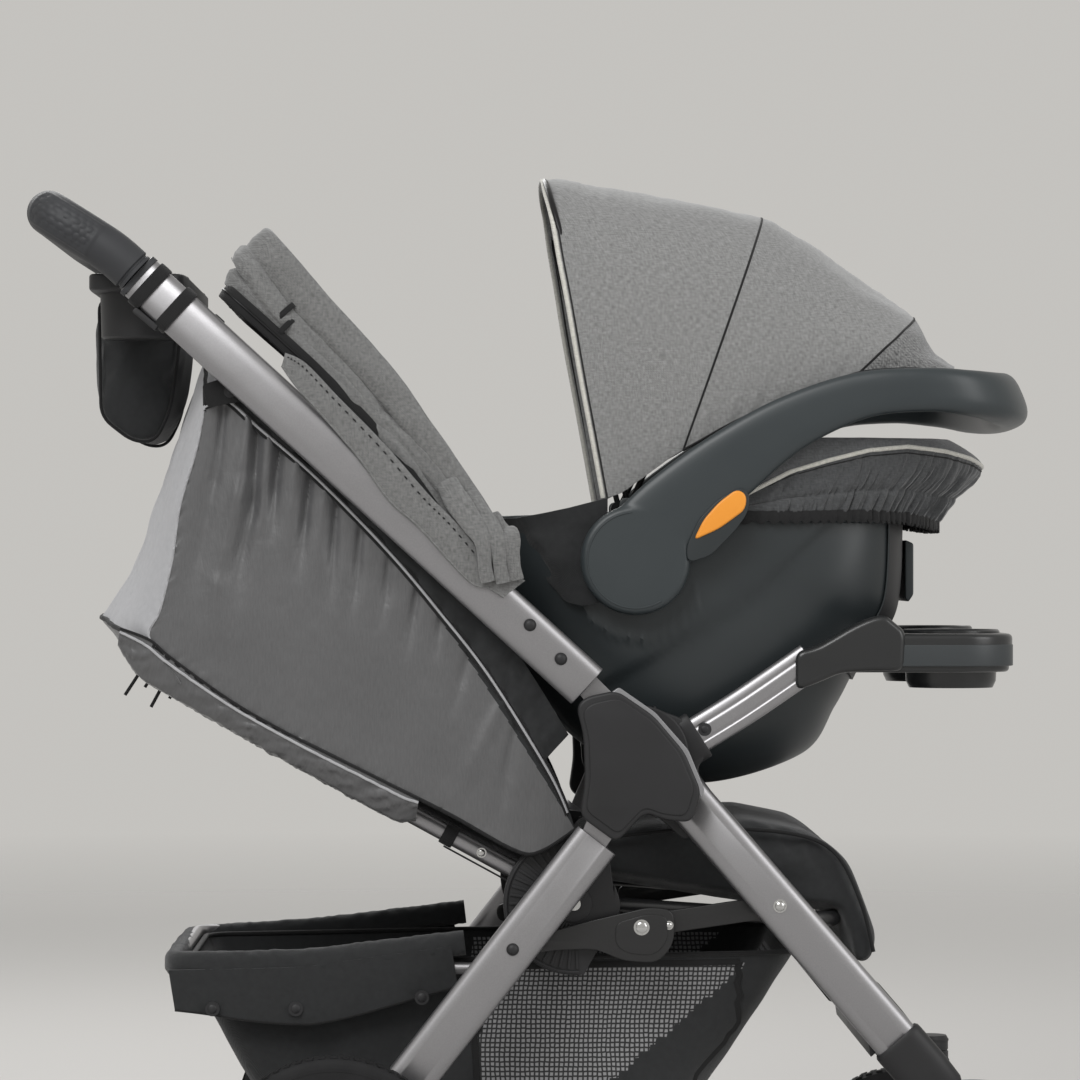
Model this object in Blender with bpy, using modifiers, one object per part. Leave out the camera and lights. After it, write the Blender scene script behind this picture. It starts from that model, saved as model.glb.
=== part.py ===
"""Travel system stroller with a docked infant carrier.

Metres, +Z up, +X to the front wheels, the right-hand side of the stroller at -Y.
In the side views (u, w) are metres forward of and above the fold hub's axis.
"""
import math

import bmesh
import bpy
from mathutils import Matrix, Vector

# Driving dimensions of the frame, measured from the fold hub's axis
HUB_X = 0.1004
HUB_Z = 0.5340
PLAY = 0.0003
TUBE_WIDE = 0.046
TUBE_THICK = 0.024
TUBE_Y = 0.264
LEG_Y = 0.238
TRAY_ARM_Y = 0.217
TRAY_ARM_THICK = 0.018
CUP_WELL = (0.3170, 0.0630)
HANDLE_TUBE_START = (-0.0520, 0.0672)
HANDLE_TUBE_END = (-0.4930, 0.4706)
GRIP_END = (-0.5810, 0.5330)
FRONT_LEG_START = (0.0420, -0.0380)
FRONT_LEG_END = (0.2860, -0.3200)
REAR_LEG_START = (-0.0425, -0.0830)
REAR_AXLE = (-0.2990, -0.4120)
CASTER_AXIS_U = 0.3295
CANOPY_PIVOT = (-0.1320, 0.1720)
RECLINE_PIVOT = (-0.0640, -0.1480)
RECLINE_DISC_R = 0.0700
LINK_REAR = (-0.1250, -0.1890)
LINK_KNEE = (0.0020, -0.1700)
LINK_FRONT = (0.1390, -0.1500)

# Wheels
REAR_WHEEL_R = 0.1220
REAR_WHEEL_Y = 0.2950
REAR_WHEEL_W = 0.0280
FRONT_WHEEL_R = 0.0880
FRONT_WHEEL_W = 0.0280
FRONT_AXLE = (0.2925, FRONT_WHEEL_R - HUB_Z)
AXLE_R = 0.0090

# Carrier
CARRIER_HUB = (-0.0030, 0.1910)
CARRIER_HUB_R = 0.0545
CARRIER_RIM_CENTRE = (0.0500, 0.2350)
CARRIER_HALF_WIDTH = 0.1950
CARRIER_HANDLE_Y = 0.2090
CARRIER_HANDLE_THICK = 0.0200
SUNSHADE_PIVOT = (-0.0080, 0.2450)
SUNSHADE_HALF_WIDTH = 0.1885

for old in list(bpy.data.objects):
    bpy.data.objects.remove(old, do_unlink=True)

parts = bpy.data.collections.new("travel_system_stroller")
cutters = bpy.data.collections.new("cutters")
bpy.context.scene.collection.children.link(parts)
bpy.context.scene.collection.children.link(cutters)


def place(u, w, y=0.0):
    """World point of a side-view point (u, w) at the lateral place y."""
    return Vector((HUB_X + u, y, HUB_Z + w))


def finish(name, red, green, blue, roughness, metallic=0.0):
    made = bpy.data.materials.new(name)
    made.use_nodes = True
    shader = made.node_tree.nodes["Principled BSDF"]
    shader.inputs["Base Color"].default_value = (red, green, blue, 1.0)
    shader.inputs["Roughness"].default_value = roughness
    shader.inputs["Metallic"].default_value = metallic
    return made


ALUMINIUM = finish("satin_aluminium", 0.36, 0.36, 0.37, 0.35, 0.9)
HUB_PLASTIC = finish("matte_black_nylon", 0.020, 0.020, 0.021, 0.55)
GRIP_RUBBER = finish("grip_rubber", 0.028, 0.029, 0.031, 0.6)
TRAY_PLASTIC = finish("tray_polypropylene", 0.024, 0.026, 0.027, 0.35)
STEEL = finish("black_steel", 0.015, 0.015, 0.016, 0.4, 0.6)
TYRE = finish("tyre_foam_rubber", 0.016, 0.016, 0.017, 0.8)
RIM = finish("rim_polypropylene", 0.05, 0.05, 0.052, 0.4)
SLATE = finish("slate_polypropylene", 0.033, 0.041, 0.044, 0.35)
SHELL = finish("charcoal_polypropylene", 0.018, 0.021, 0.023, 0.35)
ORANGE = finish("orange_acetal", 0.87, 0.31, 0.023, 0.4)
GREY_TWILL = finish("grey_twill", 0.25, 0.25, 0.25, 0.9)
GREY_SATIN = finish("grey_satin_weave", 0.11, 0.11, 0.108, 0.6)
PALE_WEAVE = finish("pale_grey_weave", 0.46, 0.46, 0.47, 0.8)
DARK_FABRIC = finish("charcoal_fabric", 0.02, 0.021, 0.022, 0.9)


def to_mesh(obj, name, material):
    """Freeze curves and modifiers as one welded mesh object in the parts collection."""
    bpy.context.view_layer.update()
    graph = bpy.context.evaluated_depsgraph_get()
    mesh = bpy.data.meshes.new_from_object(obj.evaluated_get(graph))
    mesh.transform(obj.matrix_world)
    bpy.data.objects.remove(obj, do_unlink=True)
    work = bmesh.new()
    work.from_mesh(mesh)
    bmesh.ops.remove_doubles(work, verts=work.verts, dist=0.00002)
    bmesh.ops.recalc_face_normals(work, faces=work.faces)
    work.to_mesh(mesh)
    work.free()
    mesh.name = name
    mesh.materials.clear()
    mesh.materials.append(material)
    made = bpy.data.objects.new(name, mesh)
    parts.objects.link(made)
    mesh.shade_smooth()
    mesh.set_sharp_from_angle(angle=math.radians(32))
    return made


def scratch_object(name, data):
    made = bpy.data.objects.new(name, data)
    cutters.objects.link(made)
    return made


def rounded(points, radius, steps=1):
    """Outline with each corner replaced by an arc-like fillet of the given radius."""
    out = []
    count = len(points)
    for index in range(count):
        before = Vector(points[index - 1])
        corner = Vector(points[index])
        after = Vector(points[(index + 1) % count])
        reach_in = min(radius, (before - corner).length * 0.45)
        reach_out = min(radius, (after - corner).length * 0.45)
        start = corner + (before - corner).normalized() * reach_in
        end = corner + (after - corner).normalized() * reach_out
        for step in range(steps + 1):
            t = step / steps
            point = start * (1 - t) ** 2 + corner * 2 * t * (1 - t) + end * t ** 2
            out.append((point.x, point.y))
    return out


def circle(centre, radius, count=16):
    turns = [2 * math.pi * index / count for index in range(count)]
    return [(centre[0] + radius * math.cos(a), centre[1] + radius * math.sin(a)) for a in turns]


def plate(name, outline, y_low, y_high, material, bevel=0.0, holes=()):
    """Flat side-view outline extruded from y_low to y_high, as a 2D curve with holes."""
    curve = bpy.data.curves.new(name, "CURVE")
    curve.dimensions = "2D"
    curve.fill_mode = "BOTH"
    curve.extrude = abs(y_high - y_low) / 2
    for loop in (outline, *holes):
        spline = curve.splines.new("POLY")
        spline.points.add(len(loop) - 1)
        for point, (u, w) in zip(spline.points, loop):
            point.co = (u, w, 0.0, 1.0)
        spline.use_cyclic_u = True
    obj = scratch_object(name, curve)
    obj.rotation_euler = (math.radians(90), 0, 0)
    obj.location = place(0, 0, (y_low + y_high) / 2)
    made = to_mesh(obj, name, material)
    if bevel:
        made = bevelled(made, bevel)
    return made


def bevelled(obj, width, segments=1, angle=40):
    soft = obj.modifiers.new("edge_radius", "BEVEL")
    soft.width = width
    soft.segments = segments
    soft.limit_method = "ANGLE"
    soft.angle_limit = math.radians(angle)
    return to_mesh(obj, obj.name, obj.data.materials[0])


def block(name, low, high, material, bevel=0.0):
    """Box between two world corners."""
    mesh = bpy.data.meshes.new(name)
    work = bmesh.new()
    bmesh.ops.create_cube(work, size=1.0)
    size = Vector(high) - Vector(low)
    bmesh.ops.scale(work, vec=size, verts=work.verts)
    bmesh.ops.translate(work, vec=(Vector(high) + Vector(low)) / 2, verts=work.verts)
    work.to_mesh(mesh)
    work.free()
    made = to_mesh(scratch_object(name, mesh), name, material)
    if bevel:
        made = bevelled(made, bevel)
    return made


def cylinder(name, start, end, radius, material, sides=12, far_radius=None):
    """Cylinder or cone between two world points."""
    axis = Vector(end) - Vector(start)
    mesh = bpy.data.meshes.new(name)
    work = bmesh.new()
    bmesh.ops.create_cone(
        work,
        cap_ends=True,
        segments=sides,
        radius1=radius,
        radius2=radius if far_radius is None else far_radius,
        depth=axis.length,
    )
    turn = axis.to_track_quat("Z", "Y").to_matrix().to_4x4()
    bmesh.ops.transform(work, matrix=turn, verts=work.verts)
    bmesh.ops.translate(work, vec=(Vector(start) + Vector(end)) / 2, verts=work.verts)
    work.to_mesh(mesh)
    work.free()
    return to_mesh(scratch_object(name, mesh), name, material)


def tube(name, points, radius, material, sides=2, y_squash=1.0):
    """Round tube along world points; y_squash flattens one that lies in a side plane."""
    curve = bpy.data.curves.new(name, "CURVE")
    curve.dimensions = "3D"
    curve.bevel_depth = radius
    curve.bevel_resolution = sides
    curve.use_fill_caps = True
    spline = curve.splines.new("POLY")
    spline.points.add(len(points) - 1)
    for point, where in zip(spline.points, points):
        point.co = (*where, 1.0)
    obj = scratch_object(name, curve)
    middle = points[0][1]
    made = to_mesh(obj, name, material)
    if y_squash != 1.0:
        for vertex in made.data.vertices:
            vertex.co.y = middle + (vertex.co.y - middle) * y_squash
    return made


def bent(points, radius, steps=3):
    """World path with round bends at its inner points."""
    out = [Vector(points[0])]
    for index in range(1, len(points) - 1):
        before = Vector(points[index - 1])
        corner = Vector(points[index])
        after = Vector(points[index + 1])
        reach = min(radius, (before - corner).length * 0.48, (after - corner).length * 0.48)
        start = corner + (before - corner).normalized() * reach
        end = corner + (after - corner).normalized() * reach
        for step in range(steps + 1):
            t = step / steps
            out.append(start * (1 - t) ** 2 + corner * 2 * t * (1 - t) + end * t ** 2)
    out.append(Vector(points[-1]))
    return out


def turned(name, profile, centre, material, steps=20):
    """Solid of revolution about the lateral axis through centre; profile is (radius, y)."""
    mesh = bpy.data.meshes.new(name)
    work = bmesh.new()
    ring = [work.verts.new((radius, 0.0, along)) for radius, along in profile]
    for index in range(len(ring) - 1):
        work.edges.new((ring[index], ring[index + 1]))
    if profile[0][0] > 0 and profile[-1][0] > 0:
        work.edges.new((ring[-1], ring[0]))
    work.to_mesh(mesh)
    work.free()
    obj = scratch_object(name, mesh)
    screw = obj.modifiers.new("turn", "SCREW")
    screw.steps = steps
    screw.render_steps = steps
    screw.use_merge_vertices = True
    screw.merge_threshold = 0.00005
    screw.use_smooth_shade = True
    obj.rotation_euler = (math.radians(90), 0, 0)
    obj.location = centre
    return to_mesh(obj, name, material)


def cut(obj, *tools):
    """Subtract tools from obj and drop them."""
    return combined(obj, "DIFFERENCE", tools)


def joined(obj, *others):
    """Union of obj with the others into one solid."""
    return combined(obj, "UNION", others)


def combined(obj, operation, tools):
    for tool in tools:
        parts.objects.unlink(tool)
        cutters.objects.link(tool)
        tool.hide_render = True
        tool.display_type = "WIRE"
        boolean = obj.modifiers.new(operation.lower(), "BOOLEAN")
        boolean.operation = operation
        boolean.solver = "EXACT"
        boolean.object = tool
    name = obj.name
    made = to_mesh(obj, name, obj.data.materials[0])
    made.name = name
    for tool in tools:
        bpy.data.objects.remove(tool, do_unlink=True)
    return made


def mirrored(obj, name):
    """The same piece on the left-hand side, as its own object."""
    mesh = obj.data.copy()
    for vertex in mesh.vertices:
        vertex.co.y = -vertex.co.y
    mesh.flip_normals()
    made = bpy.data.objects.new(name, mesh)
    parts.objects.link(made)
    return made


def pair(obj, stem):
    """Name a right-hand piece and make its left-hand twin."""
    obj.name = stem + "_right"
    return obj, mirrored(obj, stem + "_left")


def loft(name, rings, material, closed_ends=True):
    """Skin over rings of equal point count; the ends are capped for a solid."""
    mesh = bpy.data.meshes.new(name)
    work = bmesh.new()
    rows = [[work.verts.new(point) for point in ring] for ring in rings]
    count = len(rows[0])
    for row, following in zip(rows, rows[1:]):
        for index in range(count):
            after = (index + 1) % count
            work.faces.new((row[index], row[after], following[after], following[index]))
    if closed_ends:
        work.faces.new(rows[0])
        work.faces.new(rows[-1])
    work.to_mesh(mesh)
    work.free()
    return to_mesh(scratch_object(name, mesh), name, material)


def smooth_through(points, steps):
    """Catmull-Rom points through a short list of places."""
    places = [Vector(point) for point in points]
    out = []
    for index in range(len(places) - 1):
        p0 = places[max(index - 1, 0)]
        p1 = places[index]
        p2 = places[index + 1]
        p3 = places[min(index + 2, len(places) - 1)]
        for step in range(steps):
            t = step / steps
            out.append(
                0.5 * (2 * p1 + (p2 - p0) * t + (2 * p0 - 5 * p1 + 4 * p2 - p3) * t ** 2
                       + (3 * p1 - p0 - 3 * p2 + p3) * t ** 3)
            )
    out.append(places[-1])
    return out


def drum(name, centre, half_width, edge, material, wall, squareness=4.0, across=8):
    """Open drum-shaped wall: every edge point is joined to the centre line by a square-ish arch.

    edge holds side-view points; each becomes one arch from the right side, over, to the left.
    """
    mesh = bpy.data.meshes.new(name)
    work = bmesh.new()
    rows = []
    for point in edge:
        row = []
        for step in range(across + 1):
            a = math.pi * step / across
            lateral = -half_width * math.copysign(abs(math.cos(a)) ** (2 / squareness), math.cos(a))
            reach = abs(math.sin(a)) ** (2 / squareness)
            u = centre[0] + (point[0] - centre[0]) * reach
            w = centre[1] + (point[1] - centre[1]) * reach
            row.append(work.verts.new(place(u, w, lateral)))
        rows.append(row)
    for row, following in zip(rows, rows[1:]):
        for index in range(across):
            work.faces.new((row[index], row[index + 1], following[index + 1], following[index]))
    bmesh.ops.remove_doubles(work, verts=work.verts, dist=0.0004)
    bmesh.ops.recalc_face_normals(work, faces=work.faces)
    middle = place(*centre)
    work.faces.ensure_lookup_table()
    probe = max(work.faces, key=lambda face: (face.calc_center_median() - middle).length)
    if probe.normal.dot(probe.calc_center_median() - middle) < 0:
        bmesh.ops.reverse_faces(work, faces=work.faces)
    work.to_mesh(mesh)
    work.free()
    obj = scratch_object(name, mesh)
    solid = obj.modifiers.new("wall", "SOLIDIFY")
    solid.thickness = wall
    solid.offset = -1.0
    solid.use_even_offset = True
    return to_mesh(obj, name, material)


def straight_tube(name, start, end, y, material):
    """Flat-oval frame tube in a side plane."""
    points = [place(*start, y), place(*end, y)]
    return tube(name, points, TUBE_WIDE / 2, material, 4, TUBE_THICK / TUBE_WIDE)


def along(start, end, distance, aside=0.0):
    """Side-view point at a distance from start towards end, shifted to the left of that way."""
    way = Vector((end[0] - start[0], end[1] - start[1])).normalized()
    return (start[0] + way.x * distance - way.y * aside, start[1] + way.y * distance + way.x * aside)


def hubs():
    cover_corners = [
        (-0.0535, 0.0575), (-0.0630, 0.0480), (-0.0560, 0.0200), (-0.0545, -0.0235),
        (-0.0595, -0.0585), (-0.0240, -0.0845), (0.0039, -0.0547), (0.0245, -0.0627),
        (0.0495, -0.0647), (0.0588, -0.0348), (0.0426, 0.0039), (0.0123, 0.0395),
        (-0.0236, 0.0640),
    ]
    cover = plate("hub_cover", rounded(cover_corners, 0.006), -0.287, -0.270, HUB_PLASTIC)
    hollow = [(u * 0.86 - 0.001, w * 0.86) for u, w in cover_corners]
    cover = cut(cover, plate("cover_hollow", hollow, -0.2835, -0.268, HUB_PLASTIC))
    cover = bevelled(cover, 0.0025)
    boss = cylinder("cover_boss", place(0, 0, -0.285), place(0, 0, -0.2515), 0.009, HUB_PLASTIC, 12)
    cover = joined(cover, boss)
    pair(cover, "hub_cover")

    stub_start = (0.030, 0.000)
    stub_end = (0.056, 0.0165)
    side = TUBE_WIDE / 2 - 0.0020
    housing_outline = rounded(
        [(-0.050, 0.040), (-0.046, -0.030), (-0.020, -0.052), (0.012, -0.056),
         (0.046, -0.087), (0.082, -0.051), (0.056, -0.016),
         along(stub_end, stub_start, 0.0, side), along(stub_end, stub_start, 0.0, -side),
         (0.020, 0.043), (-0.020, 0.056)],
        0.008,
    )
    housing = plate("hub_housing", housing_outline, -0.2255, -0.214, HUB_PLASTIC)
    body = plate("housing_body", circle((0, 0), 0.0480, 20), -0.2512, -0.220, HUB_PLASTIC)
    housing = joined(housing, body)
    bore = cylinder("housing_bore", place(0, 0, -0.260), place(0, 0, -0.240), 0.0093, HUB_PLASTIC)
    pair(cut(housing, bore), "hub_housing")


def front_frame():
    leg = straight_tube("front_leg", FRONT_LEG_START, FRONT_LEG_END, -LEG_Y, ALUMINIUM)
    pair(leg, "front_leg")

    top = place(CASTER_AXIS_U, -0.2950, -LEG_Y)
    foot = place(CASTER_AXIS_U, -0.3380, -LEG_Y)
    socket = cylinder("caster_socket", foot, top, 0.0210, HUB_PLASTIC)
    way_start = along(FRONT_LEG_START, FRONT_LEG_END, 0.322)
    way_end = along(FRONT_LEG_START, FRONT_LEG_END, 0.400)
    sleeve = tube(
        "socket_sleeve", [place(*way_start, -LEG_Y), place(*way_end, -LEG_Y)],
        TUBE_WIDE / 2 + 0.004, HUB_PLASTIC, 4, (TUBE_THICK + 0.008) / (TUBE_WIDE + 0.008),
    )
    slot = tube(
        "socket_slot",
        [place(*along(FRONT_LEG_START, FRONT_LEG_END, 0.300), -LEG_Y),
         place(*along(FRONT_LEG_START, FRONT_LEG_END, 0.3735), -LEG_Y)],
        TUBE_WIDE / 2 + 0.0005, HUB_PLASTIC, 4, (TUBE_THICK + 0.001) / (TUBE_WIDE + 0.001),
    )
    floor_cut = block(
        "socket_floor", place(0.22, -0.42, -0.30), place(0.42, -0.338, -0.18), HUB_PLASTIC
    )
    stem_bore = cylinder(
        "stem_bore", place(CASTER_AXIS_U, -0.360, -LEG_Y), place(CASTER_AXIS_U, -0.302, -LEG_Y),
        0.0085, HUB_PLASTIC,
    )
    socket = joined(socket, sleeve)
    socket = cut(socket, slot)
    socket = cut(socket, floor_cut)
    socket = cut(socket, stem_bore)
    pair(socket, "caster_socket")

    inner = LEG_Y - TUBE_THICK / 2 - PLAY
    rest_profile = smooth_through([(0.196, -0.236), (0.214, -0.244), (0.232, -0.266), (0.238, -0.292)], 3)
    thick = 0.012
    outline = [(p.x, p.y) for p in rest_profile]
    outline += [(p.x - thick * 0.75, p.y - thick * 0.65) for p in reversed(rest_profile)]
    plate("footrest", outline, -inner, inner, HUB_PLASTIC, 0.002)

    pair(tray_arm("tray_arm", -TRAY_ARM_Y, 0.0), "tray_arm")


def tray_arm(name, y, play):
    """Oval tube from the hub housing to the tray; play grows it into the tray's socket."""
    path = smooth_through([(0.0575, 0.0175), (0.1050, 0.0470), (0.1700 + play, 0.0915 + play)], 2)
    wide = TUBE_WIDE + 2 * play
    thick = TRAY_ARM_THICK + 2 * play
    return tube(name, [place(p.x, p.y, y) for p in path], wide / 2, ALUMINIUM, 4, thick / wide)


def cup_tray():
    """Tray across the front of the carrier, with an arm along each side and two cup wells."""
    low = 0.0800
    high = 0.1170
    plan = rounded(
        [(0.196, -0.2270), (0.340, -0.2270), (0.374, -0.2000), (0.374, 0.2000), (0.340, 0.2270),
         (0.196, 0.2270), (0.196, 0.2040), (0.236, 0.2040), (0.2600, 0.1700), (0.2600, -0.1700),
         (0.236, -0.2040), (0.196, -0.2040)],
        0.022,
    )
    curve = bpy.data.curves.new("cup_tray", "CURVE")
    curve.dimensions = "2D"
    curve.fill_mode = "BOTH"
    curve.extrude = (high - low) / 2
    spline = curve.splines.new("POLY")
    spline.points.add(len(plan) - 1)
    for point, (u, y) in zip(spline.points, plan):
        point.co = (HUB_X + u, y, 0.0, 1.0)
    spline.use_cyclic_u = True
    obj = scratch_object("cup_tray", curve)
    obj.location = (0, 0, HUB_Z + (low + high) / 2)
    tray = to_mesh(obj, "cup_tray", TRAY_PLASTIC)
    arm_outline = rounded(
        [(0.1545, 0.0500), (0.1750, 0.0620), (0.2000, 0.0790), (0.2300, 0.0828), (0.2500, 0.1000),
         (0.2500, 0.1280), (0.2260, 0.1330), (0.1950, 0.1270), (0.1545, 0.1150)],
        0.006,
    )
    arms = []
    for side in (-1, 1):
        low_y = min(side * 0.2040, side * 0.2300)
        arms.append(plate("tray_side", arm_outline, low_y, low_y + 0.0260, TRAY_PLASTIC))
        cup = place(*CUP_WELL, side * 0.1350)
        brim = place(CUP_WELL[0], high - 0.0040, side * 0.1350)
        arms.append(cylinder("cup_well", cup, brim, 0.0420, TRAY_PLASTIC, 16, 0.0475))
        rim_low = place(CUP_WELL[0], 0.1000, side * 0.1350)
        rim = place(CUP_WELL[0], 0.1210, side * 0.1350)
        arms.append(cylinder("cup_rim", rim_low, rim, 0.0485, TRAY_PLASTIC, 16))
    tray = joined(tray, *arms)
    hollows = []
    for side in (-1, 1):
        cup = place(CUP_WELL[0], CUP_WELL[1] + 0.0030, side * 0.1350)
        rim = place(CUP_WELL[0], 0.1250, side * 0.1350)
        hollows.append(cylinder("cup_hollow", cup, rim, 0.0390, TRAY_PLASTIC, 16, 0.0440))
        hollows.append(tray_arm("arm_socket", side * TRAY_ARM_Y, PLAY))
    cut(tray, *hollows).name = "cup_tray"


def seat_base():
    rail_y = 0.206
    rear_end = (-0.030, -0.150)
    front_end = (0.196, -0.166)
    path = bent(
        [place(*rear_end, -rail_y), place(*front_end, -rail_y), place(*front_end, rail_y),
         place(*rear_end, rail_y)],
        0.045,
        2,
    )
    frame = tube("seat_frame", path, 0.0080, STEEL, 1)
    lugs = []
    for side in (-1, 1):
        inner = side * 0.2000
        outer = side * (LEG_Y - TUBE_THICK / 2 - PLAY)
        spot = (0.1600, -0.1634)
        lugs.append(cylinder("seat_lug", place(*spot, inner), place(*spot, outer), 0.0075, STEEL, 10))
    joined(frame, *lugs).name = "seat_frame"

    arc = []
    for step in range(13):
        a = math.radians(62 + step * 18)
        arc.append((RECLINE_PIVOT[0] + RECLINE_DISC_R * math.cos(a),
                    RECLINE_PIVOT[1] + RECLINE_DISC_R * math.sin(a)))
    lobe = rounded([(-0.0250, -0.1750), (-0.0170, -0.1500), (-0.0250, -0.1250)], 0.010)
    disc = plate("recline_disc", arc + lobe, -0.2320, -0.2170, HUB_PLASTIC)
    hold_outer = place(-0.0290, -0.1500, -0.2185)
    hold_inner = place(-0.0290, -0.1500, -0.2143)
    hold = cylinder("disc_hold", hold_outer, hold_inner, 0.006, HUB_PLASTIC)
    teeth = []
    for step in range(5):
        a = math.radians(107 + step * 30)
        reach = RECLINE_DISC_R * 0.78
        spot = (RECLINE_PIVOT[0] + reach * math.cos(a), RECLINE_PIVOT[1] + reach * math.sin(a))
        teeth.append(cylinder("tooth_gap", place(*spot, -0.240), place(*spot, -0.2290), 0.0060,
                              HUB_PLASTIC, 6))
    disc = cut(joined(disc, hold), *teeth)
    bore = cylinder("disc_bore", place(*RECLINE_PIVOT, -0.240), place(*RECLINE_PIVOT, -0.200), 0.0070,
                    HUB_PLASTIC)
    pair(cut(disc, bore), "recline_disc")

    cushion = rounded(
        [(-0.060, -0.090), (0.020, -0.078), (0.110, -0.072), (0.180, -0.086), (0.208, -0.112),
         (0.236, -0.190), (0.228, -0.214), (0.212, -0.214), (0.2070, -0.1585), (0.100, -0.1440),
         (-0.060, -0.118)],
        0.008,
    )
    plate("seat_cushion", cushion, -0.1970, 0.1970, DARK_FABRIC)


def basket():
    """Fabric tub: sloped rear and front walls, open at the top."""
    outer = [(-0.450, -0.212), (0.156, -0.200), (0.126, -0.270), (0.050, -0.372), (-0.360, -0.384),
             (-0.395, -0.300)]
    shell = plate("basket", rounded(outer, 0.02), -0.200, 0.200, DARK_FABRIC)
    inner = [(-0.446, -0.190), (0.150, -0.180), (0.120, -0.268), (0.046, -0.367), (-0.356, -0.379),
             (-0.390, -0.300)]
    hollow = plate("basket_hollow", rounded(inner, 0.02), -0.195, 0.195, DARK_FABRIC)
    cut(shell, hollow).name = "basket"


def handle_frame():
    tube_right = straight_tube("handle_tube", HANDLE_TUBE_START, HANDLE_TUBE_END, -TUBE_Y, ALUMINIUM)
    lug_outline = [along((0, 0), HANDLE_TUBE_END, 0.100, aside) for aside in (-0.004, -0.026)]
    lug_outline += [(0.024 * math.cos(a), 0.024 * math.sin(a))
                    for a in [math.radians(52 - 25.5 * k) for k in range(11)]]
    lug = plate("handle_lug", lug_outline, -0.2602, -0.2525, ALUMINIUM)
    bore = cylinder("lug_bore", place(0, 0, -0.280), place(0, 0, -0.240), 0.0094, ALUMINIUM)
    tube_right = joined(tube_right, cut(lug, bore))
    pin = cylinder(
        "canopy_pin", place(*CANOPY_PIVOT, -0.258), place(*CANOPY_PIVOT, -0.2310), 0.0040, ALUMINIUM, 12
    )
    pair(joined(tube_right, pin), "handle_tube")

    start = along(HANDLE_TUBE_END, HANDLE_TUBE_START, -PLAY)
    middle = along(HANDLE_TUBE_END, HANDLE_TUBE_START, -0.032)
    path = bent(
        [place(*start, -TUBE_Y), place(*middle, -TUBE_Y), place(*GRIP_END, -TUBE_Y + 0.006),
         place(*GRIP_END, TUBE_Y - 0.006), place(*middle, TUBE_Y), place(*start, TUBE_Y)],
        0.050,
    )
    tube("handle_grip", path, 0.0225, GRIP_RUBBER, 3)


def organizer():
    """Moulded bridge between the handle tubes with two cup wells, and a zip pouch under it."""
    tray = block("organizer", place(-0.5430, 0.4560, -0.236), place(-0.4500, 0.4740, 0.236), HUB_PLASTIC)
    adds = []
    for side in (-1, 1):
        foot = place(-0.4930, 0.4120, side * 0.150)
        mouth = place(-0.4930, 0.4700, side * 0.150)
        adds.append(cylinder("well", foot, mouth, 0.0440, HUB_PLASTIC, 16))
        low_y = min(side * 0.230, side * 0.2515)
        adds.append(block("tab", place(-0.4860, 0.4400, low_y), place(-0.4560, 0.4680, low_y + 0.0215),
                          HUB_PLASTIC))
    tray = joined(tray, *adds)
    holes = []
    for side in (-1, 1):
        floor = place(-0.4930, 0.4150, side * 0.150)
        above = place(-0.4930, 0.4900, side * 0.150)
        holes.append(cylinder("well_hole", floor, above, 0.0405, HUB_PLASTIC, 16))
    tray = cut(tray, *holes)
    tray.name = "organizer"
    pouch = rounded([(-0.5430, 0.4555), (-0.4590, 0.4555), (-0.4640, 0.3800), (-0.4800, 0.3200),
                     (-0.4950, 0.3070), (-0.5420, 0.3400)], 0.014)
    plate("organizer_pouch", pouch, -0.100, 0.100, DARK_FABRIC)


def canopy():
    """Three bows that turn on a pin at each handle tube, and the folded fabric over them."""
    bows = (
        ("canopy_rear_bow", (-0.3985, 0.4650), 0.2475),
        ("canopy_mid_bow", (-0.3900, 0.4900), 0.2418),
        ("canopy_front_bow", (-0.3775, 0.5099), 0.2360),
    )
    for name, tip, lateral in bows:
        path = bent(
            [place(*CANOPY_PIVOT, -lateral), place(*tip, -lateral), place(*tip, lateral),
             place(*CANOPY_PIVOT, lateral)],
            0.045,
        )
        bow = tube(name, path, 0.0026, STEEL, 1)
        eyes = []
        for side in (-1, 1):
            middle = side * lateral
            eyes.append(cylinder("eye", place(*CANOPY_PIVOT, middle - 0.0026),
                                 place(*CANOPY_PIVOT, middle + 0.0026), 0.0105, STEEL, 10))
        bow = joined(bow, *eyes)
        bore = cylinder("eye_bore", place(*CANOPY_PIVOT, -0.30), place(*CANOPY_PIVOT, 0.30), 0.0044,
                        STEEL, 8)
        cut(bow, bore).name = name

    side_outline = rounded(
        [(-0.1280, 0.1960), (-0.1480, 0.1950), (-0.2480, 0.2880), (-0.3640, 0.3980), (-0.4140, 0.4560),
         (-0.4020, 0.5080), (-0.3700, 0.5200), (-0.3230, 0.4840), (-0.2220, 0.3280), (-0.1350, 0.1970)],
        0.010,
    )
    fabric = plate("canopy_fabric", side_outline, -0.2620, -0.2515, GREY_TWILL)
    far_side = plate("fabric_left", side_outline, 0.2515, 0.2620, GREY_TWILL)
    cap_outline = rounded(
        [(-0.4080, 0.4640), (-0.3980, 0.5240), (-0.3640, 0.5280), (-0.3680, 0.5190), (-0.3910, 0.5170),
         (-0.4020, 0.4900), (-0.4045, 0.4600)],
        0.003,
    )
    cap = plate("fabric_cap", cap_outline, -0.2580, 0.2580, GREY_TWILL)
    joined(fabric, far_side, cap).name = "canopy_fabric"


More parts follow.
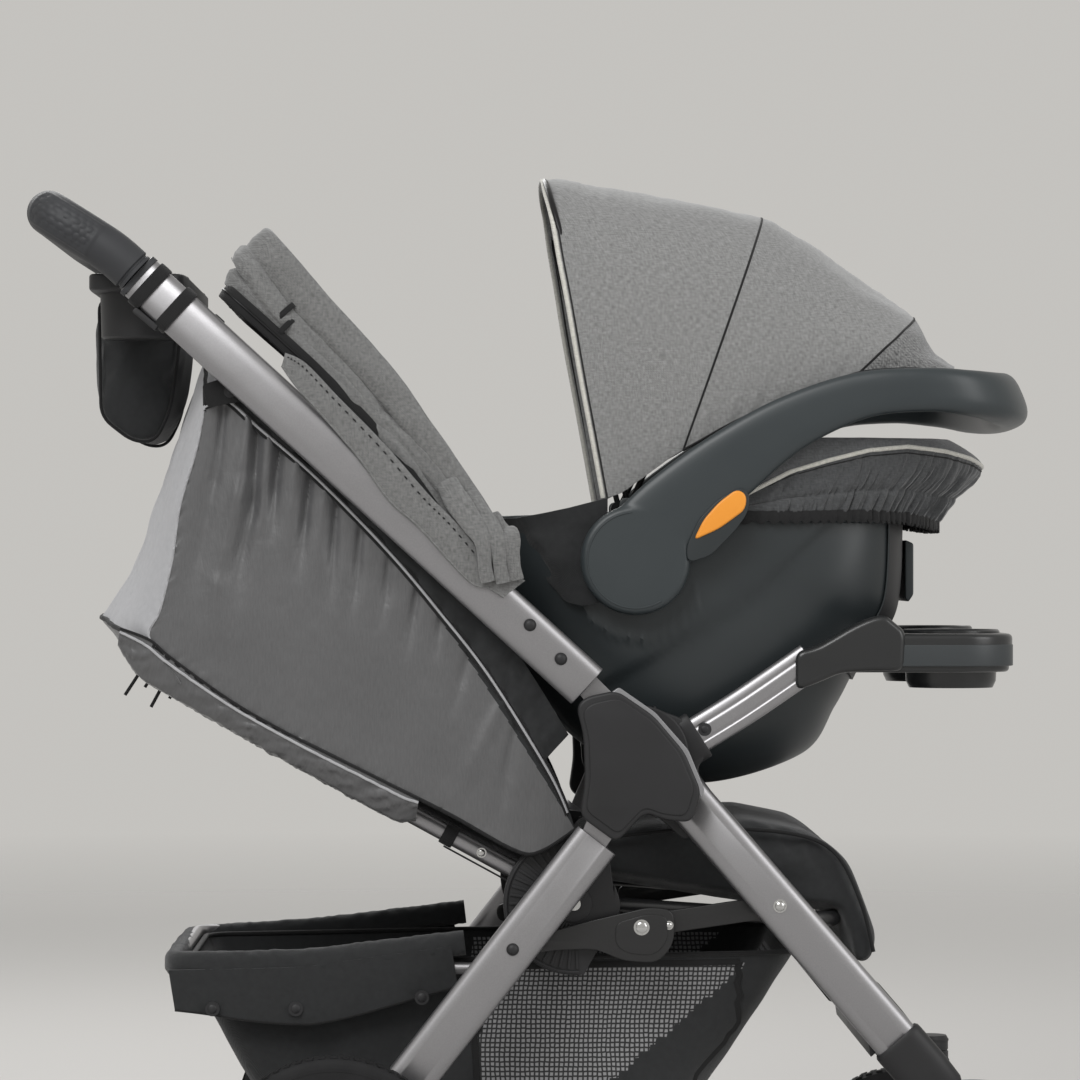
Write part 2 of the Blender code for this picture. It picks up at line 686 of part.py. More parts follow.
def curtains():
    outline = rounded(
        [(-0.4290, 0.3800), (-0.3450, 0.2980), (-0.2420, 0.2030), (-0.1400, 0.0940), (-0.0760, 0.0100),
         (-0.0700, -0.0500), (-0.1480, -0.0900), (-0.2050, -0.0660), (-0.2840, -0.0120), (-0.3820, 0.0420),
         (-0.4660, 0.1000), (-0.5160, 0.1370), (-0.4800, 0.2700)],
        0.012,
    )
    side = plate("curtain", outline, -0.2505, -0.2440, GREY_SATIN)
    far_side = plate("curtain_left", outline, 0.2440, 0.2505, GREY_SATIN)
    seam = [Vector(p) for p in ((-0.4290, 0.3430), (-0.4500, 0.2600), (-0.4680, 0.1700), (-0.4800, 0.1180))]
    ridge = ((-0.4320, 0.4050), (-0.4700, 0.3000), (-0.5000, 0.2000), (-0.5340, 0.1380))
    middle = [Vector(p) for p in ridge]
    rings = []
    for step in range(9):
        across = -1 + step / 4
        rise = (1 - abs(across) ** 2.6) ** 0.75
        line = [p.lerp(q, rise) for p, q in zip(seam, middle)]
        ring = [(p.x, p.y) for p in line] + [(p.x + 0.006, p.y - 0.001) for p in reversed(line)]
        rings.append([place(u, w, across * 0.2490) for u, w in ring])
    panel = loft("curtain_back", rings, PALE_WEAVE)
    joined(side, far_side, panel).name = "curtain"


def seat_back():
    reach = 0.490
    way = math.radians(152.9)
    tip = (RECLINE_PIVOT[0] + reach * math.cos(way), RECLINE_PIVOT[1] + reach * math.sin(way))
    rail_y = 0.2055
    path = bent(
        [place(*RECLINE_PIVOT, -rail_y), place(*tip, -rail_y), place(*tip, rail_y),
         place(*RECLINE_PIVOT, rail_y)],
        0.060,
    )
    frame = tube("seat_back_frame", path, 0.0090, ALUMINIUM, 1)
    pins = []
    for side in (-1, 1):
        pins.append(cylinder("recline_pin", place(*RECLINE_PIVOT, side * 0.2000),
                             place(*RECLINE_PIVOT, side * 0.2310), 0.0064, ALUMINIUM))
        pins.append(cylinder("recline_eye", place(*RECLINE_PIVOT, side * 0.1965),
                             place(*RECLINE_PIVOT, side * 0.2145), 0.0120, ALUMINIUM))
    joined(frame, *pins).name = "seat_back_frame"
    pad_outline = rounded(
        [along(RECLINE_PIVOT, tip, 0.050, -0.0120), along(RECLINE_PIVOT, tip, reach + 0.004, -0.0120),
         along(RECLINE_PIVOT, tip, reach + 0.004, -0.0280), along(RECLINE_PIVOT, tip, 0.050, -0.0320)],
        0.008,
    )
    plate("seat_back_pad", pad_outline, -0.196, 0.196, DARK_FABRIC)


def rear_frame():
    leg_end = along(REAR_AXLE, REAR_LEG_START, 0.046)
    leg = straight_tube("rear_leg", REAR_LEG_START, leg_end, -TUBE_Y, ALUMINIUM)
    lug_way = along(REAR_LEG_START, REAR_AXLE, 0.020)
    lug_outline = [along(lug_way, REAR_LEG_START, 0.0, 0.012), along(lug_way, REAR_LEG_START, 0.0, -0.012)]
    lug_outline += [(0.0235 * math.cos(a), 0.0235 * math.sin(a))
                    for a in [math.radians(-28 + 24.4 * k) for k in range(9)]]
    lug = plate("rear_lug", lug_outline, -0.2692, -0.2610, ALUMINIUM)
    bore = cylinder("rear_bore", place(0, 0, -0.290), place(0, 0, -0.240), 0.0094, ALUMINIUM)
    leg = joined(leg, cut(lug, bore))
    pin = cylinder("link_pin", place(*LINK_REAR, -0.258), place(*LINK_REAR, -0.2350), 0.0040, ALUMINIUM, 12)
    pair(joined(leg, pin), "rear_leg")

    end = REAR_WHEEL_Y + REAR_WHEEL_W / 2 + 0.002
    axle = cylinder("rear_axle", place(*REAR_AXLE, -end), place(*REAR_AXLE, end), AXLE_R, STEEL, 16)
    brackets = []
    for side in (-1, 1):
        low_y = min(side * 0.2510, side * 0.2770)
        top = along(REAR_AXLE, REAR_LEG_START, 0.0457)
        bottom = along(REAR_AXLE, REAR_LEG_START, -0.016)
        outline = rounded(
            [along(top, bottom, 0.0, 0.0245), along(top, bottom, 0.0, -0.0245),
             along(bottom, top, 0.0, 0.0160), along(bottom, top, 0.0, -0.0160)],
            0.006,
        )
        brackets.append(plate("axle_bracket", outline, low_y, low_y + 0.0260, HUB_PLASTIC))
    joined(axle, *brackets).name = "rear_axle"

    hoop_start = along(REAR_LEG_START, REAR_AXLE, 0.165)
    hoop_path = bent(
        [place(*hoop_start, -0.2515), place(*hoop_start, -0.2120),
         place(-0.4580, -0.2060, -0.2120), place(-0.4580, -0.2060, 0.2120),
         place(*hoop_start, 0.2120), place(*hoop_start, 0.2515)],
        0.030,
        2,
    )
    tube("basket_hoop", hoop_path, 0.0060, ALUMINIUM, 1)

    bar_at = (REAR_AXLE[0] - 0.0300, REAR_AXLE[1] + 0.0040)
    bar = cylinder("brake_pedal", place(*bar_at, -0.2340), place(*bar_at, 0.2340), 0.0055, STEEL)
    adds = []
    for side in (-1, 1):
        low_y = min(side * 0.2200, side * 0.2350)
        lug = [along(REAR_AXLE, bar_at, 0.0400, 0.0090), along(REAR_AXLE, bar_at, 0.0400, -0.0090),
               along(REAR_AXLE, bar_at, -0.0150, -0.0140), along(REAR_AXLE, bar_at, -0.0150, 0.0140)]
        ring = circle(REAR_AXLE, AXLE_R + 0.0004, 12)
        high_y = low_y + 0.0150
        adds.append(plate("brake_ring", rounded(lug, 0.0060), low_y, high_y, HUB_PLASTIC, 0.0, (ring,)))
    pedal_low = place(bar_at[0] - 0.0450, bar_at[1] - 0.0040, -0.2000)
    pedal_high = place(bar_at[0] - 0.0020, bar_at[1] + 0.0040, -0.1300)
    adds.append(block("pedal_pad", pedal_low, pedal_high, HUB_PLASTIC))
    joined(bar, *adds).name = "brake_pedal"


def rear_wheel():
    half = REAR_WHEEL_W / 2
    outer = REAR_WHEEL_R
    tyre = [(outer - 0.024, -half), (outer - 0.007, -half), (outer, -half * 0.4),
            (outer, half * 0.4), (outer - 0.007, half), (outer - 0.024, half)]
    centre = place(*REAR_AXLE, -REAR_WHEEL_Y)
    pair(turned("rear_tyre", tyre, centre, TYRE, 20), "rear_tyre")
    seat = outer - 0.0243
    rim = [(AXLE_R + 0.0005, -half), (0.026, -half), (0.030, -0.005), (seat - 0.014, -0.005),
           (seat - 0.010, -half + 0.001), (seat, -half + 0.001), (seat, half - 0.001),
           (seat - 0.010, half - 0.001), (seat - 0.014, 0.005), (0.030, 0.005), (0.026, half),
           (AXLE_R + 0.0005, half)]
    wheel = turned("rear_rim", rim, centre, RIM, 20)
    pair(windowed(wheel, REAR_AXLE, -REAR_WHEEL_Y, 0.036, seat - 0.018, 5), "rear_rim")


def windowed(wheel, axle, y, inner, outer, count):
    """Cut round-cornered windows between the spokes."""
    tools = []
    for index in range(count):
        middle = 2 * math.pi * index / count + math.pi / 2
        spread_in = math.pi / count * 0.52
        spread_out = math.pi / count * 0.78
        outline = []
        for radius, spread in ((inner, -spread_in), (inner, spread_in), (outer, spread_out),
                               (outer, -spread_out)):
            a = middle + spread
            outline.append((axle[0] + radius * math.cos(a), axle[1] + radius * math.sin(a)))
        tools.append(plate("window", rounded(outline, 0.007, 1), y - 0.03, y + 0.03, RIM))
    return cut(wheel, *tools)


def front_casters():
    half = FRONT_WHEEL_W / 2
    outer = FRONT_WHEEL_R
    pin_r = 0.0050
    centre = place(*FRONT_AXLE, -LEG_Y)
    tyre = [(outer - 0.020, -half), (outer - 0.006, -half), (outer, 0.0), (outer - 0.006, half),
            (outer - 0.020, half)]
    pair(turned("front_tyre", tyre, centre, TYRE, 16), "front_tyre")
    seat = outer - 0.0203
    rim = [(pin_r + 0.0005, -half), (0.018, -half), (0.021, -0.004), (seat - 0.010, -0.004),
           (seat - 0.007, -half + 0.001), (seat, -half + 0.001), (seat, half - 0.001),
           (seat - 0.007, half - 0.001), (seat - 0.010, 0.004), (0.021, 0.004), (0.018, half),
           (pin_r + 0.0005, half)]
    wheel = turned("front_rim", rim, centre, RIM, 16)
    pair(windowed(wheel, FRONT_AXLE, -LEG_Y, 0.026, seat - 0.013, 5), "front_rim")

    gap = half + 0.003
    arm_outline = rounded(
        [(FRONT_AXLE[0] - 0.015, FRONT_AXLE[1] - 0.012), (FRONT_AXLE[0] - 0.016, FRONT_AXLE[1] + 0.016),
         (CASTER_AXIS_U - 0.022, -0.3530), (CASTER_AXIS_U + 0.020, -0.3530),
         (FRONT_AXLE[0] + 0.015, FRONT_AXLE[1] - 0.012)],
        0.010,
    )
    base = place(CASTER_AXIS_U, -0.3515, -LEG_Y)
    collar = place(CASTER_AXIS_U, -0.3385, -LEG_Y)
    stem_foot = place(CASTER_AXIS_U, -0.3450, -LEG_Y)
    stem_top = place(CASTER_AXIS_U, -0.3060, -LEG_Y)
    fork = cylinder("caster_fork", base, collar, 0.0210, HUB_PLASTIC, 16)
    adds = [cylinder("stem", stem_foot, stem_top, 0.0080, HUB_PLASTIC, 10)]
    adds.append(block("crown", place(CASTER_AXIS_U - 0.022, -0.3570, -LEG_Y - gap - 0.005),
                      place(CASTER_AXIS_U + 0.020, -0.3450, -LEG_Y + gap + 0.005), HUB_PLASTIC))
    for side in (-1, 1):
        low_y = -LEG_Y + min(side * gap, side * (gap + 0.005))
        adds.append(plate("fork_arm", arm_outline, low_y, low_y + 0.005, HUB_PLASTIC))
    pin_start = place(*FRONT_AXLE, -LEG_Y - gap - 0.003)
    pin_end = place(*FRONT_AXLE, -LEG_Y + gap + 0.003)
    adds.append(cylinder("fork_pin", pin_start, pin_end, pin_r, HUB_PLASTIC, 10))
    pair(joined(fork, *adds), "caster_fork")


def links():
    """Folding stays under the seat: the rear one ends in a round knuckle plate."""
    rear_outline = rounded(
        [along(LINK_REAR, LINK_KNEE, -0.013, 0.010), along(LINK_REAR, LINK_KNEE, -0.013, -0.010),
         along(LINK_REAR, LINK_KNEE, 0.080, -0.014), (0.004 - 0.020, -0.2030), (0.018, -0.2050),
         (0.034, -0.1860), (0.034, -0.1530), (0.010, -0.1500), along(LINK_REAR, LINK_KNEE, 0.080, 0.014)],
        0.009,
    )
    rear = plate("rear_link", rear_outline, -0.2440, -0.2370, STEEL)
    bore = cylinder("link_bore", place(*LINK_REAR, -0.26), place(*LINK_REAR, -0.22), 0.0044, STEEL, 10)
    rear = cut(rear, bore)
    knee = cylinder("knee_boss", place(*LINK_KNEE, -0.240), place(*LINK_KNEE, -0.2255), 0.0090, STEEL)
    pair(joined(rear, knee), "rear_link")
    front_outline = rounded(
        [along(LINK_FRONT, LINK_KNEE, -0.013, 0.011), along(LINK_FRONT, LINK_KNEE, -0.013, -0.011),
         along(LINK_FRONT, LINK_KNEE, 0.148, -0.011), along(LINK_FRONT, LINK_KNEE, 0.148, 0.011)],
        0.009,
    )
    front = plate("front_link", front_outline, -0.2252, -0.2185, STEEL)
    pair(front, "front_link")


def carrier_edge():
    """Side-view outline of the bucket from the foot-end rim, under, to the head-end rim."""
    return smooth_through(
        [(-0.1650, 0.2300), (-0.1560, 0.1500), (-0.1080, 0.0600), (-0.0350, -0.0080), (0.0640, -0.0370),
         (0.1700, -0.0080), (0.2060, 0.0420), (0.2330, 0.0930), (0.2660, 0.1420), (0.2720, 0.2320)],
        2,
    )


def head_cover():
    """Flared fabric collar round the head end, from an elastic hem out to a piped edge."""
    side_u = 0.1050
    profile = (
        (0.2840, 0.1885, 0.2380, 0.2380),
        (0.3490, 0.1905, 0.2560, 0.2900),
        (0.2640, 0.1650, 0.2640, 0.3260),
        (0.2500, 0.1650, 0.2400, 0.2400),
    )
    rings = []
    for step in range(13):
        a = math.pi * step / 12
        across = math.copysign(abs(math.cos(a)) ** 0.77, math.cos(a))
        ahead = abs(math.sin(a)) ** 0.77
        rise = min(1.0, ahead * 1.25)
        ring = []
        for reach_u, reach_y, low, high in profile:
            u = side_u + (reach_u - side_u) * ahead
            ring.append(place(u, low + (high - low) * rise, -reach_y * across))
        rings.append(ring)
    return loft("head_cover", rings, DARK_FABRIC)


def carrier():
    edge = [(p.x, p.y) for p in carrier_edge()]
    shell = drum("carrier_shell", CARRIER_RIM_CENTRE, CARRIER_HALF_WIDTH, edge, SHELL, 0.0050)
    adds = []
    for side in (-1, 1):
        low_y = min(side * 0.1905, side * 0.1945)
        tab = [(-0.0180, 0.2250), (0.0020, 0.2250), (0.0020, 0.2530), (-0.0180, 0.2530)]
        adds.append(plate("bow_tab", rounded(tab, 0.006), low_y, low_y + 0.004, SHELL))
        pin_ends = [place(*SUNSHADE_PIVOT, side * lateral) for lateral in (0.1925, 0.1580)]
        adds.append(cylinder("bow_pin", *pin_ends, 0.0030, SHELL, 8))
        pin_ends = [place(*CARRIER_HUB, side * lateral) for lateral in (0.1875, 0.2120)]
        adds.append(cylinder("handle_pin", *pin_ends, 0.0080, SHELL, 16))
    joined(shell, *adds).name = "carrier_shell"
    inner = []
    for u, w in edge[::2]:
        inner.append((CARRIER_RIM_CENTRE[0] + (u - CARRIER_RIM_CENTRE[0]) * 0.962,
                      CARRIER_RIM_CENTRE[1] + (w - CARRIER_RIM_CENTRE[1]) * 0.962 - 0.0035))
    inner += [(0.2640, 0.2700), (0.2480, 0.3060)]
    pad = drum("carrier_pad", CARRIER_RIM_CENTRE, CARRIER_HALF_WIDTH - 0.0075, inner, DARK_FABRIC, 0.0120)
    foot_trim = block("foot_trim", place(-0.2500, 0.2220, -0.2500), place(0.0900, 0.3000, 0.2500),
                      DARK_FABRIC)
    joined(cut(pad, foot_trim), head_cover()).name = "carrier_pad"

    lever = rounded(
        [(0.2760, 0.2120), (0.2850, 0.2080), (0.2850, 0.1560), (0.2790, 0.1480), (0.2760, 0.1520)],
        0.002,
    )
    plate("release_lever", lever, -0.075, 0.075, SHELL)


def carrier_handle():
    """Swept arms that widen into a round hub each side, joined by the carry bar."""
    arm = [
        ((0.0150, 0.2130), 0.0880, 0.0),
        ((0.0400, 0.2400), 0.0840, 0.0),
        ((0.0900, 0.2830), 0.0700, 0.0),
        ((0.1500, 0.3230), 0.0580, 0.0),
        ((0.2200, 0.3530), 0.0480, 0.0),
        ((0.2850, 0.3610), 0.0460, 0.0),
        ((0.3300, 0.3570), 0.0480, 0.014),
        ((0.3600, 0.3530), 0.0530, 0.048),
        ((0.3760, 0.3520), 0.0580, 0.110),
        ((0.3800, 0.3515), 0.0590, 0.209),
    ]
    rings = []
    count = 10
    far_arm = [(centre, wide, 2 * CARRIER_HANDLE_Y - inset) for centre, wide, inset in reversed(arm[:-1])]
    stations = arm + far_arm
    centres = [place(c[0], c[1], -CARRIER_HANDLE_Y + inset) for c, wide, inset in stations]
    for index, (centre, wide, inset) in enumerate(stations):
        before = centres[max(index - 1, 0)]
        after = centres[min(index + 1, len(centres) - 1)]
        tangent = (after - before).normalized()
        radial = Vector((centre[0] - CARRIER_HUB[0], 0.0, centre[1] - CARRIER_HUB[1])).normalized()
        swing = Vector((-radial.z, 0.0, radial.x))
        crossing = abs(tangent.y)
        flat = Vector((tangent.x, 0.0, tangent.z))
        upright = Vector((-flat.z, 0.0, flat.x)) if flat.length > 0.05 else swing
        if upright.dot(Vector((-0.38, 0.0, 0.92))) < 0:
            upright = -upright
        upright = (upright.normalized() * (1 - crossing) + swing * crossing).normalized()
        aside = tangent.cross(upright).normalized()
        thick = CARRIER_HANDLE_THICK + (0.038 - CARRIER_HANDLE_THICK) * crossing
        ring = []
        for step in range(count):
            a = 2 * math.pi * step / count
            ca = math.copysign(abs(math.cos(a)) ** 0.75, math.cos(a))
            sa = math.copysign(abs(math.sin(a)) ** 0.75, math.sin(a))
            ring.append(centres[index] + upright * (wide / 2 * ca) + aside * (thick / 2 * sa))
        rings.append(ring)
    handle = loft("carrier_handle", rings, SLATE)
    rim = CARRIER_HUB_R - 0.0040
    deep = CARRIER_HANDLE_THICK
    bore = 0.0084
    bore_deep = 0.0135
    disc_profile = [(bore, 0.0), (rim, 0.0), (CARRIER_HUB_R, 0.0040), (CARRIER_HUB_R, deep - 0.0040),
                    (rim, deep), (0.0, deep), (0.0, bore_deep), (bore, bore_deep)]
    inner_face = -CARRIER_HANDLE_Y + CARRIER_HANDLE_THICK / 2
    disc = turned("handle_disc", disc_profile, place(*CARRIER_HUB, inner_face), SLATE, 20)
    handle = joined(handle, mirrored(disc, "handle_disc_left"), disc)
    leaf = [(0.0970, 0.2600), (0.1063, 0.2556), (0.1063, 0.2427), (0.0800, 0.2199), (0.0552, 0.2104),
            (0.0680, 0.2360)]
    button_outline = rounded(leaf, 0.004)
    pocket = [(0.0800 + (u - 0.0800) * 1.06, 0.2350 + (w - 0.2350) * 1.06) for u, w in button_outline]
    pockets = []
    for side in (-1, 1):
        low_y = min(side * 0.2090, side * 0.2300)
        pockets.append(plate("pocket", pocket, low_y, low_y + 0.0210, SLATE))
    cut(handle, *pockets).name = "carrier_handle"
    button = plate("handle_button", button_outline, -0.2215, -0.2150, ORANGE)
    pair(button, "handle_button")


def sunshade():
    bows = (
        ("sunshade_mid_bow", 64.7, 0.314, 0.1640),
        ("sunshade_front_bow", 104.0, 0.343, 0.1560),
    )
    for name, angle, reach, lateral in bows:
        tip = (SUNSHADE_PIVOT[0] + reach * math.cos(math.radians(angle)),
               SUNSHADE_PIVOT[1] + reach * math.sin(math.radians(angle)))
        path = bent(
            [place(*SUNSHADE_PIVOT, -lateral), place(*tip, -lateral), place(*tip, lateral),
             place(*SUNSHADE_PIVOT, lateral)],
            0.110,
        )
        bow = tube(name, path, 0.0030, STEEL, 1)
        eyes = []
        for side in (-1, 1):
            middle = side * lateral
            eyes.append(cylinder("eye", place(*SUNSHADE_PIVOT, middle - 0.003),
                                 place(*SUNSHADE_PIVOT, middle + 0.003), 0.0090, STEEL, 10))
        bow = joined(bow, *eyes)
        bore = cylinder("eye_bore", place(*SUNSHADE_PIVOT, -0.20), place(*SUNSHADE_PIVOT, 0.20),
                        0.0034, STEEL, 8)
        cut(bow, bore).name = name
    edge = []
    for point in smooth_through([(104.0, 0.3500), (64.7, 0.3270), (48.0, 0.3370), (33.0, 0.3540),
                                 (22.0, 0.3580)], 2):
        a = math.radians(point.x)
        edge.append((SUNSHADE_PIVOT[0] + point.y * math.cos(a),
                     SUNSHADE_PIVOT[1] + 0.008 + point.y * math.sin(a)))
    centre = (SUNSHADE_PIVOT[0], SUNSHADE_PIVOT[1] + 0.008)
    drum("sunshade_fabric", centre, SUNSHADE_HALF_WIDTH, edge, GREY_TWILL, 0.0030)


def harness():
    low = place(0.0200, -0.0025, -0.0220)
    high = place(0.0750, 0.0155, 0.0220)
    buckle = block("harness_buckle", low, high, HUB_PLASTIC)
    strap = block("buckle_strap", place(0.0560, -0.0100, -0.0150), place(0.0720, 0.0020, 0.0150),
                  DARK_FABRIC)
    well = block("button_well", place(0.0340, 0.0085, -0.0125), place(0.0620, 0.0200, 0.0125), HUB_PLASTIC)
    cut(joined(buckle, strap), well).name = "harness_buckle"
    block("buckle_button", place(0.0345, 0.0130, -0.0120), place(0.0615, 0.0170, 0.0120), ORANGE)


hubs()
front_frame()
cup_tray()
seat_base()
basket()
handle_frame()
organizer()
canopy()
curtains()
seat_back()
rear_frame()
rear_wheel()
front_casters()
links()
carrier()
carrier_handle()
sunshade()
harness()


def pivoted(axis, *names):
    """Put each piece's origin on its joint's axis, without moving its mesh."""
    for name in names:
        piece = bpy.data.objects[name]
        piece.data.transform(Matrix.Translation(-axis))
        piece.location = axis


for label, way in (("right", -1), ("left", 1)):
    pivoted(place(*REAR_AXLE, way * REAR_WHEEL_Y), "rear_tyre_" + label, "rear_rim_" + label)
    pivoted(place(*FRONT_AXLE, way * LEG_Y), "front_tyre_" + label, "front_rim_" + label)
    pivoted(place(CASTER_AXIS_U, -0.3450, way * LEG_Y), "caster_fork_" + label)
    pivoted(place(0.0, 0.0, way * TUBE_Y), "handle_tube_" + label, "rear_leg_" + label)
    pivoted(place(*LINK_FRONT, way * 0.2185), "front_link_" + label)
    pivoted(place(*LINK_REAR, way * 0.2400), "rear_link_" + label)
    pivoted(place(0.0800, 0.2350, way * 0.2180), "handle_button_" + label)
pivoted(place(0.0, 0.0), "handle_grip", "organizer", "organizer_pouch", "curtain", "rear_axle",
        "basket_hoop")
pivoted(place(*CANOPY_PIVOT), "canopy_rear_bow", "canopy_mid_bow", "canopy_front_bow", "canopy_fabric")
pivoted(place(*RECLINE_PIVOT), "seat_back_frame", "seat_back_pad")
pivoted(place(*REAR_AXLE), "brake_pedal")
pivoted(place(*CARRIER_HUB), "carrier_handle")
pivoted(place(*SUNSHADE_PIVOT), "sunshade_mid_bow", "sunshade_front_bow", "sunshade_fabric")
pivoted(place(0.0480, 0.0130), "buckle_button")
pivoted(place(0.2785, 0.2120), "release_lever")
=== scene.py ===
import math

import bmesh
import bpy
from mathutils import Matrix, Vector, noise


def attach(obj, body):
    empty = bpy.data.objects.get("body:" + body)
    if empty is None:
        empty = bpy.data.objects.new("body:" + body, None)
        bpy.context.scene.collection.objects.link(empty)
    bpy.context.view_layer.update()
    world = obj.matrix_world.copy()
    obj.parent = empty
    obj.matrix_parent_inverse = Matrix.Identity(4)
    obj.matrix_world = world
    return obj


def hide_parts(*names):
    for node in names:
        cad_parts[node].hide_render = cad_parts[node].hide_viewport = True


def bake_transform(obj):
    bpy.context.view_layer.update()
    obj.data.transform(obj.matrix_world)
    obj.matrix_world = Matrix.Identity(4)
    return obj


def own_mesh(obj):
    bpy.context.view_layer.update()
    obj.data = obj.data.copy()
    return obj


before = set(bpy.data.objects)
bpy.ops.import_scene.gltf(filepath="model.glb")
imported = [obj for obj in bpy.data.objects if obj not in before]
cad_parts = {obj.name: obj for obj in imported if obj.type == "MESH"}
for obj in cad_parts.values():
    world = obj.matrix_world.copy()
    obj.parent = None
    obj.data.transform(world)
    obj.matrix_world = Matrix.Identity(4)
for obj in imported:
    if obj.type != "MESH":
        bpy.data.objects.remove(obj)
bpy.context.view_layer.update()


# The room: a pale floor, a pale wall colour all round and three large soft lamps, so that
# the dark plastics get broad reflections. The camera stands level with the handle, five
# metres off the right-hand side, as in the photograph.
def linear(code):
    """An sRGB hex colour as linear red, green, blue and alpha."""
    channels = [int(code[i:i + 2], 16) / 255 for i in (1, 3, 5)]
    return (*[c / 12.92 if c <= 0.04045 else ((c + 0.055) / 1.055) ** 2.4 for c in channels], 1.0)


def linked(name, data):
    """A new object that shows the data, in the scene."""
    made = bpy.data.objects.new(name, data)
    bpy.context.scene.collection.objects.link(made)
    return made


def add(tree, kind, settings=(), inputs=()):
    """One new node, with its settings, and its sockets set to a value or linked."""
    made = tree.nodes.new(kind)
    for name, value in dict(settings).items():
        setattr(made, name, value)
    for name, value in dict(inputs).items():
        socket = made.inputs[name]
        if isinstance(value, bpy.types.NodeSocket):
            tree.links.new(value, socket)
        else:
            socket.default_value = value
    return made


def painted(name, sockets):
    """A material with its Principled sockets set; gives the material, its tree and its shader."""
    made = bpy.data.materials.new(name)
    made.use_nodes = True
    shader = made.node_tree.nodes["Principled BSDF"]
    for socket, value in sockets.items():
        shader.inputs[socket].default_value = value
    return made, made.node_tree, shader


FLOOR_HALF = 9.0
floor_mesh = bpy.data.meshes.new("studio_floor")
floor_corners = [(-FLOOR_HALF, -FLOOR_HALF, 0), (FLOOR_HALF, -FLOOR_HALF, 0),
                 (FLOOR_HALF, FLOOR_HALF, 0), (-FLOOR_HALF, FLOOR_HALF, 0)]
floor_mesh.from_pydata(floor_corners, [], [(0, 1, 2, 3)])
floor = linked("studio_floor", floor_mesh)
floor_paint, floor_tree, floor_shader = painted("floor_vinyl",
                                                {"Base Color": linear("#c6c4c1"), "Roughness": 0.7})
spot = add(floor_tree, "ShaderNodeTexCoord")
reach = add(floor_tree, "ShaderNodeVectorMath", {"operation": "LENGTH"}, {0: spot.outputs["Object"]})
fade = add(floor_tree, "ShaderNodeMapRange", (), {0: reach.outputs["Value"], 1: 1.5, 2: 8.0, 3: 0.0, 4: 1.0})
clear = add(floor_tree, "ShaderNodeBsdfTransparent")
faded = add(floor_tree, "ShaderNodeMixShader", (),
            {0: fade.outputs[0], 1: floor_shader.outputs[0], 2: clear.outputs[0]})
floor_tree.links.new(faded.outputs[0], floor_tree.nodes["Material Output"].inputs["Surface"])
floor_mesh.materials.append(floor_paint)

world = bpy.data.worlds.new("studio")
bpy.context.scene.world = world
world.use_nodes = True
sky = world.node_tree
rays = add(sky, "ShaderNodeLightPath")
seen = add(sky, "ShaderNodeMath", {"operation": "MAXIMUM"},
           {0: rays.outputs["Is Camera Ray"], 1: rays.outputs["Is Glossy Ray"]})
room_light = add(sky, "ShaderNodeBackground", (), {"Color": linear("#ffffff"), "Strength": 0.55})
room_wall = add(sky, "ShaderNodeBackground", (), {"Color": linear("#d2d0cc"), "Strength": 0.86})
mixed = add(sky, "ShaderNodeMixShader", (),
            {0: seen.outputs[0], 1: room_light.outputs[0], 2: room_wall.outputs[0]})
add(sky, "ShaderNodeOutputWorld", {"is_active_output": True}, {"Surface": mixed.outputs[0]})

LAMPS = (
    ("key_softbox", (-1.6, -3.0, 3.4), (2.6, 1.8), 95.0),
    ("front_softbox", (2.8, -2.2, 1.9), (1.6, 2.2), 34.0),
    ("rim_softbox", (-1.0, 3.0, 2.6), (2.4, 1.4), 45.0),
)
AIM = Vector((0.0, 0.0, 0.6))
for lamp_name, place, size, power in LAMPS:
    lamp_data = bpy.data.lights.new(lamp_name, "AREA")
    lamp_data.shape = "RECTANGLE"
    lamp_data.size = size[0]
    lamp_data.size_y = size[1]
    lamp_data.energy = power
    lamp = linked(lamp_name, lamp_data)
    lamp.location = place
    lamp.rotation_euler = (AIM - Vector(place)).to_track_quat("-Z", "Y").to_euler()

CAMERA_AT = Vector((-0.0663, -5.056, 0.7252))
CAMERA_TO = Vector((0.0023, -0.256, 0.7448))
camera_data = bpy.data.cameras.new("camera")
camera_data.lens = 163.2
camera_data.sensor_width = 36.0
camera_data.clip_end = 60.0
camera = linked("camera", camera_data)
camera.location = CAMERA_AT
camera.rotation_euler = (CAMERA_TO - CAMERA_AT).to_track_quat("-Z", "Y").to_euler()
bpy.context.scene.camera = camera
bpy.context.scene.view_settings.view_transform = "Standard"


# The front legs: oval drawn aluminium tube, 46 mm by 24 mm, satin anodised, which gives
# one broad soft highlight along the upper edge. Each runs from the fold hub down to the
# moulded socket of its castor.
HUB = Vector((0.1004, 0.0, 0.5340))
SIDES = (("right", -1), ("left", 1))


def side(u, w, y=0.0):
    """The world point u metres ahead of and w above the fold hub, y metres to the left."""
    return Vector((HUB.x + u, y, HUB.z + w))


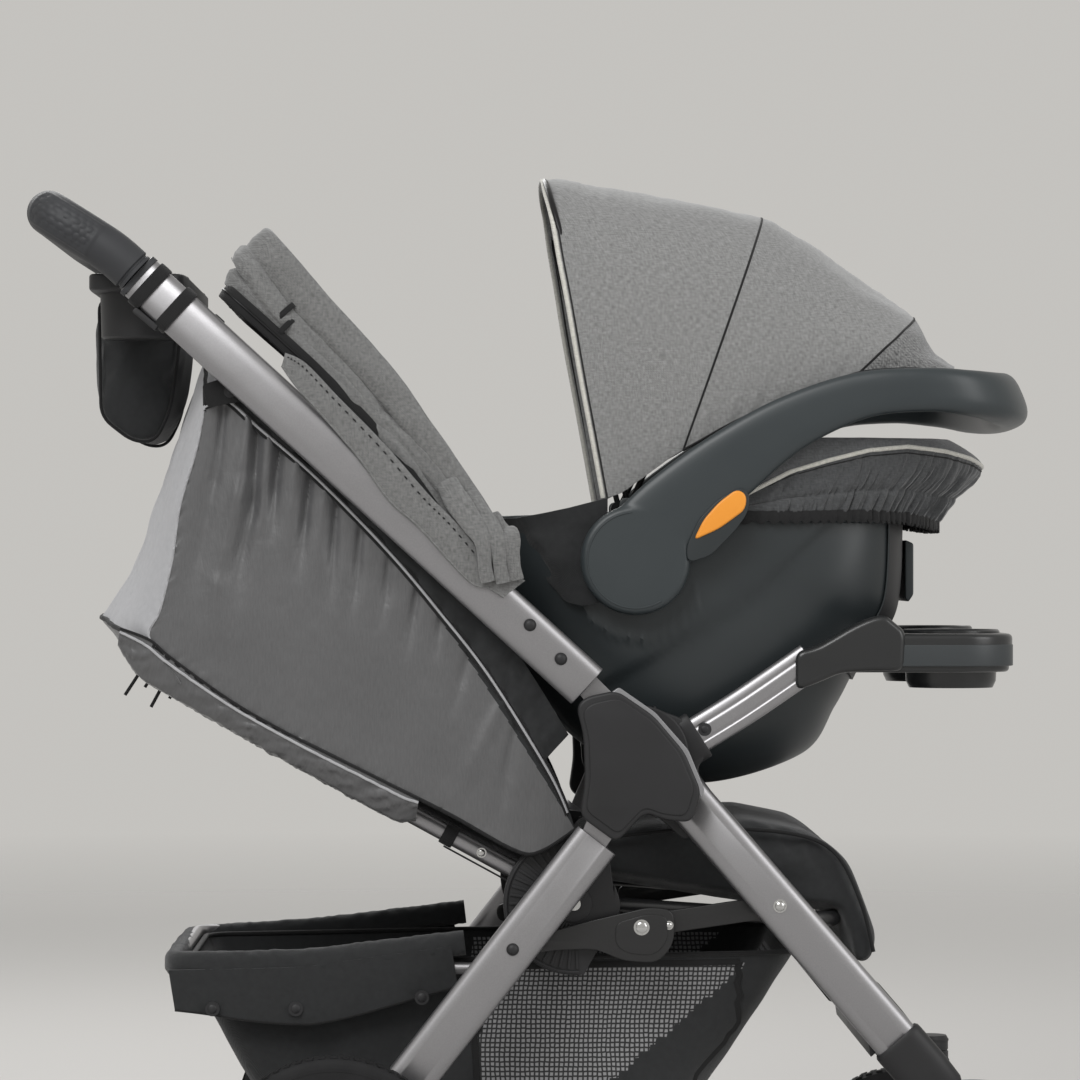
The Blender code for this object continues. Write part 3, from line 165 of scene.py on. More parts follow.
def satin_anodised_aluminium():
    """Anodised aluminium: drawn and etched, so a fine lengthwise grain blurs its reflections."""
    made, tree, shader = painted("satin_anodised_aluminium", {"Metallic": 0.85, "Roughness": 0.36})
    where = add(tree, "ShaderNodeTexCoord")
    speckle = add(tree, "ShaderNodeTexNoise", (),
                  {"Vector": where.outputs["Object"], "Scale": 900.0, "Detail": 2.0})
    tint = add(tree, "ShaderNodeMix", {"data_type": "RGBA"},
               {0: speckle.outputs["Fac"], 6: linear("#929193"), 7: linear("#a3a2a4")})
    tree.links.new(tint.outputs[2], shader.inputs["Base Color"])
    cloudy = add(tree, "ShaderNodeTexNoise", (),
                 {"Vector": where.outputs["Object"], "Scale": 35.0, "Detail": 3.0})
    worn = add(tree, "ShaderNodeMapRange", (), {0: cloudy.outputs["Fac"], 3: 0.32, 4: 0.42})
    tree.links.new(worn.outputs[0], shader.inputs["Roughness"])
    etched = add(tree, "ShaderNodeBump", (),
                 {"Strength": 0.10, "Distance": 0.0002, "Height": speckle.outputs["Fac"]})
    tree.links.new(etched.outputs[0], shader.inputs["Normal"])
    return made


ALUMINIUM = satin_anodised_aluminium()


def frozen(piece, sharp=35):
    """The piece as a plain mesh at the origin, with its modifiers and its place in the mesh."""
    bpy.context.view_layer.update()
    graph = bpy.context.evaluated_depsgraph_get()
    finishes = [slot.material for slot in piece.material_slots]
    mesh = bpy.data.meshes.new_from_object(piece.evaluated_get(graph))
    mesh.transform(piece.matrix_world)
    name = piece.name
    bpy.data.objects.remove(piece, do_unlink=True)
    work = bmesh.new()
    work.from_mesh(mesh)
    bmesh.ops.remove_doubles(work, verts=work.verts, dist=0.00001)
    bmesh.ops.recalc_face_normals(work, faces=work.faces)
    work.to_mesh(mesh)
    work.free()
    mesh.name = name
    slots = [min(face.material_index, len(finishes) - 1) for face in mesh.polygons]
    mesh.materials.clear()
    for finish in finishes:
        mesh.materials.append(finish)
    mesh.polygons.foreach_set("material_index", slots)
    mesh.shade_smooth()
    mesh.set_sharp_from_angle(angle=math.radians(sharp))
    return linked(name, mesh)


def swept(name, path, section, finish, closed=False, up=Vector((0, 1, 0))):
    """A closed section carried along a path; section(share) gives points across and along up.

    The UV map holds metres along the path and metres round the section.
    """
    places = [Vector(point) for point in path]
    count = len(places)
    lengths = [0.0]
    for before, after in zip(places, places[1:]):
        lengths.append(lengths[-1] + (after - before).length)
    rings = []
    guide = up.copy()
    for index, spot in enumerate(places):
        before = places[index - 1] if index or closed else spot
        after = places[(index + 1) % count] if index < count - 1 or closed else spot
        way = (after - before).normalized()
        guide = (guide - way * guide.dot(way)).normalized()
        across = way.cross(guide).normalized()
        shape = section(lengths[index] / lengths[-1])
        rings.append([spot + across * a + guide * b for a, b in shape])
    size = len(rings[0])
    mesh = bpy.data.meshes.new(name)
    work = bmesh.new()
    wrap = work.loops.layers.uv.new("wrap")
    rows = [[work.verts.new(point) for point in ring] for ring in rings]
    girth = [0.0]
    for index in range(size):
        girth.append(girth[-1] + (rings[0][(index + 1) % size] - rings[0][index]).length)
    last = count if closed else count - 1
    for index in range(last):
        following = (index + 1) % count
        for turn in range(size):
            after = (turn + 1) % size
            face = work.faces.new((rows[index][turn], rows[index][after], rows[following][after],
                                   rows[following][turn]))
            far = lengths[following] if following else lengths[-1]
            spots = ((lengths[index], girth[turn]), (lengths[index], girth[turn + 1]),
                     (far, girth[turn + 1]), (far, girth[turn]))
            for loop, spot in zip(face.loops, spots):
                loop[wrap].uv = spot
    if not closed:
        work.faces.new(rows[0])
        work.faces.new(rows[-1])
    bmesh.ops.recalc_face_normals(work, faces=work.faces)
    work.to_mesh(mesh)
    work.free()
    mesh.materials.append(finish)
    mesh.shade_smooth()
    mesh.set_sharp_from_angle(angle=math.radians(40))
    return linked(name, mesh)


def oval(width, thickness, count=36, square=2.6):
    """A closed rounded section, width across and thickness along the guide."""
    out = []
    for index in range(count):
        a = 2 * math.pi * index / count
        ca = math.copysign(abs(math.cos(a)) ** (2 / square), math.cos(a))
        sa = math.copysign(abs(math.sin(a)) ** (2 / square), math.sin(a))
        out.append((width / 2 * ca, thickness / 2 * sa))
    return out


TUBE_WIDE = 0.046
TUBE_THICK = 0.024
LEG_Y = 0.238
TUBE_Y = 0.264
FRONT_LEG = ((0.0420, -0.0380), (0.2860, -0.3200))
tube_section = oval(TUBE_WIDE, TUBE_THICK, 48, 3.0)


def frame_tube(name, start, end, y):
    """Straight oval tube with a slightly rounded cut at each end."""
    cut = 0.0012
    stops = (0.0, 0.0006, cut, 0.5, 1 - cut, 1 - 0.0006, 1.0)
    shrink = (0.94, 0.985, 1.0, 1.0, 1.0, 0.985, 0.94)
    first = side(*start, y)
    last = side(*end, y)
    path = [first.lerp(last, stop) for stop in stops]

    def section(share):
        nearest = min(range(len(stops)), key=lambda index: abs(stops[index] - share))
        return [(a * shrink[nearest], b * shrink[nearest]) for a, b in tube_section]

    return swept(name, path, section, ALUMINIUM)


def rivet_tree():
    """Dome rivets on washers: one on each point of the mesh, heads facing the sides."""
    tree = bpy.data.node_groups.new("dome_rivets", "GeometryNodeTree")
    tree.is_modifier = True
    tree.interface.new_socket("Places", in_out="INPUT", socket_type="NodeSocketGeometry")
    for size in ("Head radius", "Head height", "Washer radius", "Washer thickness"):
        tree.interface.new_socket(size, in_out="INPUT", socket_type="NodeSocketFloat")
    tree.interface.new_socket("Finish", in_out="INPUT", socket_type="NodeSocketMaterial")
    tree.interface.new_socket("Rivets", in_out="OUTPUT", socket_type="NodeSocketGeometry")
    given = add(tree, "NodeGroupInput")
    size = add(tree, "ShaderNodeCombineXYZ", (),
               {0: given.outputs["Head radius"], 1: given.outputs["Head height"],
                                                  2: given.outputs["Head radius"]})
    ball = add(tree, "GeometryNodeMeshUVSphere", (), {"Segments": 20, "Rings": 12, "Radius": 1.0})
    head = add(tree, "GeometryNodeTransform", (),
               {"Geometry": ball.outputs["Mesh"], "Scale": size.outputs[0]})
    disc = add(tree, "GeometryNodeMeshCylinder", (),
               {"Vertices": 24, "Radius": given.outputs["Washer radius"],
                                                      "Depth": given.outputs["Washer thickness"]})
    flat = add(tree, "GeometryNodeTransform", (), {"Geometry": disc.outputs["Mesh"],
                                                   "Rotation": (math.radians(90), 0, 0)})
    both = add(tree, "GeometryNodeJoinGeometry")
    tree.links.new(head.outputs[0], both.inputs[0])
    tree.links.new(flat.outputs[0], both.inputs[0])
    spread = add(tree, "GeometryNodeInstanceOnPoints", (), {"Points": given.outputs["Places"],
                                                            "Instance": both.outputs[0]})
    real = add(tree, "GeometryNodeRealizeInstances", (), {0: spread.outputs[0]})
    smooth = add(tree, "GeometryNodeSetShadeSmooth", (), {"Geometry": real.outputs[0]})
    dressed = add(tree, "GeometryNodeSetMaterial", (), {"Geometry": smooth.outputs[0],
                                                        "Material": given.outputs["Finish"]})
    add(tree, "NodeGroupOutput", (), {0: dressed.outputs[0]})
    return tree


RIVET_TREE = rivet_tree()


def grown(name, places, tree, values):
    """An object whose geometry nodes build on a few points, with the tree's inputs set by name."""
    mesh = bpy.data.meshes.new(name)
    mesh.from_pydata([tuple(place) for place in places], [], [])
    mesh.materials.append(values["Finish"])
    piece = linked(name, mesh)
    maker = piece.modifiers.new(name, "NODES")
    maker.node_group = tree
    for item in tree.interface.items_tree:
        if item.name in values:
            maker[item.identifier] = values[item.name]
    return piece


def rivets(name, places, finish, body, head=0.0055, height=0.0030, washer=0.0075, washer_thick=0.0016):
    """A plain mesh of rivets at the places, riding on one body."""
    values = {"Head radius": head, "Head height": height, "Washer radius": washer,
              "Washer thickness": washer_thick, "Finish": finish}
    made = frozen(grown(name, places, RIVET_TREE, values))
    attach(made, body)


def hazy_metal(name, metallic, colour, scale, low, high):
    """A metal or metallic paint that a fine haze blurs unevenly, between two roughnesses."""
    made, tree, shader = painted(name, {"Metallic": metallic, "Roughness": (low + high) / 2,
                                        "Base Color": linear(colour)})
    where = add(tree, "ShaderNodeTexCoord")
    haze = add(tree, "ShaderNodeTexNoise", (), {"Vector": where.outputs["Object"], "Scale": scale})
    blur = add(tree, "ShaderNodeMapRange", (), {0: haze.outputs["Fac"], 3: low, 4: high})
    tree.links.new(blur.outputs[0], shader.inputs["Roughness"])
    return made


# Zinc-plated steel: bright, a little blurred, as on the polished leg rivets.
ZINC = hazy_metal("zinc_plated_steel", 1.0, "#c9c9c8", 400.0, 0.14, 0.26)
for label, sign in SIDES:
    leg = frame_tube("front_leg_tube_" + label, *FRONT_LEG, sign * LEG_Y)
    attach(leg, "front_frame")
    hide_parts("front_leg_" + label)
leg_face = LEG_Y + TUBE_THICK / 2
rivets("front_leg_rivets", [side(0.1378, -0.1487, sign * leg_face) for label, sign in SIDES], ZINC,
       "front_frame",
       0.0052, 0.0032, 0.0068)


# The castor sockets and swivelling forks: glass-filled nylon, injection moulded with a fine
# spark-eroded grain, so they look matt black. Each fork turns on a stem in its socket and
# carries its wheel on a pin behind the stem.
def moulded(name, sockets, patches, colours, grain, shine=None):
    """A moulded plastic: patches of two close colours, a shine that follows them and a fine grain.

    patches is a scale and a detail; grain is the same with a strength and a depth in metres.
    """
    made, tree, shader = painted(name, sockets)
    where = add(tree, "ShaderNodeTexCoord")
    cloudy = add(tree, "ShaderNodeTexNoise", (), {"Vector": where.outputs["Object"], "Scale": patches[0],
                                                  "Detail": patches[1]})
    tint = add(tree, "ShaderNodeMix", {"data_type": "RGBA"},
               {0: cloudy.outputs["Fac"], 6: linear(colours[0]), 7: linear(colours[1])})
    tree.links.new(tint.outputs[2], shader.inputs["Base Color"])
    if shine:
        dull = add(tree, "ShaderNodeMapRange", (), {0: cloudy.outputs["Fac"], 3: shine[0], 4: shine[1]})
        tree.links.new(dull.outputs[0], shader.inputs["Roughness"])
    pores = add(tree, "ShaderNodeTexNoise", (), {"Vector": where.outputs["Object"], "Scale": grain[0],
                                                 "Detail": grain[1]})
    bumps = add(tree, "ShaderNodeBump", (), {"Strength": grain[2], "Distance": grain[3],
                                             "Height": pores.outputs["Fac"]})
    tree.links.new(bumps.outputs[0], shader.inputs["Normal"])
    return made


# Glass-filled nylon, moulded in a spark-eroded tool: matt, with a grain of about 0.6 mm.
NYLON = moulded("matt_black_nylon", {"Roughness": 0.5, "IOR": 1.5, "Specular IOR Level": 0.42}, (12.0, 4.0),
                ("#1c1c1d", "#29292b"), (1500.0, 2.0, 0.22, 0.0003), (0.42, 0.58))


def beyond(start, end, distance, aside=0.0):
    """A side-view point at a distance from start towards end, shifted to the left of that way."""
    way = Vector((end[0] - start[0], end[1] - start[1])).normalized()
    return (start[0] + way.x * distance - way.y * aside, start[1] + way.y * distance + way.x * aside)


def made_piece(name, points, faces, finish, sharp=35):
    """A mesh piece with merged doubles and faces that point outwards."""
    mesh = bpy.data.meshes.new(name)
    work = bmesh.new()
    corners = [work.verts.new(point) for point in points]
    for face in faces:
        work.faces.new([corners[index] for index in face])
    bmesh.ops.remove_doubles(work, verts=work.verts, dist=0.00001)
    bmesh.ops.recalc_face_normals(work, faces=work.faces)
    work.to_mesh(mesh)
    work.free()
    mesh.materials.append(finish)
    mesh.shade_smooth()
    mesh.set_sharp_from_angle(angle=math.radians(sharp))
    return linked(name, mesh)


def fused(name, pieces):
    """Several meshes as one object, each keeping its own finish."""
    mesh = bpy.data.meshes.new(name)
    work = bmesh.new()
    finishes = []
    for piece in pieces:
        first = len(work.faces)
        work.from_mesh(piece.data)
        work.faces.ensure_lookup_table()
        slots = []
        for finish in piece.data.materials:
            if finish not in finishes:
                finishes.append(finish)
            slots.append(finishes.index(finish))
        for face in work.faces[first:]:
            face.material_index = slots[face.material_index]
        bpy.data.objects.remove(piece, do_unlink=True)
    work.to_mesh(mesh)
    work.free()
    for finish in finishes:
        mesh.materials.append(finish)
    return linked(name, mesh)


SIDE_SHARE = 0.48


def bend(before, corner, after, reach_in, reach_out, steps):
    """The points of a round bend that starts reach_in before a corner and ends reach_out after it."""
    start = corner + (before - corner).normalized() * reach_in
    end = corner + (after - corner).normalized() * reach_out
    shares = [step / steps for step in range(steps + 1)]
    return [start * (1 - t) ** 2 + corner * 2 * t * (1 - t) + end * t ** 2 for t in shares]


def plate_curve(name, outline, thick, edge, finish, holes, steps):
    """A flat outline with holes as a plate with rolled edges, half of it on each side of its plane."""
    curve = bpy.data.curves.new(name, "CURVE")
    curve.dimensions = "2D"
    curve.fill_mode = "BOTH"
    curve.extrude = thick / 2 - edge
    curve.bevel_depth = edge
    curve.bevel_resolution = steps
    curve.offset = -edge
    for loop in (outline, *holes):
        spline = curve.splines.new("POLY")
        spline.points.add(len(loop) - 1)
        for point, spot in zip(spline.points, loop):
            point.co = (spot[0], spot[1], 0.0, 1.0)
        spline.use_cyclic_u = True
    curve.materials.append(finish)
    return linked(name, curve)


def slab(name, outline, y_low, y_high, edge, finish, holes=(), steps=3):
    """A side-view outline as a plate from y_low to y_high with rolled edges."""
    piece = plate_curve(name, outline, abs(y_high - y_low), edge, finish, holes, steps)
    piece.rotation_euler = (math.radians(90), 0, 0)
    piece.location = side(0, 0, (y_low + y_high) / 2)
    return frozen(piece, 30)


def softened(points, radius, steps=6):
    """A closed outline with each corner rounded to about the radius."""
    places = [Vector(point) for point in points]
    out = []
    for before, corner, after in zip(places[-1:] + places, places, places[1:] + places[:1]):
        reach_in = min(radius, (before - corner).length * SIDE_SHARE)
        reach_out = min(radius, (after - corner).length * SIDE_SHARE)
        out += [(spot.x, spot.y) for spot in bend(before, corner, after, reach_in, reach_out, steps)]
    return out


def turned(name, profile, centre, finish, steps=64, upright=False, sharp=35):
    """A ring or disc turned about the lateral axis, or a vertical one; profile is (radius, height)."""
    points = []
    faces = []
    size = len(profile)
    for step in range(steps):
        a = 2 * math.pi * step / steps
        for radius, height in profile:
            if upright:
                points.append(centre + Vector((radius * math.cos(a), radius * math.sin(a), height)))
            else:
                points.append(centre + Vector((radius * math.cos(a), height, radius * math.sin(a))))
    for step in range(steps):
        following = (step + 1) % steps
        for index in range(size):
            after = (index + 1) % size
            if profile[index][0] == 0 and profile[after][0] == 0:
                continue
            corners = [step * size + index, step * size + after, following * size + after,
                       following * size + index]
            if profile[index][0] == 0:
                corners = corners[:3]
            elif profile[after][0] == 0:
                corners = [corners[0], corners[1], corners[3]]
            faces.append(corners)
    return made_piece(name, points, faces, finish, sharp)


CASTER_U = 0.3295
FRONT_AXLE = (0.2925, -0.4460)
FRONT_WHEEL_R = 0.088
FRONT_WHEEL_HALF = 0.014
REAR_WHEEL_R = 0.122
fork_gap = FRONT_WHEEL_HALF + 0.003
fork_arm = softened([(0.2775, -0.4600), (0.2745, -0.4300), (0.2930, -0.3800), (0.3075, -0.3530),
                     (0.3500, -0.3530),
                     (0.3450, -0.3760), (0.3150, -0.4100), (0.3090, -0.4600)], 0.014)
for label, sign in SIDES:
    centre = sign * LEG_Y
    stem_at = side(CASTER_U, 0.0, centre)
    sleeve_start = side(*beyond(*FRONT_LEG, 0.322), centre)
    sleeve_end = side(*beyond(*FRONT_LEG, 0.397), centre)
    stops = (0.0, 0.03, 0.08, 0.55, 0.9, 1.0)
    grow = (0.93, 0.99, 1.0, 1.0, 0.94, 0.80)

    def sleeve_section(share):
        nearest = min(range(len(stops)), key=lambda index: abs(stops[index] - share))
        return [(a * grow[nearest], b * grow[nearest]) for a, b in oval(0.054, 0.032, 48, 2.8)]

    sleeve = swept("sleeve", [sleeve_start.lerp(sleeve_end, stop) for stop in stops], sleeve_section, NYLON)
    boss = turned("boss", [(0, -0.3380), (0.0205, -0.3380), (0.0210, -0.3370), (0.0210, -0.3260),
                           (0.0190, -0.3225),
                           (0, -0.3215)], stem_at, NYLON, 48, True)
    ring = turned("ring", [(0.0205, -0.3290), (0.0216, -0.3285), (0.0216, -0.3265), (0.0205, -0.3260)],
                  stem_at, NYLON, 48, True)
    rib = slab("rib", softened([(0.280, -0.312), (0.318, -0.326), (0.318, -0.334), (0.292, -0.336)], 0.003),
               centre - 0.0045, centre + 0.0045, 0.0012, NYLON)
    socket = fused("castor_socket_" + label, [sleeve, boss, rib, ring])
    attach(socket, "front_frame")
    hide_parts("caster_socket_" + label)

    arms = [slab("arm", fork_arm, centre + (fork_gap if near > 0 else -fork_gap - 0.005),
                 centre + (fork_gap + 0.005 if near > 0 else -fork_gap), 0.0014, NYLON) for near in (-1, 1)]
    crown = slab("crown",
                 softened([(0.3075, -0.3570), (0.3500, -0.3570), (0.3500, -0.3440), (0.3075, -0.3440)],
                          0.005),
                 centre - fork_gap - 0.005, centre + fork_gap + 0.005, 0.0014, NYLON)
    plate = turned("plate", [(0, -0.3510), (0.0200, -0.3510), (0.0212, -0.3495), (0.0212, -0.3400),
                             (0.0200, -0.3385),
                             (0.0078, -0.3385), (0.0078, -0.3250), (0, -0.3250)],
                   stem_at, NYLON, 48, True)
    pin_centre = side(*FRONT_AXLE, centre)
    reach = fork_gap + 0.0055
    pin = turned("pin", [(0, -reach - 0.002), (0.0055, -reach - 0.002), (0.0070, -reach), (0.0045, -reach),
                         (0.0045, reach), (0.0070, reach), (0.0055, reach + 0.002), (0, reach + 0.002)],
                 pin_centre, ZINC, 32)
    fork = fused("castor_fork_" + label, arms + [crown, plate, pin])
    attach(fork, "caster_" + label)
    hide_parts("caster_fork_" + label)


# The wheels: moulded polypropylene rims with five spokes, and tyres of skinned foam with
# a shallow block tread. The rear pair is 244 mm across and the front pair 176 mm.
def moulded_polypropylene(name, low, high, rough, coat=0.0):
    """Moulded polypropylene: even colour with slight flow marks and a soft shine."""
    sockets = {"Roughness": rough, "IOR": 1.49, "Coat Weight": coat, "Coat Roughness": 0.25}
    return moulded(name, sockets, (9.0, 4.0), (low, high), (900.0, 2.0, 0.08, 0.0002),
                   (rough - 0.05, rough + 0.06))


# Skinned EVA foam: dull black with a faint grey bloom and fine pores.
FOAM = moulded("skinned_foam", {"Roughness": 0.8, "IOR": 1.48, "Specular IOR Level": 0.3}, (30.0, 5.0),
               ("#161617", "#2a2a2b"), (1100.0, 3.0, 0.35, 0.0003))
RIM_PLASTIC = moulded_polypropylene("rim_polypropylene", "#3a3a3c", "#4a4a4c", 0.42)
CAP_PLASTIC = moulded_polypropylene("cap_polypropylene", "#9a9a9b", "#a8a8a9", 0.35)


def tread_tree():
    """Tread blocks set round a circle in two staggered rows."""
    tree = bpy.data.node_groups.new("tread_blocks", "GeometryNodeTree")
    tree.is_modifier = True
    for socket, kind, value in (("Radius", "NodeSocketFloat", 0.12), ("Count", "NodeSocketInt", 60),
                                ("Row offset", "NodeSocketFloat", 0.005)):
        tree.interface.new_socket(socket, in_out="INPUT", socket_type=kind).default_value = value
    tree.interface.new_socket("Finish", in_out="INPUT", socket_type="NodeSocketMaterial")
    tree.interface.new_socket("Blocks", in_out="OUTPUT", socket_type="NodeSocketGeometry")
    given = add(tree, "NodeGroupInput")
    block = add(tree, "GeometryNodeMeshCube", (), {"Size": (0.0065, 0.0085, 0.0016)})
    rows = []
    for number, way in enumerate((-1, 1)):
        circle = add(tree, "GeometryNodeCurvePrimitiveCircle", (), {"Radius": given.outputs["Radius"]})
        even = add(tree, "GeometryNodeResampleCurve", (),
                   {"Curve": circle.outputs[0], "Count": given.outputs["Count"]})
        points = add(tree, "GeometryNodeCurveToPoints", {"mode": "EVALUATED"}, {"Curve": even.outputs[0]})
        facing = add(tree, "FunctionNodeAlignEulerToVector", {"axis": "Z"},
                     {"Vector": points.outputs["Normal"]})
        spread = add(tree, "GeometryNodeInstanceOnPoints", (),
                     {"Points": points.outputs[0], "Instance": block.outputs[0],
                                                                "Rotation": facing.outputs[0]})
        shift = add(tree, "ShaderNodeMath", {"operation": "MULTIPLY"},
                    {0: given.outputs["Row offset"], 1: float(way)})
        lift = add(tree, "ShaderNodeCombineXYZ", (), {2: shift.outputs[0]})
        turn = add(tree, "ShaderNodeMath", {"operation": "DIVIDE"},
                   {0: math.pi * number, 1: given.outputs["Count"]})
        spin = add(tree, "ShaderNodeCombineXYZ", (), {2: turn.outputs[0]})
        moved = add(tree, "GeometryNodeTransform", (),
                    {"Geometry": spread.outputs[0], "Translation": lift.outputs[0],
                                                        "Rotation": spin.outputs[0]})
        rows.append(moved)
    both = add(tree, "GeometryNodeJoinGeometry")
    for row in rows:
        tree.links.new(row.outputs[0], both.inputs[0])
    real = add(tree, "GeometryNodeRealizeInstances", (), {0: both.outputs[0]})
    dressed = add(tree, "GeometryNodeSetMaterial", (), {"Geometry": real.outputs[0],
                                                        "Material": given.outputs["Finish"]})
    add(tree, "NodeGroupOutput", (), {0: dressed.outputs[0]})
    return tree


TREAD_TREE = tread_tree()


def tread(centre, radius, count, offset):
    """Tread blocks round a wheel, as a plain mesh in place."""
    values = {"Radius": radius, "Count": count, "Row offset": offset, "Finish": FOAM}
    piece = grown("tread", (), TREAD_TREE, values)
    piece.rotation_euler = (math.radians(90), 0, 0)
    piece.location = centre
    return frozen(piece, 30)


def wheel(label, stem, body, centre, radius, half, bore, tyre_deep, spokes, hub_r):
    """A tyre with its tread and a rim with hub, spokes and caps, both riding on the wheel's body."""
    seat = radius - tyre_deep
    tyre_profile = [(seat, -half * 0.93), (radius - tyre_deep * 0.62, -half),
                    (radius - tyre_deep * 0.34, -half * 0.985),
                    (radius - tyre_deep * 0.15, -half * 0.86), (radius - 0.0024, -half * 0.62),
                    (radius - 0.0010, -half * 0.30), (radius - 0.0006, 0.0)]
    tyre_profile += [(r, -y) for r, y in reversed(tyre_profile[:-1])]
    tyre = turned("tyre", tyre_profile, centre, FOAM, 96, False, 50)
    groove = turned("sidewall_line",
                    [(radius - tyre_deep * 0.60, -half - 0.0004), (radius - tyre_deep * 0.52, -half - 0.0004),
                                      (radius - tyre_deep * 0.52, half + 0.0004),
                     (radius - tyre_deep * 0.60, half + 0.0004)],
                    centre, FOAM, 96)
    whole = fused(stem + "_tyre_piece_" + label,
                  [tyre, groove,
                   tread(centre, radius - 0.0010, int(2 * math.pi * radius / 0.0115), half * 0.36)])
    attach(whole, body)
    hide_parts(stem + "_tyre_" + label)

    band = [(seat - 0.0135, -0.0055), (seat - 0.0110, -half + 0.0030), (seat - 0.0085, -half + 0.0010),
            (seat - 0.0002, -half + 0.0008), (seat - 0.0002, half - 0.0008), (seat - 0.0085, half - 0.0010),
            (seat - 0.0110, half - 0.0030), (seat - 0.0135, 0.0055)]
    pieces = [turned("band", band, centre, RIM_PLASTIC, 96)]
    hub = [(bore + 0.0006, -half), (hub_r - 0.0030, -half), (hub_r, -half + 0.0025), (hub_r + 0.0020, -0.004),
           (hub_r + 0.0020, 0.004), (hub_r, half - 0.0025), (hub_r - 0.0030, half), (bore + 0.0006, half)]
    pieces.append(turned("hub", hub, centre, RIM_PLASTIC, 64))
    for number in range(spokes):
        a = 2 * math.pi * (number + 0.5) / spokes + math.pi / 2
        way = Vector((math.cos(a), 0, math.sin(a)))
        path = [centre + way * (hub_r * 0.7 + (seat - 0.0095 - hub_r * 0.7) * step / 8) for step in range(9)]

        def spoke_section(share):
            waist = 0.62 + 0.38 * (2 * share - 1) ** 2
            return oval(hub_r * 0.78 * waist, 0.0125 - 0.003 * math.sin(math.pi * share), 24, 3.2)

        pieces.append(swept("spoke", path, spoke_section, RIM_PLASTIC))
    cap_r = hub_r * 0.62
    for way in (-1, 1):
        face = way * (half + 0.0004)
        dome = [(bore + 0.0006, face - way * 0.003), (cap_r, face - way * 0.003), (cap_r, face),
                (cap_r * 0.9, face + way * 0.0008), (bore + 0.0006, face + way * 0.0012)]
        pieces.append(turned("cap", dome, centre, CAP_PLASTIC, 48))
    made = fused(stem + "_rim_piece_" + label, pieces)
    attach(made, body)
    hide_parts(stem + "_rim_" + label)


REAR_AXLE = (-0.2990, -0.4120)
REAR_WHEEL_Y = 0.2950
for label, sign in SIDES:
    wheel(label, "rear", "rear_wheel_" + label, side(*REAR_AXLE, sign * REAR_WHEEL_Y), REAR_WHEEL_R, 0.0140,
          0.0090, 0.0243,
          5, 0.0270)
    wheel(label, "front", "front_wheel_" + label, side(*FRONT_AXLE, sign * LEG_Y), FRONT_WHEEL_R,
          FRONT_WHEEL_HALF,
          0.0050, 0.0203, 5, 0.0190)


# The rear legs, axle and brake: oval tube like the front legs, a steel cross axle with a
# nylon bracket at each end, a round aluminium hoop that the basket's far rim hangs on and a
# steel brake bar with a foot pad.
REAR_LEG = ((-0.0425, -0.0830), (-0.2990, -0.4120))
LINK_REAR = (-0.1250, -0.1890)
STUD_BORE = 0.0094


def powder_coated_steel():
    """Powder-coated steel: black with a very fine orange peel."""
    made, tree, shader = painted("powder_coated_steel", {"Roughness": 0.38, "IOR": 1.5, "Coat Weight": 0.15})
    where = add(tree, "ShaderNodeTexCoord")
    peel = add(tree, "ShaderNodeTexNoise", (),
               {"Vector": where.outputs["Object"], "Scale": 500.0, "Detail": 1.0})
    tint = add(tree, "ShaderNodeMix", {"data_type": "RGBA"},
               {0: peel.outputs["Fac"], 6: linear("#151516"), 7: linear("#1e1e1f")})
    tree.links.new(tint.outputs[2], shader.inputs["Base Color"])
    bumps = add(tree, "ShaderNodeBump", (),
                {"Strength": 0.15, "Distance": 0.0003, "Height": peel.outputs["Fac"]})
    tree.links.new(bumps.outputs[0], shader.inputs["Normal"])
    return made


BLACK_STEEL = powder_coated_steel()


def bent(points, radius, steps=8):
    """A path with round bends at its inner points."""
    places = [Vector(point) for point in points]
    out = [places[0]]
    for before, corner, after in zip(places, places[1:], places[2:]):
        reach = min(radius, (before - corner).length * SIDE_SHARE, (after - corner).length * SIDE_SHARE)
        out += bend(before, corner, after, reach, reach, steps)
    return out + [places[-1]]


def strand(name, path, sizes, finish, closed=False, up=Vector((0, 1, 0))):
    """A cord, strap or tube: one oval section, its sizes as oval() takes them, carried along a path."""
    return swept(name, path, lambda share: oval(*sizes), finish, closed, up)


def layer(sign, near, far):
    """Two distances from the middle plane as the lower and upper y of a plate on one side."""
    return (min(sign * near, sign * far), max(sign * near, sign * far))


def arc(centre, radius, start, step, count):
    """A side-view arc of count points, its start and step in degrees."""
    turns = [math.radians(start + step * number) for number in range(count)]
    return [(centre[0] + radius * math.cos(a), centre[1] + radius * math.sin(a)) for a in turns]


SEAM_CORD = (0.0030, 0.0030, 10, 2.0)


def circle(centre, radius, count=40):
    """A round outline."""
    return [(centre[0] + radius * math.cos(2 * math.pi * index / count),
             centre[1] + radius * math.sin(2 * math.pi * index / count)) for index in range(count)]


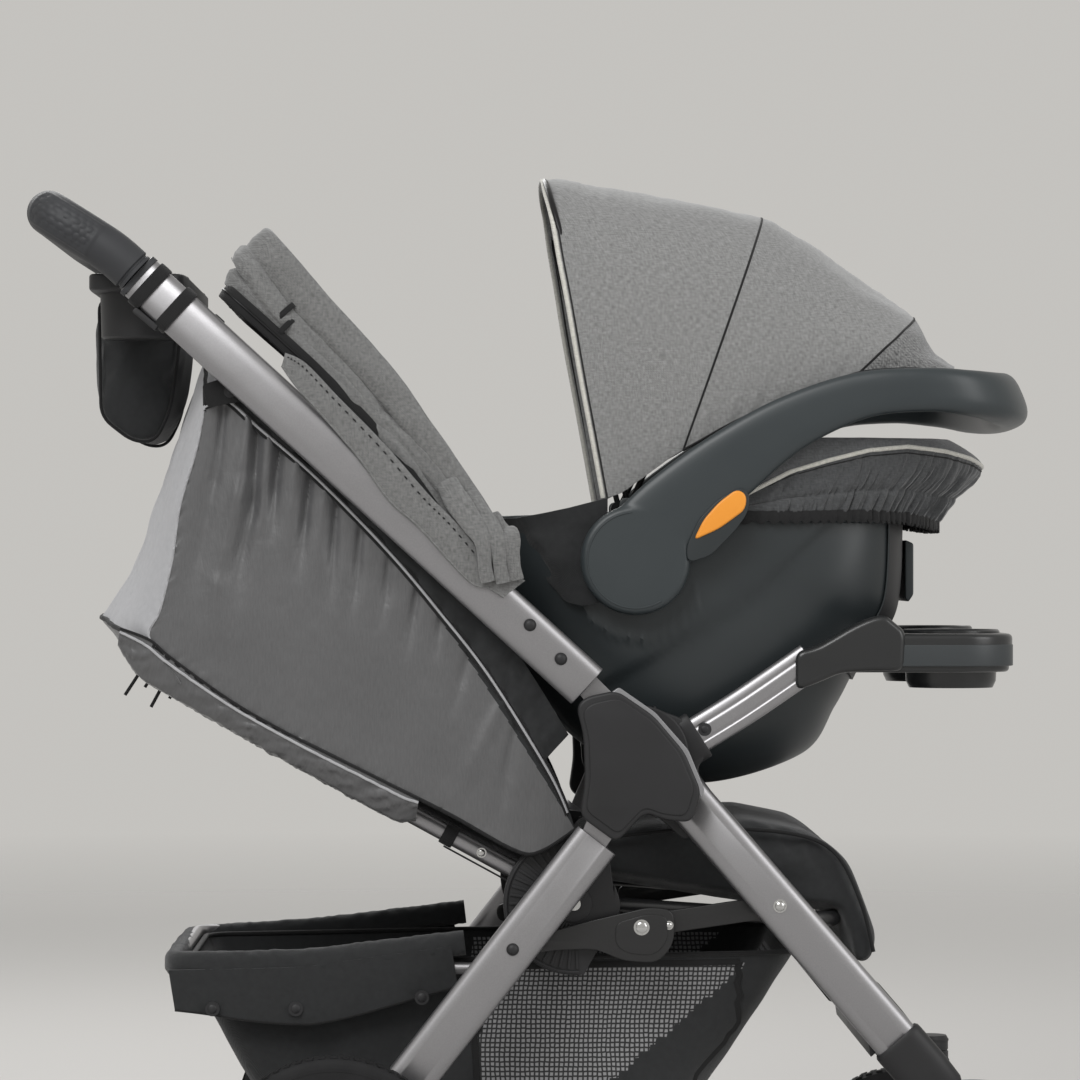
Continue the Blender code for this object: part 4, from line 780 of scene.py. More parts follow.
for label, sign in SIDES:
    leg_end = beyond(REAR_LEG[1], REAR_LEG[0], 0.046)
    leg = frame_tube("leg", REAR_LEG[0], leg_end, sign * TUBE_Y)
    lug_start = beyond(REAR_LEG[0], REAR_LEG[1], 0.020)
    lug_outline = [beyond(lug_start, REAR_LEG[0], 0.0, 0.012), beyond(lug_start, REAR_LEG[0], 0.0, -0.012)]
    lug_outline += arc((0, 0), 0.0235, -28, 5, 40)
    lug = slab("lug", lug_outline, *layer(sign, 0.2610, 0.2692), 0.0006, ALUMINIUM,
               (circle((0, 0), STUD_BORE),))
    near = sign * 0.2350
    pin = turned("pin", [(0, near), (0.0040, near), (0.0040, sign * 0.258), (0, sign * 0.258)],
                 side(*LINK_REAR, 0), ZINC, 24)
    whole = fused("rear_leg_tube_" + label, [leg, lug, pin])
    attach(whole, "rear_frame")
    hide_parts("rear_leg_" + label)
rivets("rear_leg_rivets", [side(-0.1250, -0.1890, sign * (TUBE_Y + TUBE_THICK / 2)) for label, sign in SIDES],
       NYLON,
       "rear_frame", 0.0056, 0.0036, 0.0062)

axle_half = REAR_WHEEL_Y + 0.0160
axle_profile = [(0, -axle_half), (0.0075, -axle_half), (0.0090, -axle_half + 0.0015),
                (0.0090, axle_half - 0.0015),
                (0.0075, axle_half), (0, axle_half)]
pieces = [turned("bar", axle_profile, side(*REAR_AXLE, 0), ZINC, 40)]
for label, sign in SIDES:
    top = beyond(REAR_AXLE, REAR_LEG[0], 0.0457)
    bottom = beyond(REAR_AXLE, REAR_LEG[0], -0.0160)
    bracket = softened([beyond(top, bottom, 0.0, 0.0245), beyond(top, bottom, 0.0, -0.0245),
                        beyond(bottom, top, 0.0, 0.0170), beyond(bottom, top, 0.0, -0.0170)], 0.010)
    pieces.append(slab("bracket", bracket, *layer(sign, 0.2510, 0.2770), 0.0020, NYLON))
axle = fused("rear_axle_bar", pieces)
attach(axle, "rear_frame")
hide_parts("rear_axle")

hoop_start = beyond(REAR_LEG[0], REAR_LEG[1], 0.165)
hoop_path = bent([side(*hoop_start, -0.2515), side(*hoop_start, -0.2120), side(-0.4580, -0.2060, -0.2120),
                  side(-0.4580, -0.2060, 0.2120), side(*hoop_start, 0.2120), side(*hoop_start, 0.2515)],
                 0.030, 10)
hoop = strand("basket_hoop_tube", hoop_path, (0.012, 0.012, 24, 2.0), ALUMINIUM, False, Vector((0, 0, 1)))
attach(hoop, "rear_frame")
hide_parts("basket_hoop")

bar_at = (REAR_AXLE[0] - 0.0300, REAR_AXLE[1] + 0.0040)
brake_parts = [turned("bar", [(0, -0.2340), (0.0045, -0.2340), (0.0055, -0.2330), (0.0055, 0.2330),
                              (0.0045, 0.2340),
                              (0, 0.2340)], side(*bar_at, 0), BLACK_STEEL, 32)]
for label, sign in SIDES:
    lever = softened([beyond(REAR_AXLE, bar_at, 0.0400, 0.0090), beyond(REAR_AXLE, bar_at, 0.0400, -0.0090),
                      beyond(REAR_AXLE, bar_at, -0.0150, -0.0140),
                      beyond(REAR_AXLE, bar_at, -0.0150, 0.0140)], 0.008)
    brake_parts.append(slab("lever", lever, *layer(sign, 0.2200, 0.2350), 0.0012, NYLON,
                            (circle(REAR_AXLE, STUD_BORE),)))
pad = slab("pad",
           softened([(bar_at[0] - 0.0450, bar_at[1] - 0.0045), (bar_at[0] - 0.0440, bar_at[1] + 0.0035),
                            (bar_at[0] - 0.0020, bar_at[1] + 0.0052),
                     (bar_at[0] - 0.0010, bar_at[1] - 0.0040)], 0.003),
           -0.2000, -0.1300, 0.0015, NYLON)
brake_parts.append(pad)
for number in range(5):
    spot = bar_at[0] - 0.0100 - 0.0075 * number
    brake_parts.append(slab("rib", softened([(spot, bar_at[1] + 0.0030), (spot + 0.0030, bar_at[1] + 0.0030),
                                             (spot + 0.0028, bar_at[1] + 0.0062),
                                             (spot + 0.0002, bar_at[1] + 0.0060)],
                                            0.0008), -0.1940, -0.1360, 0.0004, NYLON))
brake = fused("brake_bar", brake_parts)
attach(brake, "brake")
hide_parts("brake_pedal")


# The fold hubs: a nylon housing between the tubes of each side that carries the stub of the
# tray arm, and outside the tubes a moulded cover with a chamfered edge and a grey trim strip
# clipped along its front.
TRIM = hazy_metal("grey_trim", 0.4, "#8d8d8f", 300.0, 0.32, 0.44)
COVER = [(-0.0535, 0.0575), (-0.0630, 0.0480), (-0.0560, 0.0200), (-0.0545, -0.0235), (-0.0595, -0.0585),
         (-0.0240, -0.0845), (0.0039, -0.0547), (0.0245, -0.0627), (0.0495, -0.0647), (0.0588, -0.0348),
         (0.0426, 0.0039), (0.0123, 0.0395), (-0.0236, 0.0640)]
cover_edge = softened(COVER, 0.009, 8)
cover_field = [(u * 0.90 - 0.0005, w * 0.90 - 0.0005) for u, w in cover_edge]
trim_line = softened([(-0.0300, 0.0610), (-0.0215, 0.0672), (0.0140, 0.0425), (0.0463, 0.0058),
                      (0.0622, -0.0330),
                      (0.0590, -0.0420), (0.0560, -0.0340), (0.0400, 0.0020), (0.0100, 0.0370),
                      (-0.0240, 0.0600)],
                     0.003, 4)
STUB_END = (0.056, 0.0165)
STUB_START = (0.030, 0.0)
stub_side = TUBE_WIDE / 2 - 0.0020
HOUSING = [(-0.050, 0.040), (-0.046, -0.030), (-0.020, -0.052), (0.012, -0.056), (0.046, -0.087),
           (0.082, -0.051),
           (0.056, -0.016), beyond(STUB_END, STUB_START, 0.0, stub_side),
           beyond(STUB_END, STUB_START, 0.0, -stub_side), (0.020, 0.043), (-0.020, 0.056)]
for label, sign in SIDES:
    body = slab("cover", cover_edge, *layer(sign, 0.2700, 0.2858), 0.0030, NYLON, (), 5)
    field = slab("field", cover_field, *layer(sign, 0.2800, 0.2872), 0.0016, NYLON, (), 4)
    strip = slab("strip", trim_line, *layer(sign, 0.2705, 0.2835), 0.0008, TRIM)
    pivot = turned("pivot", [(0, sign * 0.2515), (0.0088, sign * 0.2515), (0.0088, sign * 0.2800),
                             (0, sign * 0.2800)],
                   side(0, 0, 0), NYLON, 32)
    cover = fused("hub_cover_" + label + "_piece", [body, field, strip, pivot])
    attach(cover, "front_frame")
    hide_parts("hub_cover_" + label)

    plate = slab("plate", softened(HOUSING, 0.009), *layer(sign, 0.2140, 0.2255), 0.0020, NYLON)
    core = turned("core", [(0.0095, sign * 0.2200), (0.0470, sign * 0.2200), (0.0480, sign * 0.2212),
                           (0.0480, sign * 0.2500), (0.0465, sign * 0.2512), (0.0095, sign * 0.2512)],
                  side(0, 0, 0), NYLON, 64)
    parts = [plate, core]
    for number in range(10):
        a = 2 * math.pi * number / 10
        ray = [(0.0475 * math.cos(a - 0.03), 0.0475 * math.sin(a - 0.03)), (0.0475 * math.cos(a + 0.03),
               0.0475 * math.sin(a + 0.03)), (0.0495 * math.cos(a + 0.02), 0.0495 * math.sin(a + 0.02)),
               (0.0495 * math.cos(a - 0.02), 0.0495 * math.sin(a - 0.02))]
        parts.append(slab("ray", ray, *layer(sign, 0.2262, 0.2490), 0.0003, NYLON))
    stub_path = [side(*beyond(STUB_END, STUB_START, reach), sign * 0.2170) for reach in
                 (0.030, 0.002, 0.0, -0.0030, -0.0045)]
    stub_grow = (0.97, 1.0, 1.0, 1.0, 0.95)

    def stub_section(share):
        nearest = min(range(5), key=lambda index: abs((0, 0.811, 0.869, 0.956, 1.0)[index] - share))
        return [(a * stub_grow[nearest], b * stub_grow[nearest]) for a, b in oval(0.050, 0.0218, 40, 3.0)]

    parts.append(swept("stub", stub_path, stub_section, NYLON))
    housing = fused("hub_housing_" + label + "_piece", parts)
    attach(housing, "front_frame")
    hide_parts("hub_housing_" + label)


# The handle tubes: the same oval aluminium tube, riveted to a lug plate that turns in the
# fold hub. A short pin inboard of each tube carries the three canopy bows.
HANDLE_TUBE = ((-0.0520, 0.0672), (-0.4930, 0.4706))
TUBE_WAY = (Vector(HANDLE_TUBE[0]) - Vector(HANDLE_TUBE[1])).normalized()
CANOPY_PIVOT = (-0.1320, 0.1720)
for label, sign in SIDES:
    tube = frame_tube("tube", *HANDLE_TUBE, sign * TUBE_Y)
    lug_outline = [beyond((0, 0), HANDLE_TUBE[1], 0.100, -0.004),
                   beyond((0, 0), HANDLE_TUBE[1], 0.100, -0.026)]
    lug_outline += arc((0, 0), 0.024, 52, -7.5, 36)
    lug = slab("lug", lug_outline, *layer(sign, 0.2525, 0.2602), 0.0006, ALUMINIUM,
               (circle((0, 0), STUD_BORE),))
    pin = turned("pin", [(0, sign * 0.2310), (0.0040, sign * 0.2310), (0.0040, sign * 0.2580),
                         (0, sign * 0.2580)],
                 side(*CANOPY_PIVOT, 0), ZINC, 24)
    tube = fused("handle_tube_piece_" + label, [tube, lug, pin])
    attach(tube, "handle_frame")
    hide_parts("handle_tube_" + label)
outer_face = TUBE_Y + TUBE_THICK / 2
rivets("handle_tube_rivets", [side(u, w, sign * outer_face) for u, w in ((-0.1081, 0.1277), (-0.0779, 0.0945))
                              for label, sign in SIDES], NYLON, "handle_frame", 0.0056, 0.0034, 0.0062)


# The push grip: injected thermoplastic rubber over the U-shaped end of the handle, with a
# satin sleeve where it meets each tube, a raised honeycomb patch to hold and ribs at the bend.
def grip_rubber():
    """Thermoplastic rubber: dark, nearly matt, with a fine leathery grain."""
    made, tree, shader = painted("grip_rubber_skin",
                                 {"Roughness": 0.56, "IOR": 1.5, "Specular IOR Level": 0.4})
    where = add(tree, "ShaderNodeTexCoord")
    wear = add(tree, "ShaderNodeTexNoise", (),
               {"Vector": where.outputs["Object"], "Scale": 22.0, "Detail": 4.0})
    tint = add(tree, "ShaderNodeMix", {"data_type": "RGBA"},
               {0: wear.outputs["Fac"], 6: linear("#2b2c2e"), 7: linear("#3b3c3f")})
    tree.links.new(tint.outputs[2], shader.inputs["Base Color"])
    leather = add(tree, "ShaderNodeTexVoronoi", (), {"Vector": where.outputs["Object"], "Scale": 900.0})
    bumps = add(tree, "ShaderNodeBump", (),
                {"Strength": 0.18, "Distance": 0.0003, "Height": leather.outputs["Distance"]})
    tree.links.new(bumps.outputs[0], shader.inputs["Normal"])
    return made


GRIP = grip_rubber()
GRIP_END = (-0.5810, 0.5330)
GRIP_R = 0.0222
grip_mid = beyond(HANDLE_TUBE[1], HANDLE_TUBE[0], -0.032)
grip_start = beyond(HANDLE_TUBE[1], HANDLE_TUBE[0], -0.0003)


def stepped(path, step):
    """The same path with points every step metres."""
    out = [path[0].copy()]
    for before, after in zip(path, path[1:]):
        gap = (after - before).length
        count = max(1, round(gap / step))
        out += [before.lerp(after, index / count) for index in range(1, count + 1)]
    return out


def hexagon_edge(x, y, size):
    """0 at the wall of a honeycomb of cells size across, growing to 1 inside a cell."""
    best = []
    row = size * math.sqrt(3) / 2
    near = round(y / row)
    for line in (near - 1, near, near + 1):
        shift = size / 2 if line % 2 else 0.0
        column = round((x - shift) / size)
        for cell in (column - 1, column, column + 1):
            best.append(math.hypot(x - shift - cell * size, y - line * row))
    best.sort()
    return min(1.0, (best[1] - best[0]) / (size * 0.34))


def bump(value, low, high, soft):
    """1 between low and high, fading to 0 over soft outside them."""
    if low <= value <= high:
        return 1.0
    gap = low - value if value < low else value - high
    return max(0.0, 1 - gap / soft)


grip_path = bent([side(*grip_start, -TUBE_Y), side(*grip_mid, -TUBE_Y), side(*GRIP_END, -TUBE_Y + 0.006),
                  side(*GRIP_END, TUBE_Y - 0.006), side(*grip_mid, TUBE_Y), side(*grip_start, TUBE_Y)], 0.050,
                 24)
grip_path = stepped(grip_path, 0.0014)
grip_length = sum((b - a).length for a, b in zip(grip_path, grip_path[1:]))
GRIP_COUNT = 96
CELL = 0.0078
RIB_PITCH = 0.0065
RIBS_FROM = 0.120
RIBS_TO = 0.172


def grip_section(share):
    """The grip's round section, with its stepped ends, honeycomb patch and ribs."""
    s = min(share, 1 - share) * grip_length
    size = 1.0
    if s < 0.004:
        size = 0.955
    elif s < 0.0062:
        size = 0.90
    out = []
    for index in range(GRIP_COUNT):
        a = 2 * math.pi * index / GRIP_COUNT
        outward = math.sin(a) * (-1 if share < 0.5 else 1)
        lift = 0.0
        if outward > 0 and 0.045 < s < 0.118:
            girth = GRIP_R * (math.acos(min(1, outward)) * (1 if math.cos(a) > 0 else -1))
            inside = bump(s, 0.050, 0.112, 0.002) * bump(girth, -0.019, 0.019, 0.002)
            border = inside * (1 - bump(s, 0.0535, 0.1085, 0.0012) * bump(girth, -0.0155, 0.0155, 0.0012))
            cell = hexagon_edge(s, girth, CELL)
            lift = 0.0010 * border + inside * (1 - border) * (-0.0007 + 0.0011 * cell)
        if RIBS_FROM < s < RIBS_TO:
            wave = 0.5 + 0.5 * math.cos(2 * math.pi * (s - RIBS_FROM) / RIB_PITCH)
            lift += 0.0006 * wave * max(0.0, outward) ** 0.5
        radius = GRIP_R * size + lift - 0.0004
        out.append((radius * math.cos(a), radius * math.sin(a)))
    return out


grip = swept("handle_grip_piece", grip_path, grip_section, GRIP)
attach(grip, "handle_frame")
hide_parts("handle_grip")
collars = []
for label, sign in SIDES:
    collar_path = [side(*beyond(HANDLE_TUBE[1], HANDLE_TUBE[0], 0.0060), sign * TUBE_Y),
                   side(*beyond(HANDLE_TUBE[1], HANDLE_TUBE[0], 0.0008), sign * TUBE_Y)]
    collars.append(strand("collar", collar_path, (0.0482, 0.0262, 48, 3.0), GRIP))
collars = fused("grip_collars", collars)
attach(collars, "handle_frame")


# The organiser: a moulded bridge clipped between the handle tubes with two cup wells, and a
# zipped pouch of dark woven polyester hung under it. Straps with ladder-lock buckles hold it.
SLANT = 0.7


def cloth_run(tree, where):
    """Where a point lies along a hanging cloth: its run, its height and the sideways part of both."""
    axes = add(tree, "ShaderNodeSeparateXYZ", (), {0: where.outputs["Object"]})
    slant = add(tree, "ShaderNodeMath", {"operation": "MULTIPLY"}, {0: axes.outputs[1], 1: SLANT})
    run = add(tree, "ShaderNodeMath", {"operation": "ADD"}, {0: axes.outputs[0], 1: slant.outputs[0]})
    return {"run": run.outputs[0], "height": axes.outputs[2], "slant": slant.outputs[0]}


def woven_polyester(name, low, high, thread=0.0012, rough=0.88, sheen=0.25, depth=0.5):
    """Plain-woven polyester: two thread directions in the surface's own grain, slightly mottled.

    A thread is drawn about three times its real width, so that it shows at this distance.
    """
    made, tree, shader = painted(name, {"Roughness": rough, "IOR": 1.5, "Sheen Weight": sheen,
                                        "Sheen Roughness": 0.5, "Specular IOR Level": 0.3})
    where = add(tree, "ShaderNodeTexCoord")
    cloth = cloth_run(tree, where)
    weft_way = add(tree, "ShaderNodeMath", {"operation": "ADD"}, {0: cloth["height"], 1: cloth["slant"]})
    waves = []
    for way in (cloth["run"], weft_way.outputs[0]):
        turn = add(tree, "ShaderNodeMath", {"operation": "MULTIPLY"}, {0: way, 1: 2 * math.pi / thread})
        wave = add(tree, "ShaderNodeMath", {"operation": "SINE"}, {0: turn.outputs[0]})
        waves.append(wave)
    weave = add(tree, "ShaderNodeMath", {"operation": "MULTIPLY"},
                {0: waves[0].outputs[0], 1: waves[1].outputs[0]})
    mottle = add(tree, "ShaderNodeTexNoise", (),
                 {"Vector": where.outputs["Object"], "Scale": 160.0, "Detail": 4.0})
    patch = add(tree, "ShaderNodeTexNoise", (),
                {"Vector": where.outputs["Object"], "Scale": 7.0, "Detail": 3.0})
    blend_in = add(tree, "ShaderNodeMath", {"operation": "MULTIPLY_ADD"},
                   {0: weave.outputs[0], 1: 0.16, 2: mottle.outputs["Fac"]})
    both = add(tree, "ShaderNodeMix", {"data_type": "FLOAT"},
               {0: 0.3, 2: blend_in.outputs[0], 3: patch.outputs["Fac"]})
    tint = add(tree, "ShaderNodeMix", {"data_type": "RGBA"},
               {0: both.outputs[0], 6: linear(low), 7: linear(high)})
    tree.links.new(tint.outputs[2], shader.inputs["Base Color"])
    bumps = add(tree, "ShaderNodeBump", (),
                {"Strength": depth, "Distance": 0.0004, "Height": weave.outputs[0]})
    tree.links.new(bumps.outputs[0], shader.inputs["Normal"])
    return made


DARK_WEAVE = woven_polyester("charcoal_polyester", "#1f2021", "#333435")
WEBBING = woven_polyester("black_webbing", "#111112", "#1e1e1f", 0.0016, 0.7, 0.1, 0.6)


def plan_slab(name, outline, w_low, w_high, edge, finish, holes=(), steps=3):
    """A top-view outline of (u, y) points as a level plate with rolled edges."""
    piece = plate_curve(name, outline, w_high - w_low, edge, finish, holes, steps)
    piece.location = side(0, (w_low + w_high) / 2, 0)
    return frozen(piece, 30)


def puffed(piece, voxel, pressure, cap, rounds=1):
    """A closed shape as an air-filled pad: cloth under light pressure, then smoothed once."""
    mesher = piece.modifiers.new("even_mesh", "REMESH")
    mesher.mode = "VOXEL"
    mesher.voxel_size = voxel
    mesher.use_smooth_shade = True
    piece = frozen(piece, 180)
    before = [vertex.co.copy() for vertex in piece.data.vertices]
    cloth = piece.modifiers.new("pressed_foam", "CLOTH")
    cloth.settings.use_pressure = True
    cloth.settings.uniform_pressure_force = pressure
    cloth.settings.effector_weights.gravity = 0.0
    cloth.settings.tension_stiffness = 12.0
    cloth.settings.compression_stiffness = 8.0
    cloth.settings.bending_stiffness = 0.6
    cloth.point_cache.frame_start = 1
    cloth.point_cache.frame_end = 20
    for number in range(1, 21):
        bpy.context.scene.frame_set(number)
    graph = bpy.context.evaluated_depsgraph_get()
    shaped = piece.evaluated_get(graph)
    after = [vertex.co.copy() for vertex in shaped.data.vertices]
    piece.modifiers.remove(cloth)
    bpy.context.scene.frame_set(1)
    for vertex, old, new in zip(piece.data.vertices, before, after):
        move = new - old
        if move.length > cap:
            move *= cap / move.length
        vertex.co = old + move
    finer = piece.modifiers.new("finer", "SUBSURF")
    finer.levels = rounds
    return frozen(piece, 180)


WELL_U = -0.4930
WELL_Y = 0.150
ORG_HOLES = [circle((WELL_U, sign * WELL_Y), 0.0400, 48) for label, sign in SIDES]
bridge_plan = softened([(-0.5420, -0.2350), (-0.4510, -0.2350), (-0.4470, -0.2000), (-0.4470, 0.2000),
                        (-0.4510, 0.2350), (-0.5420, 0.2350), (-0.5440, 0.1900), (-0.5440, -0.1900)], 0.020)
parts = [plan_slab("bridge", bridge_plan, 0.4570, 0.4735, 0.0030, NYLON, ORG_HOLES, 4)]
for label, sign in SIDES:
    well_centre = side(WELL_U, 0.0, sign * WELL_Y)
    parts.append(turned("well", [(0.0398, 0.4745), (0.0440, 0.4745), (0.0452, 0.4730), (0.0440, 0.4680),
                                 (0.0425, 0.4140), (0.0400, 0.4118), (0, 0.4118), (0, 0.4150),
                                 (0.0385, 0.4150),
                                 (0.0398, 0.4180)], well_centre, NYLON, 64, True))
    parts.append(slab("tab",
                      softened([(-0.4880, 0.4400), (-0.4540, 0.4430), (-0.4540, 0.4650), (-0.4880, 0.4700)],
                                      0.005), *layer(sign, 0.2300, 0.2510), 0.0020, NYLON))
bridge = fused("organizer_bridge", parts)
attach(bridge, "handle_frame")
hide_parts("organizer")
POUCH = [(-0.5420, 0.4560), (-0.4600, 0.4560), (-0.4610, 0.4040), (-0.4700, 0.3420), (-0.4850, 0.3110),
         (-0.5080, 0.3110), (-0.5400, 0.3360)]
pouch = slab("pouch", softened(POUCH, 0.014, 4), -0.0980, 0.0980, 0.0060, DARK_WEAVE)
pouch = puffed(pouch, 0.0050, 3.0, 0.006)
pouch_edge = softened(POUCH, 0.014, 6)
pipings = []
for y in (-0.0975, 0.0975):
    line = [side(u, w, y) for u, w in pouch_edge]
    pipings.append(strand("piping", line, (0.0034, 0.0034, 10, 2.0), WEBBING, True))
for y in (-0.0992, 0.0992):
    zip_line = [side(-0.5340 + 0.007 * k, 0.4330 + 0.0012 * math.sin(k), y) for k in range(11)]
    pipings.append(strand("zip", zip_line, (0.0048, 0.0022, 10, 3.0), WEBBING))
pouch = fused("organizer_pouch_piece", [pouch] + pipings)
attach(pouch, "handle_frame")
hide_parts("organizer_pouch")
straps = []
for label, sign in SIDES:
    for back in (0.018, 0.052):
        spot = beyond(HANDLE_TUBE[1], HANDLE_TUBE[0], back)
        loop = []
        for a, b in oval(TUBE_WIDE + 0.0032, TUBE_THICK + 0.0032, 40, 3.0):
            loop.append(side(spot[0] - TUBE_WAY.y * a, spot[1] + TUBE_WAY.x * a, sign * TUBE_Y + b))
        straps.append(strand("strap", loop, (0.0020, 0.0130, 10, 4.0), WEBBING, True,
                            Vector((TUBE_WAY.x, 0, TUBE_WAY.y))))
    buckle_at = beyond(HANDLE_TUBE[1], HANDLE_TUBE[0], 0.035, -0.0262)
    buckle = [beyond(buckle_at, HANDLE_TUBE[0], -0.013, 0.0030),
              beyond(buckle_at, HANDLE_TUBE[0], 0.016, 0.0030),
              beyond(buckle_at, HANDLE_TUBE[0], 0.016, -0.0030),
              beyond(buckle_at, HANDLE_TUBE[0], -0.013, -0.0030)]
    straps.append(slab("buckle", softened(buckle, 0.002), sign * TUBE_Y - 0.0095, sign * TUBE_Y + 0.0095,
                       0.0010, NYLON))
straps = fused("organizer_straps", straps)
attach(straps, "handle_frame")


# The folding stays under the seat: black powder-coated steel plates, riveted. The rear one
# ends in a round knuckle that overlaps the front one.
LINK_KNEE = (0.0020, -0.1700)
LINK_FRONT = (0.1390, -0.1500)
rear_link = [beyond(LINK_REAR, LINK_KNEE, -0.013, 0.010), beyond(LINK_REAR, LINK_KNEE, -0.013, -0.010),
             beyond(LINK_REAR, LINK_KNEE, 0.040, -0.0095), beyond(LINK_REAR, LINK_KNEE, 0.080, -0.014),
             (-0.0160, -0.2030), (0.0180, -0.2050), (0.0340, -0.1860), (0.0340, -0.1530), (0.0100, -0.1500),
             beyond(LINK_REAR, LINK_KNEE, 0.080, 0.014), beyond(LINK_REAR, LINK_KNEE, 0.040, 0.0095)]
front_link = [beyond(LINK_FRONT, LINK_KNEE, -0.013, 0.011), beyond(LINK_FRONT, LINK_KNEE, -0.013, -0.011),
              beyond(LINK_FRONT, LINK_KNEE, 0.148, -0.011), beyond(LINK_FRONT, LINK_KNEE, 0.148, 0.011)]
for label, sign in SIDES:
    plate = slab("plate", softened(rear_link, 0.011), *layer(sign, 0.2370, 0.2430), 0.0012, BLACK_STEEL,
                 (circle(LINK_REAR, 0.0044),))
    field_line = [(0.002 + (u - 0.002) * 0.80, -0.176 + (w + 0.176) * 0.74) for u, w in
                  softened([(-0.030, -0.192), (-0.014, -0.203), (0.018, -0.205), (0.034, -0.186),
                            (0.034, -0.153),
                            (0.010, -0.150), (-0.030, -0.162)], 0.011)]
    field = slab("field", field_line, *layer(sign, 0.2420, 0.2441), 0.0008, BLACK_STEEL)
    boss = turned("boss", [(0, sign * 0.2256), (0.0086, sign * 0.2256), (0.0086, sign * 0.2400),
                           (0, sign * 0.2400)],
                  side(*LINK_KNEE, 0), BLACK_STEEL, 32)
    piece = fused("rear_stay_" + label, [plate, field, boss])
    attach(piece, "rear_links")
    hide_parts("rear_link_" + label)
    piece = slab("front_stay_" + label, softened(front_link, 0.011), *layer(sign, 0.2185, 0.2250), 0.0012,
                 BLACK_STEEL)
    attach(piece, "front_links")
    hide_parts("front_link_" + label)
rivets("knee_rivets", [side(*LINK_KNEE, sign * 0.2438) for label, sign in SIDES], ZINC, "rear_links",
       0.0060, 0.0022, 0.0078, 0.0014)
rivets("stay_rivets", [side(0.0290, -0.1680, sign * 0.2428) for label, sign in SIDES], ZINC, "rear_links",
       0.0032, 0.0018, 0.0044, 0.0010)


# The seat base: a bent steel tube riveted between the front legs, with a ribbed recline disc
# on each rear end and a padded cushion of dark polyester over foam with a hanging calf rest.
def eased(points, steps=6):
    """A smooth line through a few places."""
    places = [Vector(point) for point in points]
    out = []
    for index in range(len(places) - 1):
        p0 = places[max(index - 1, 0)]
        p1 = places[index]
        p2 = places[index + 1]
        p3 = places[min(index + 2, len(places) - 1)]
        for step in range(steps):
            t = step / steps
            out.append(0.5 * (2 * p1 + (p2 - p0) * t + (2 * p0 - 5 * p1 + 4 * p2 - p3) * t ** 2
                              + (3 * p1 - p0 - 3 * p2 + p3) * t ** 3))
    out.append(places[-1])
    return out


RAIL_Y = 0.206
RAIL_REAR = (-0.030, -0.150)
RAIL_FRONT = (0.196, -0.166)
seat_path = bent([side(*RAIL_REAR, -RAIL_Y), side(*RAIL_FRONT, -RAIL_Y), side(*RAIL_FRONT, RAIL_Y),
                  side(*RAIL_REAR, RAIL_Y)], 0.045, 12)
parts = [strand("rail", stepped(seat_path, 0.02), (0.0156, 0.0156, 24, 2.0), BLACK_STEEL)]
for label, sign in SIDES:
    parts.append(turned("lug", [(0, sign * 0.2000), (0.0075, sign * 0.2000), (0.0075, sign * 0.2250),
                                (0, sign * 0.2250)], side(0.1600, -0.1634, 0), BLACK_STEEL, 32))
seat_rail = fused("seat_rail", parts)
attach(seat_rail, "front_frame")
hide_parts("seat_frame")
RECLINE_PIVOT = (-0.0640, -0.1480)
RECLINE_R = 0.0700
for label, sign in SIDES:
    disc_line = arc(RECLINE_PIVOT, RECLINE_R, 62, 3, 73)
    disc_lobe = softened([(-0.0250, -0.1750), (-0.0170, -0.1500), (-0.0250, -0.1250)], 0.010)
    parts = [slab("disc", disc_line + disc_lobe, *layer(sign, 0.2170, 0.2300), 0.0010, NYLON,
                  (circle(RECLINE_PIVOT, 0.0070),))]
    rim_line = [side(u, w, sign * 0.2306) for u, w in arc(RECLINE_PIVOT, RECLINE_R - 0.0030, 64, 3, 71)]
    parts.append(strand("rim", rim_line, (0.0030, 0.0028, 10, 2.4), NYLON))
    for number in range(27):
        start = arc(RECLINE_PIVOT, 0.020, 70 + 7.8 * number, 0, 1)[0]
        end = arc(RECLINE_PIVOT, RECLINE_R - 0.006, 70 + 7.8 * number, 0, 1)[0]
        rib = [beyond(start, end, 0, 0.0008), beyond(start, end, 0, -0.0008), beyond(end, start, 0, 0.0014),
               beyond(end, start, 0, -0.0014)]
        parts.append(slab("rib", rib, *layer(sign, 0.2295, 0.2318), 0.0003, NYLON))
    parts.append(turned("nave", [(0.0070, sign * 0.2290), (0.0180, sign * 0.2290), (0.0175, sign * 0.2316),
                                 (0.0120, sign * 0.2320), (0.0070, sign * 0.2320)], side(*RECLINE_PIVOT, 0),
                        NYLON, 48))
    parts.append(turned("hold", [(0, sign * 0.2143), (0.006, sign * 0.2143), (0.006, sign * 0.2185),
                                 (0, sign * 0.2185)],
                        side(-0.0290, -0.1500, 0), NYLON, 24))
    disc = fused("recline_disc_piece_" + label, parts)
    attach(disc, "front_frame")
    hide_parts("recline_disc_" + label)
cushion_line = softened([(-0.060, -0.090), (0.020, -0.078), (0.110, -0.072), (0.180, -0.086), (0.208, -0.112),
                         (0.236, -0.190), (0.228, -0.214), (0.212, -0.214), (0.2050, -0.1560),
                         (0.100, -0.1440),
                         (-0.060, -0.118)], 0.010)
cushion = puffed(slab("cushion", cushion_line, -0.1930, 0.1930, 0.0060, DARK_WEAVE), 0.0055, 3.5, 0.006)
parts = [cushion]
for label, sign in SIDES:
    seam = eased([side(-0.050, -0.0860, sign * 0.196), side(0.060, -0.0760, sign * 0.197),
                  side(0.150, -0.0800, sign * 0.197),
                  side(0.196, -0.1000, sign * 0.196), side(0.222, -0.1500, sign * 0.196),
                  side(0.234, -0.1980, sign * 0.196)], 10)
    parts.append(strand("piping", seam, (0.0042, 0.0042, 12, 2.0), WEBBING))
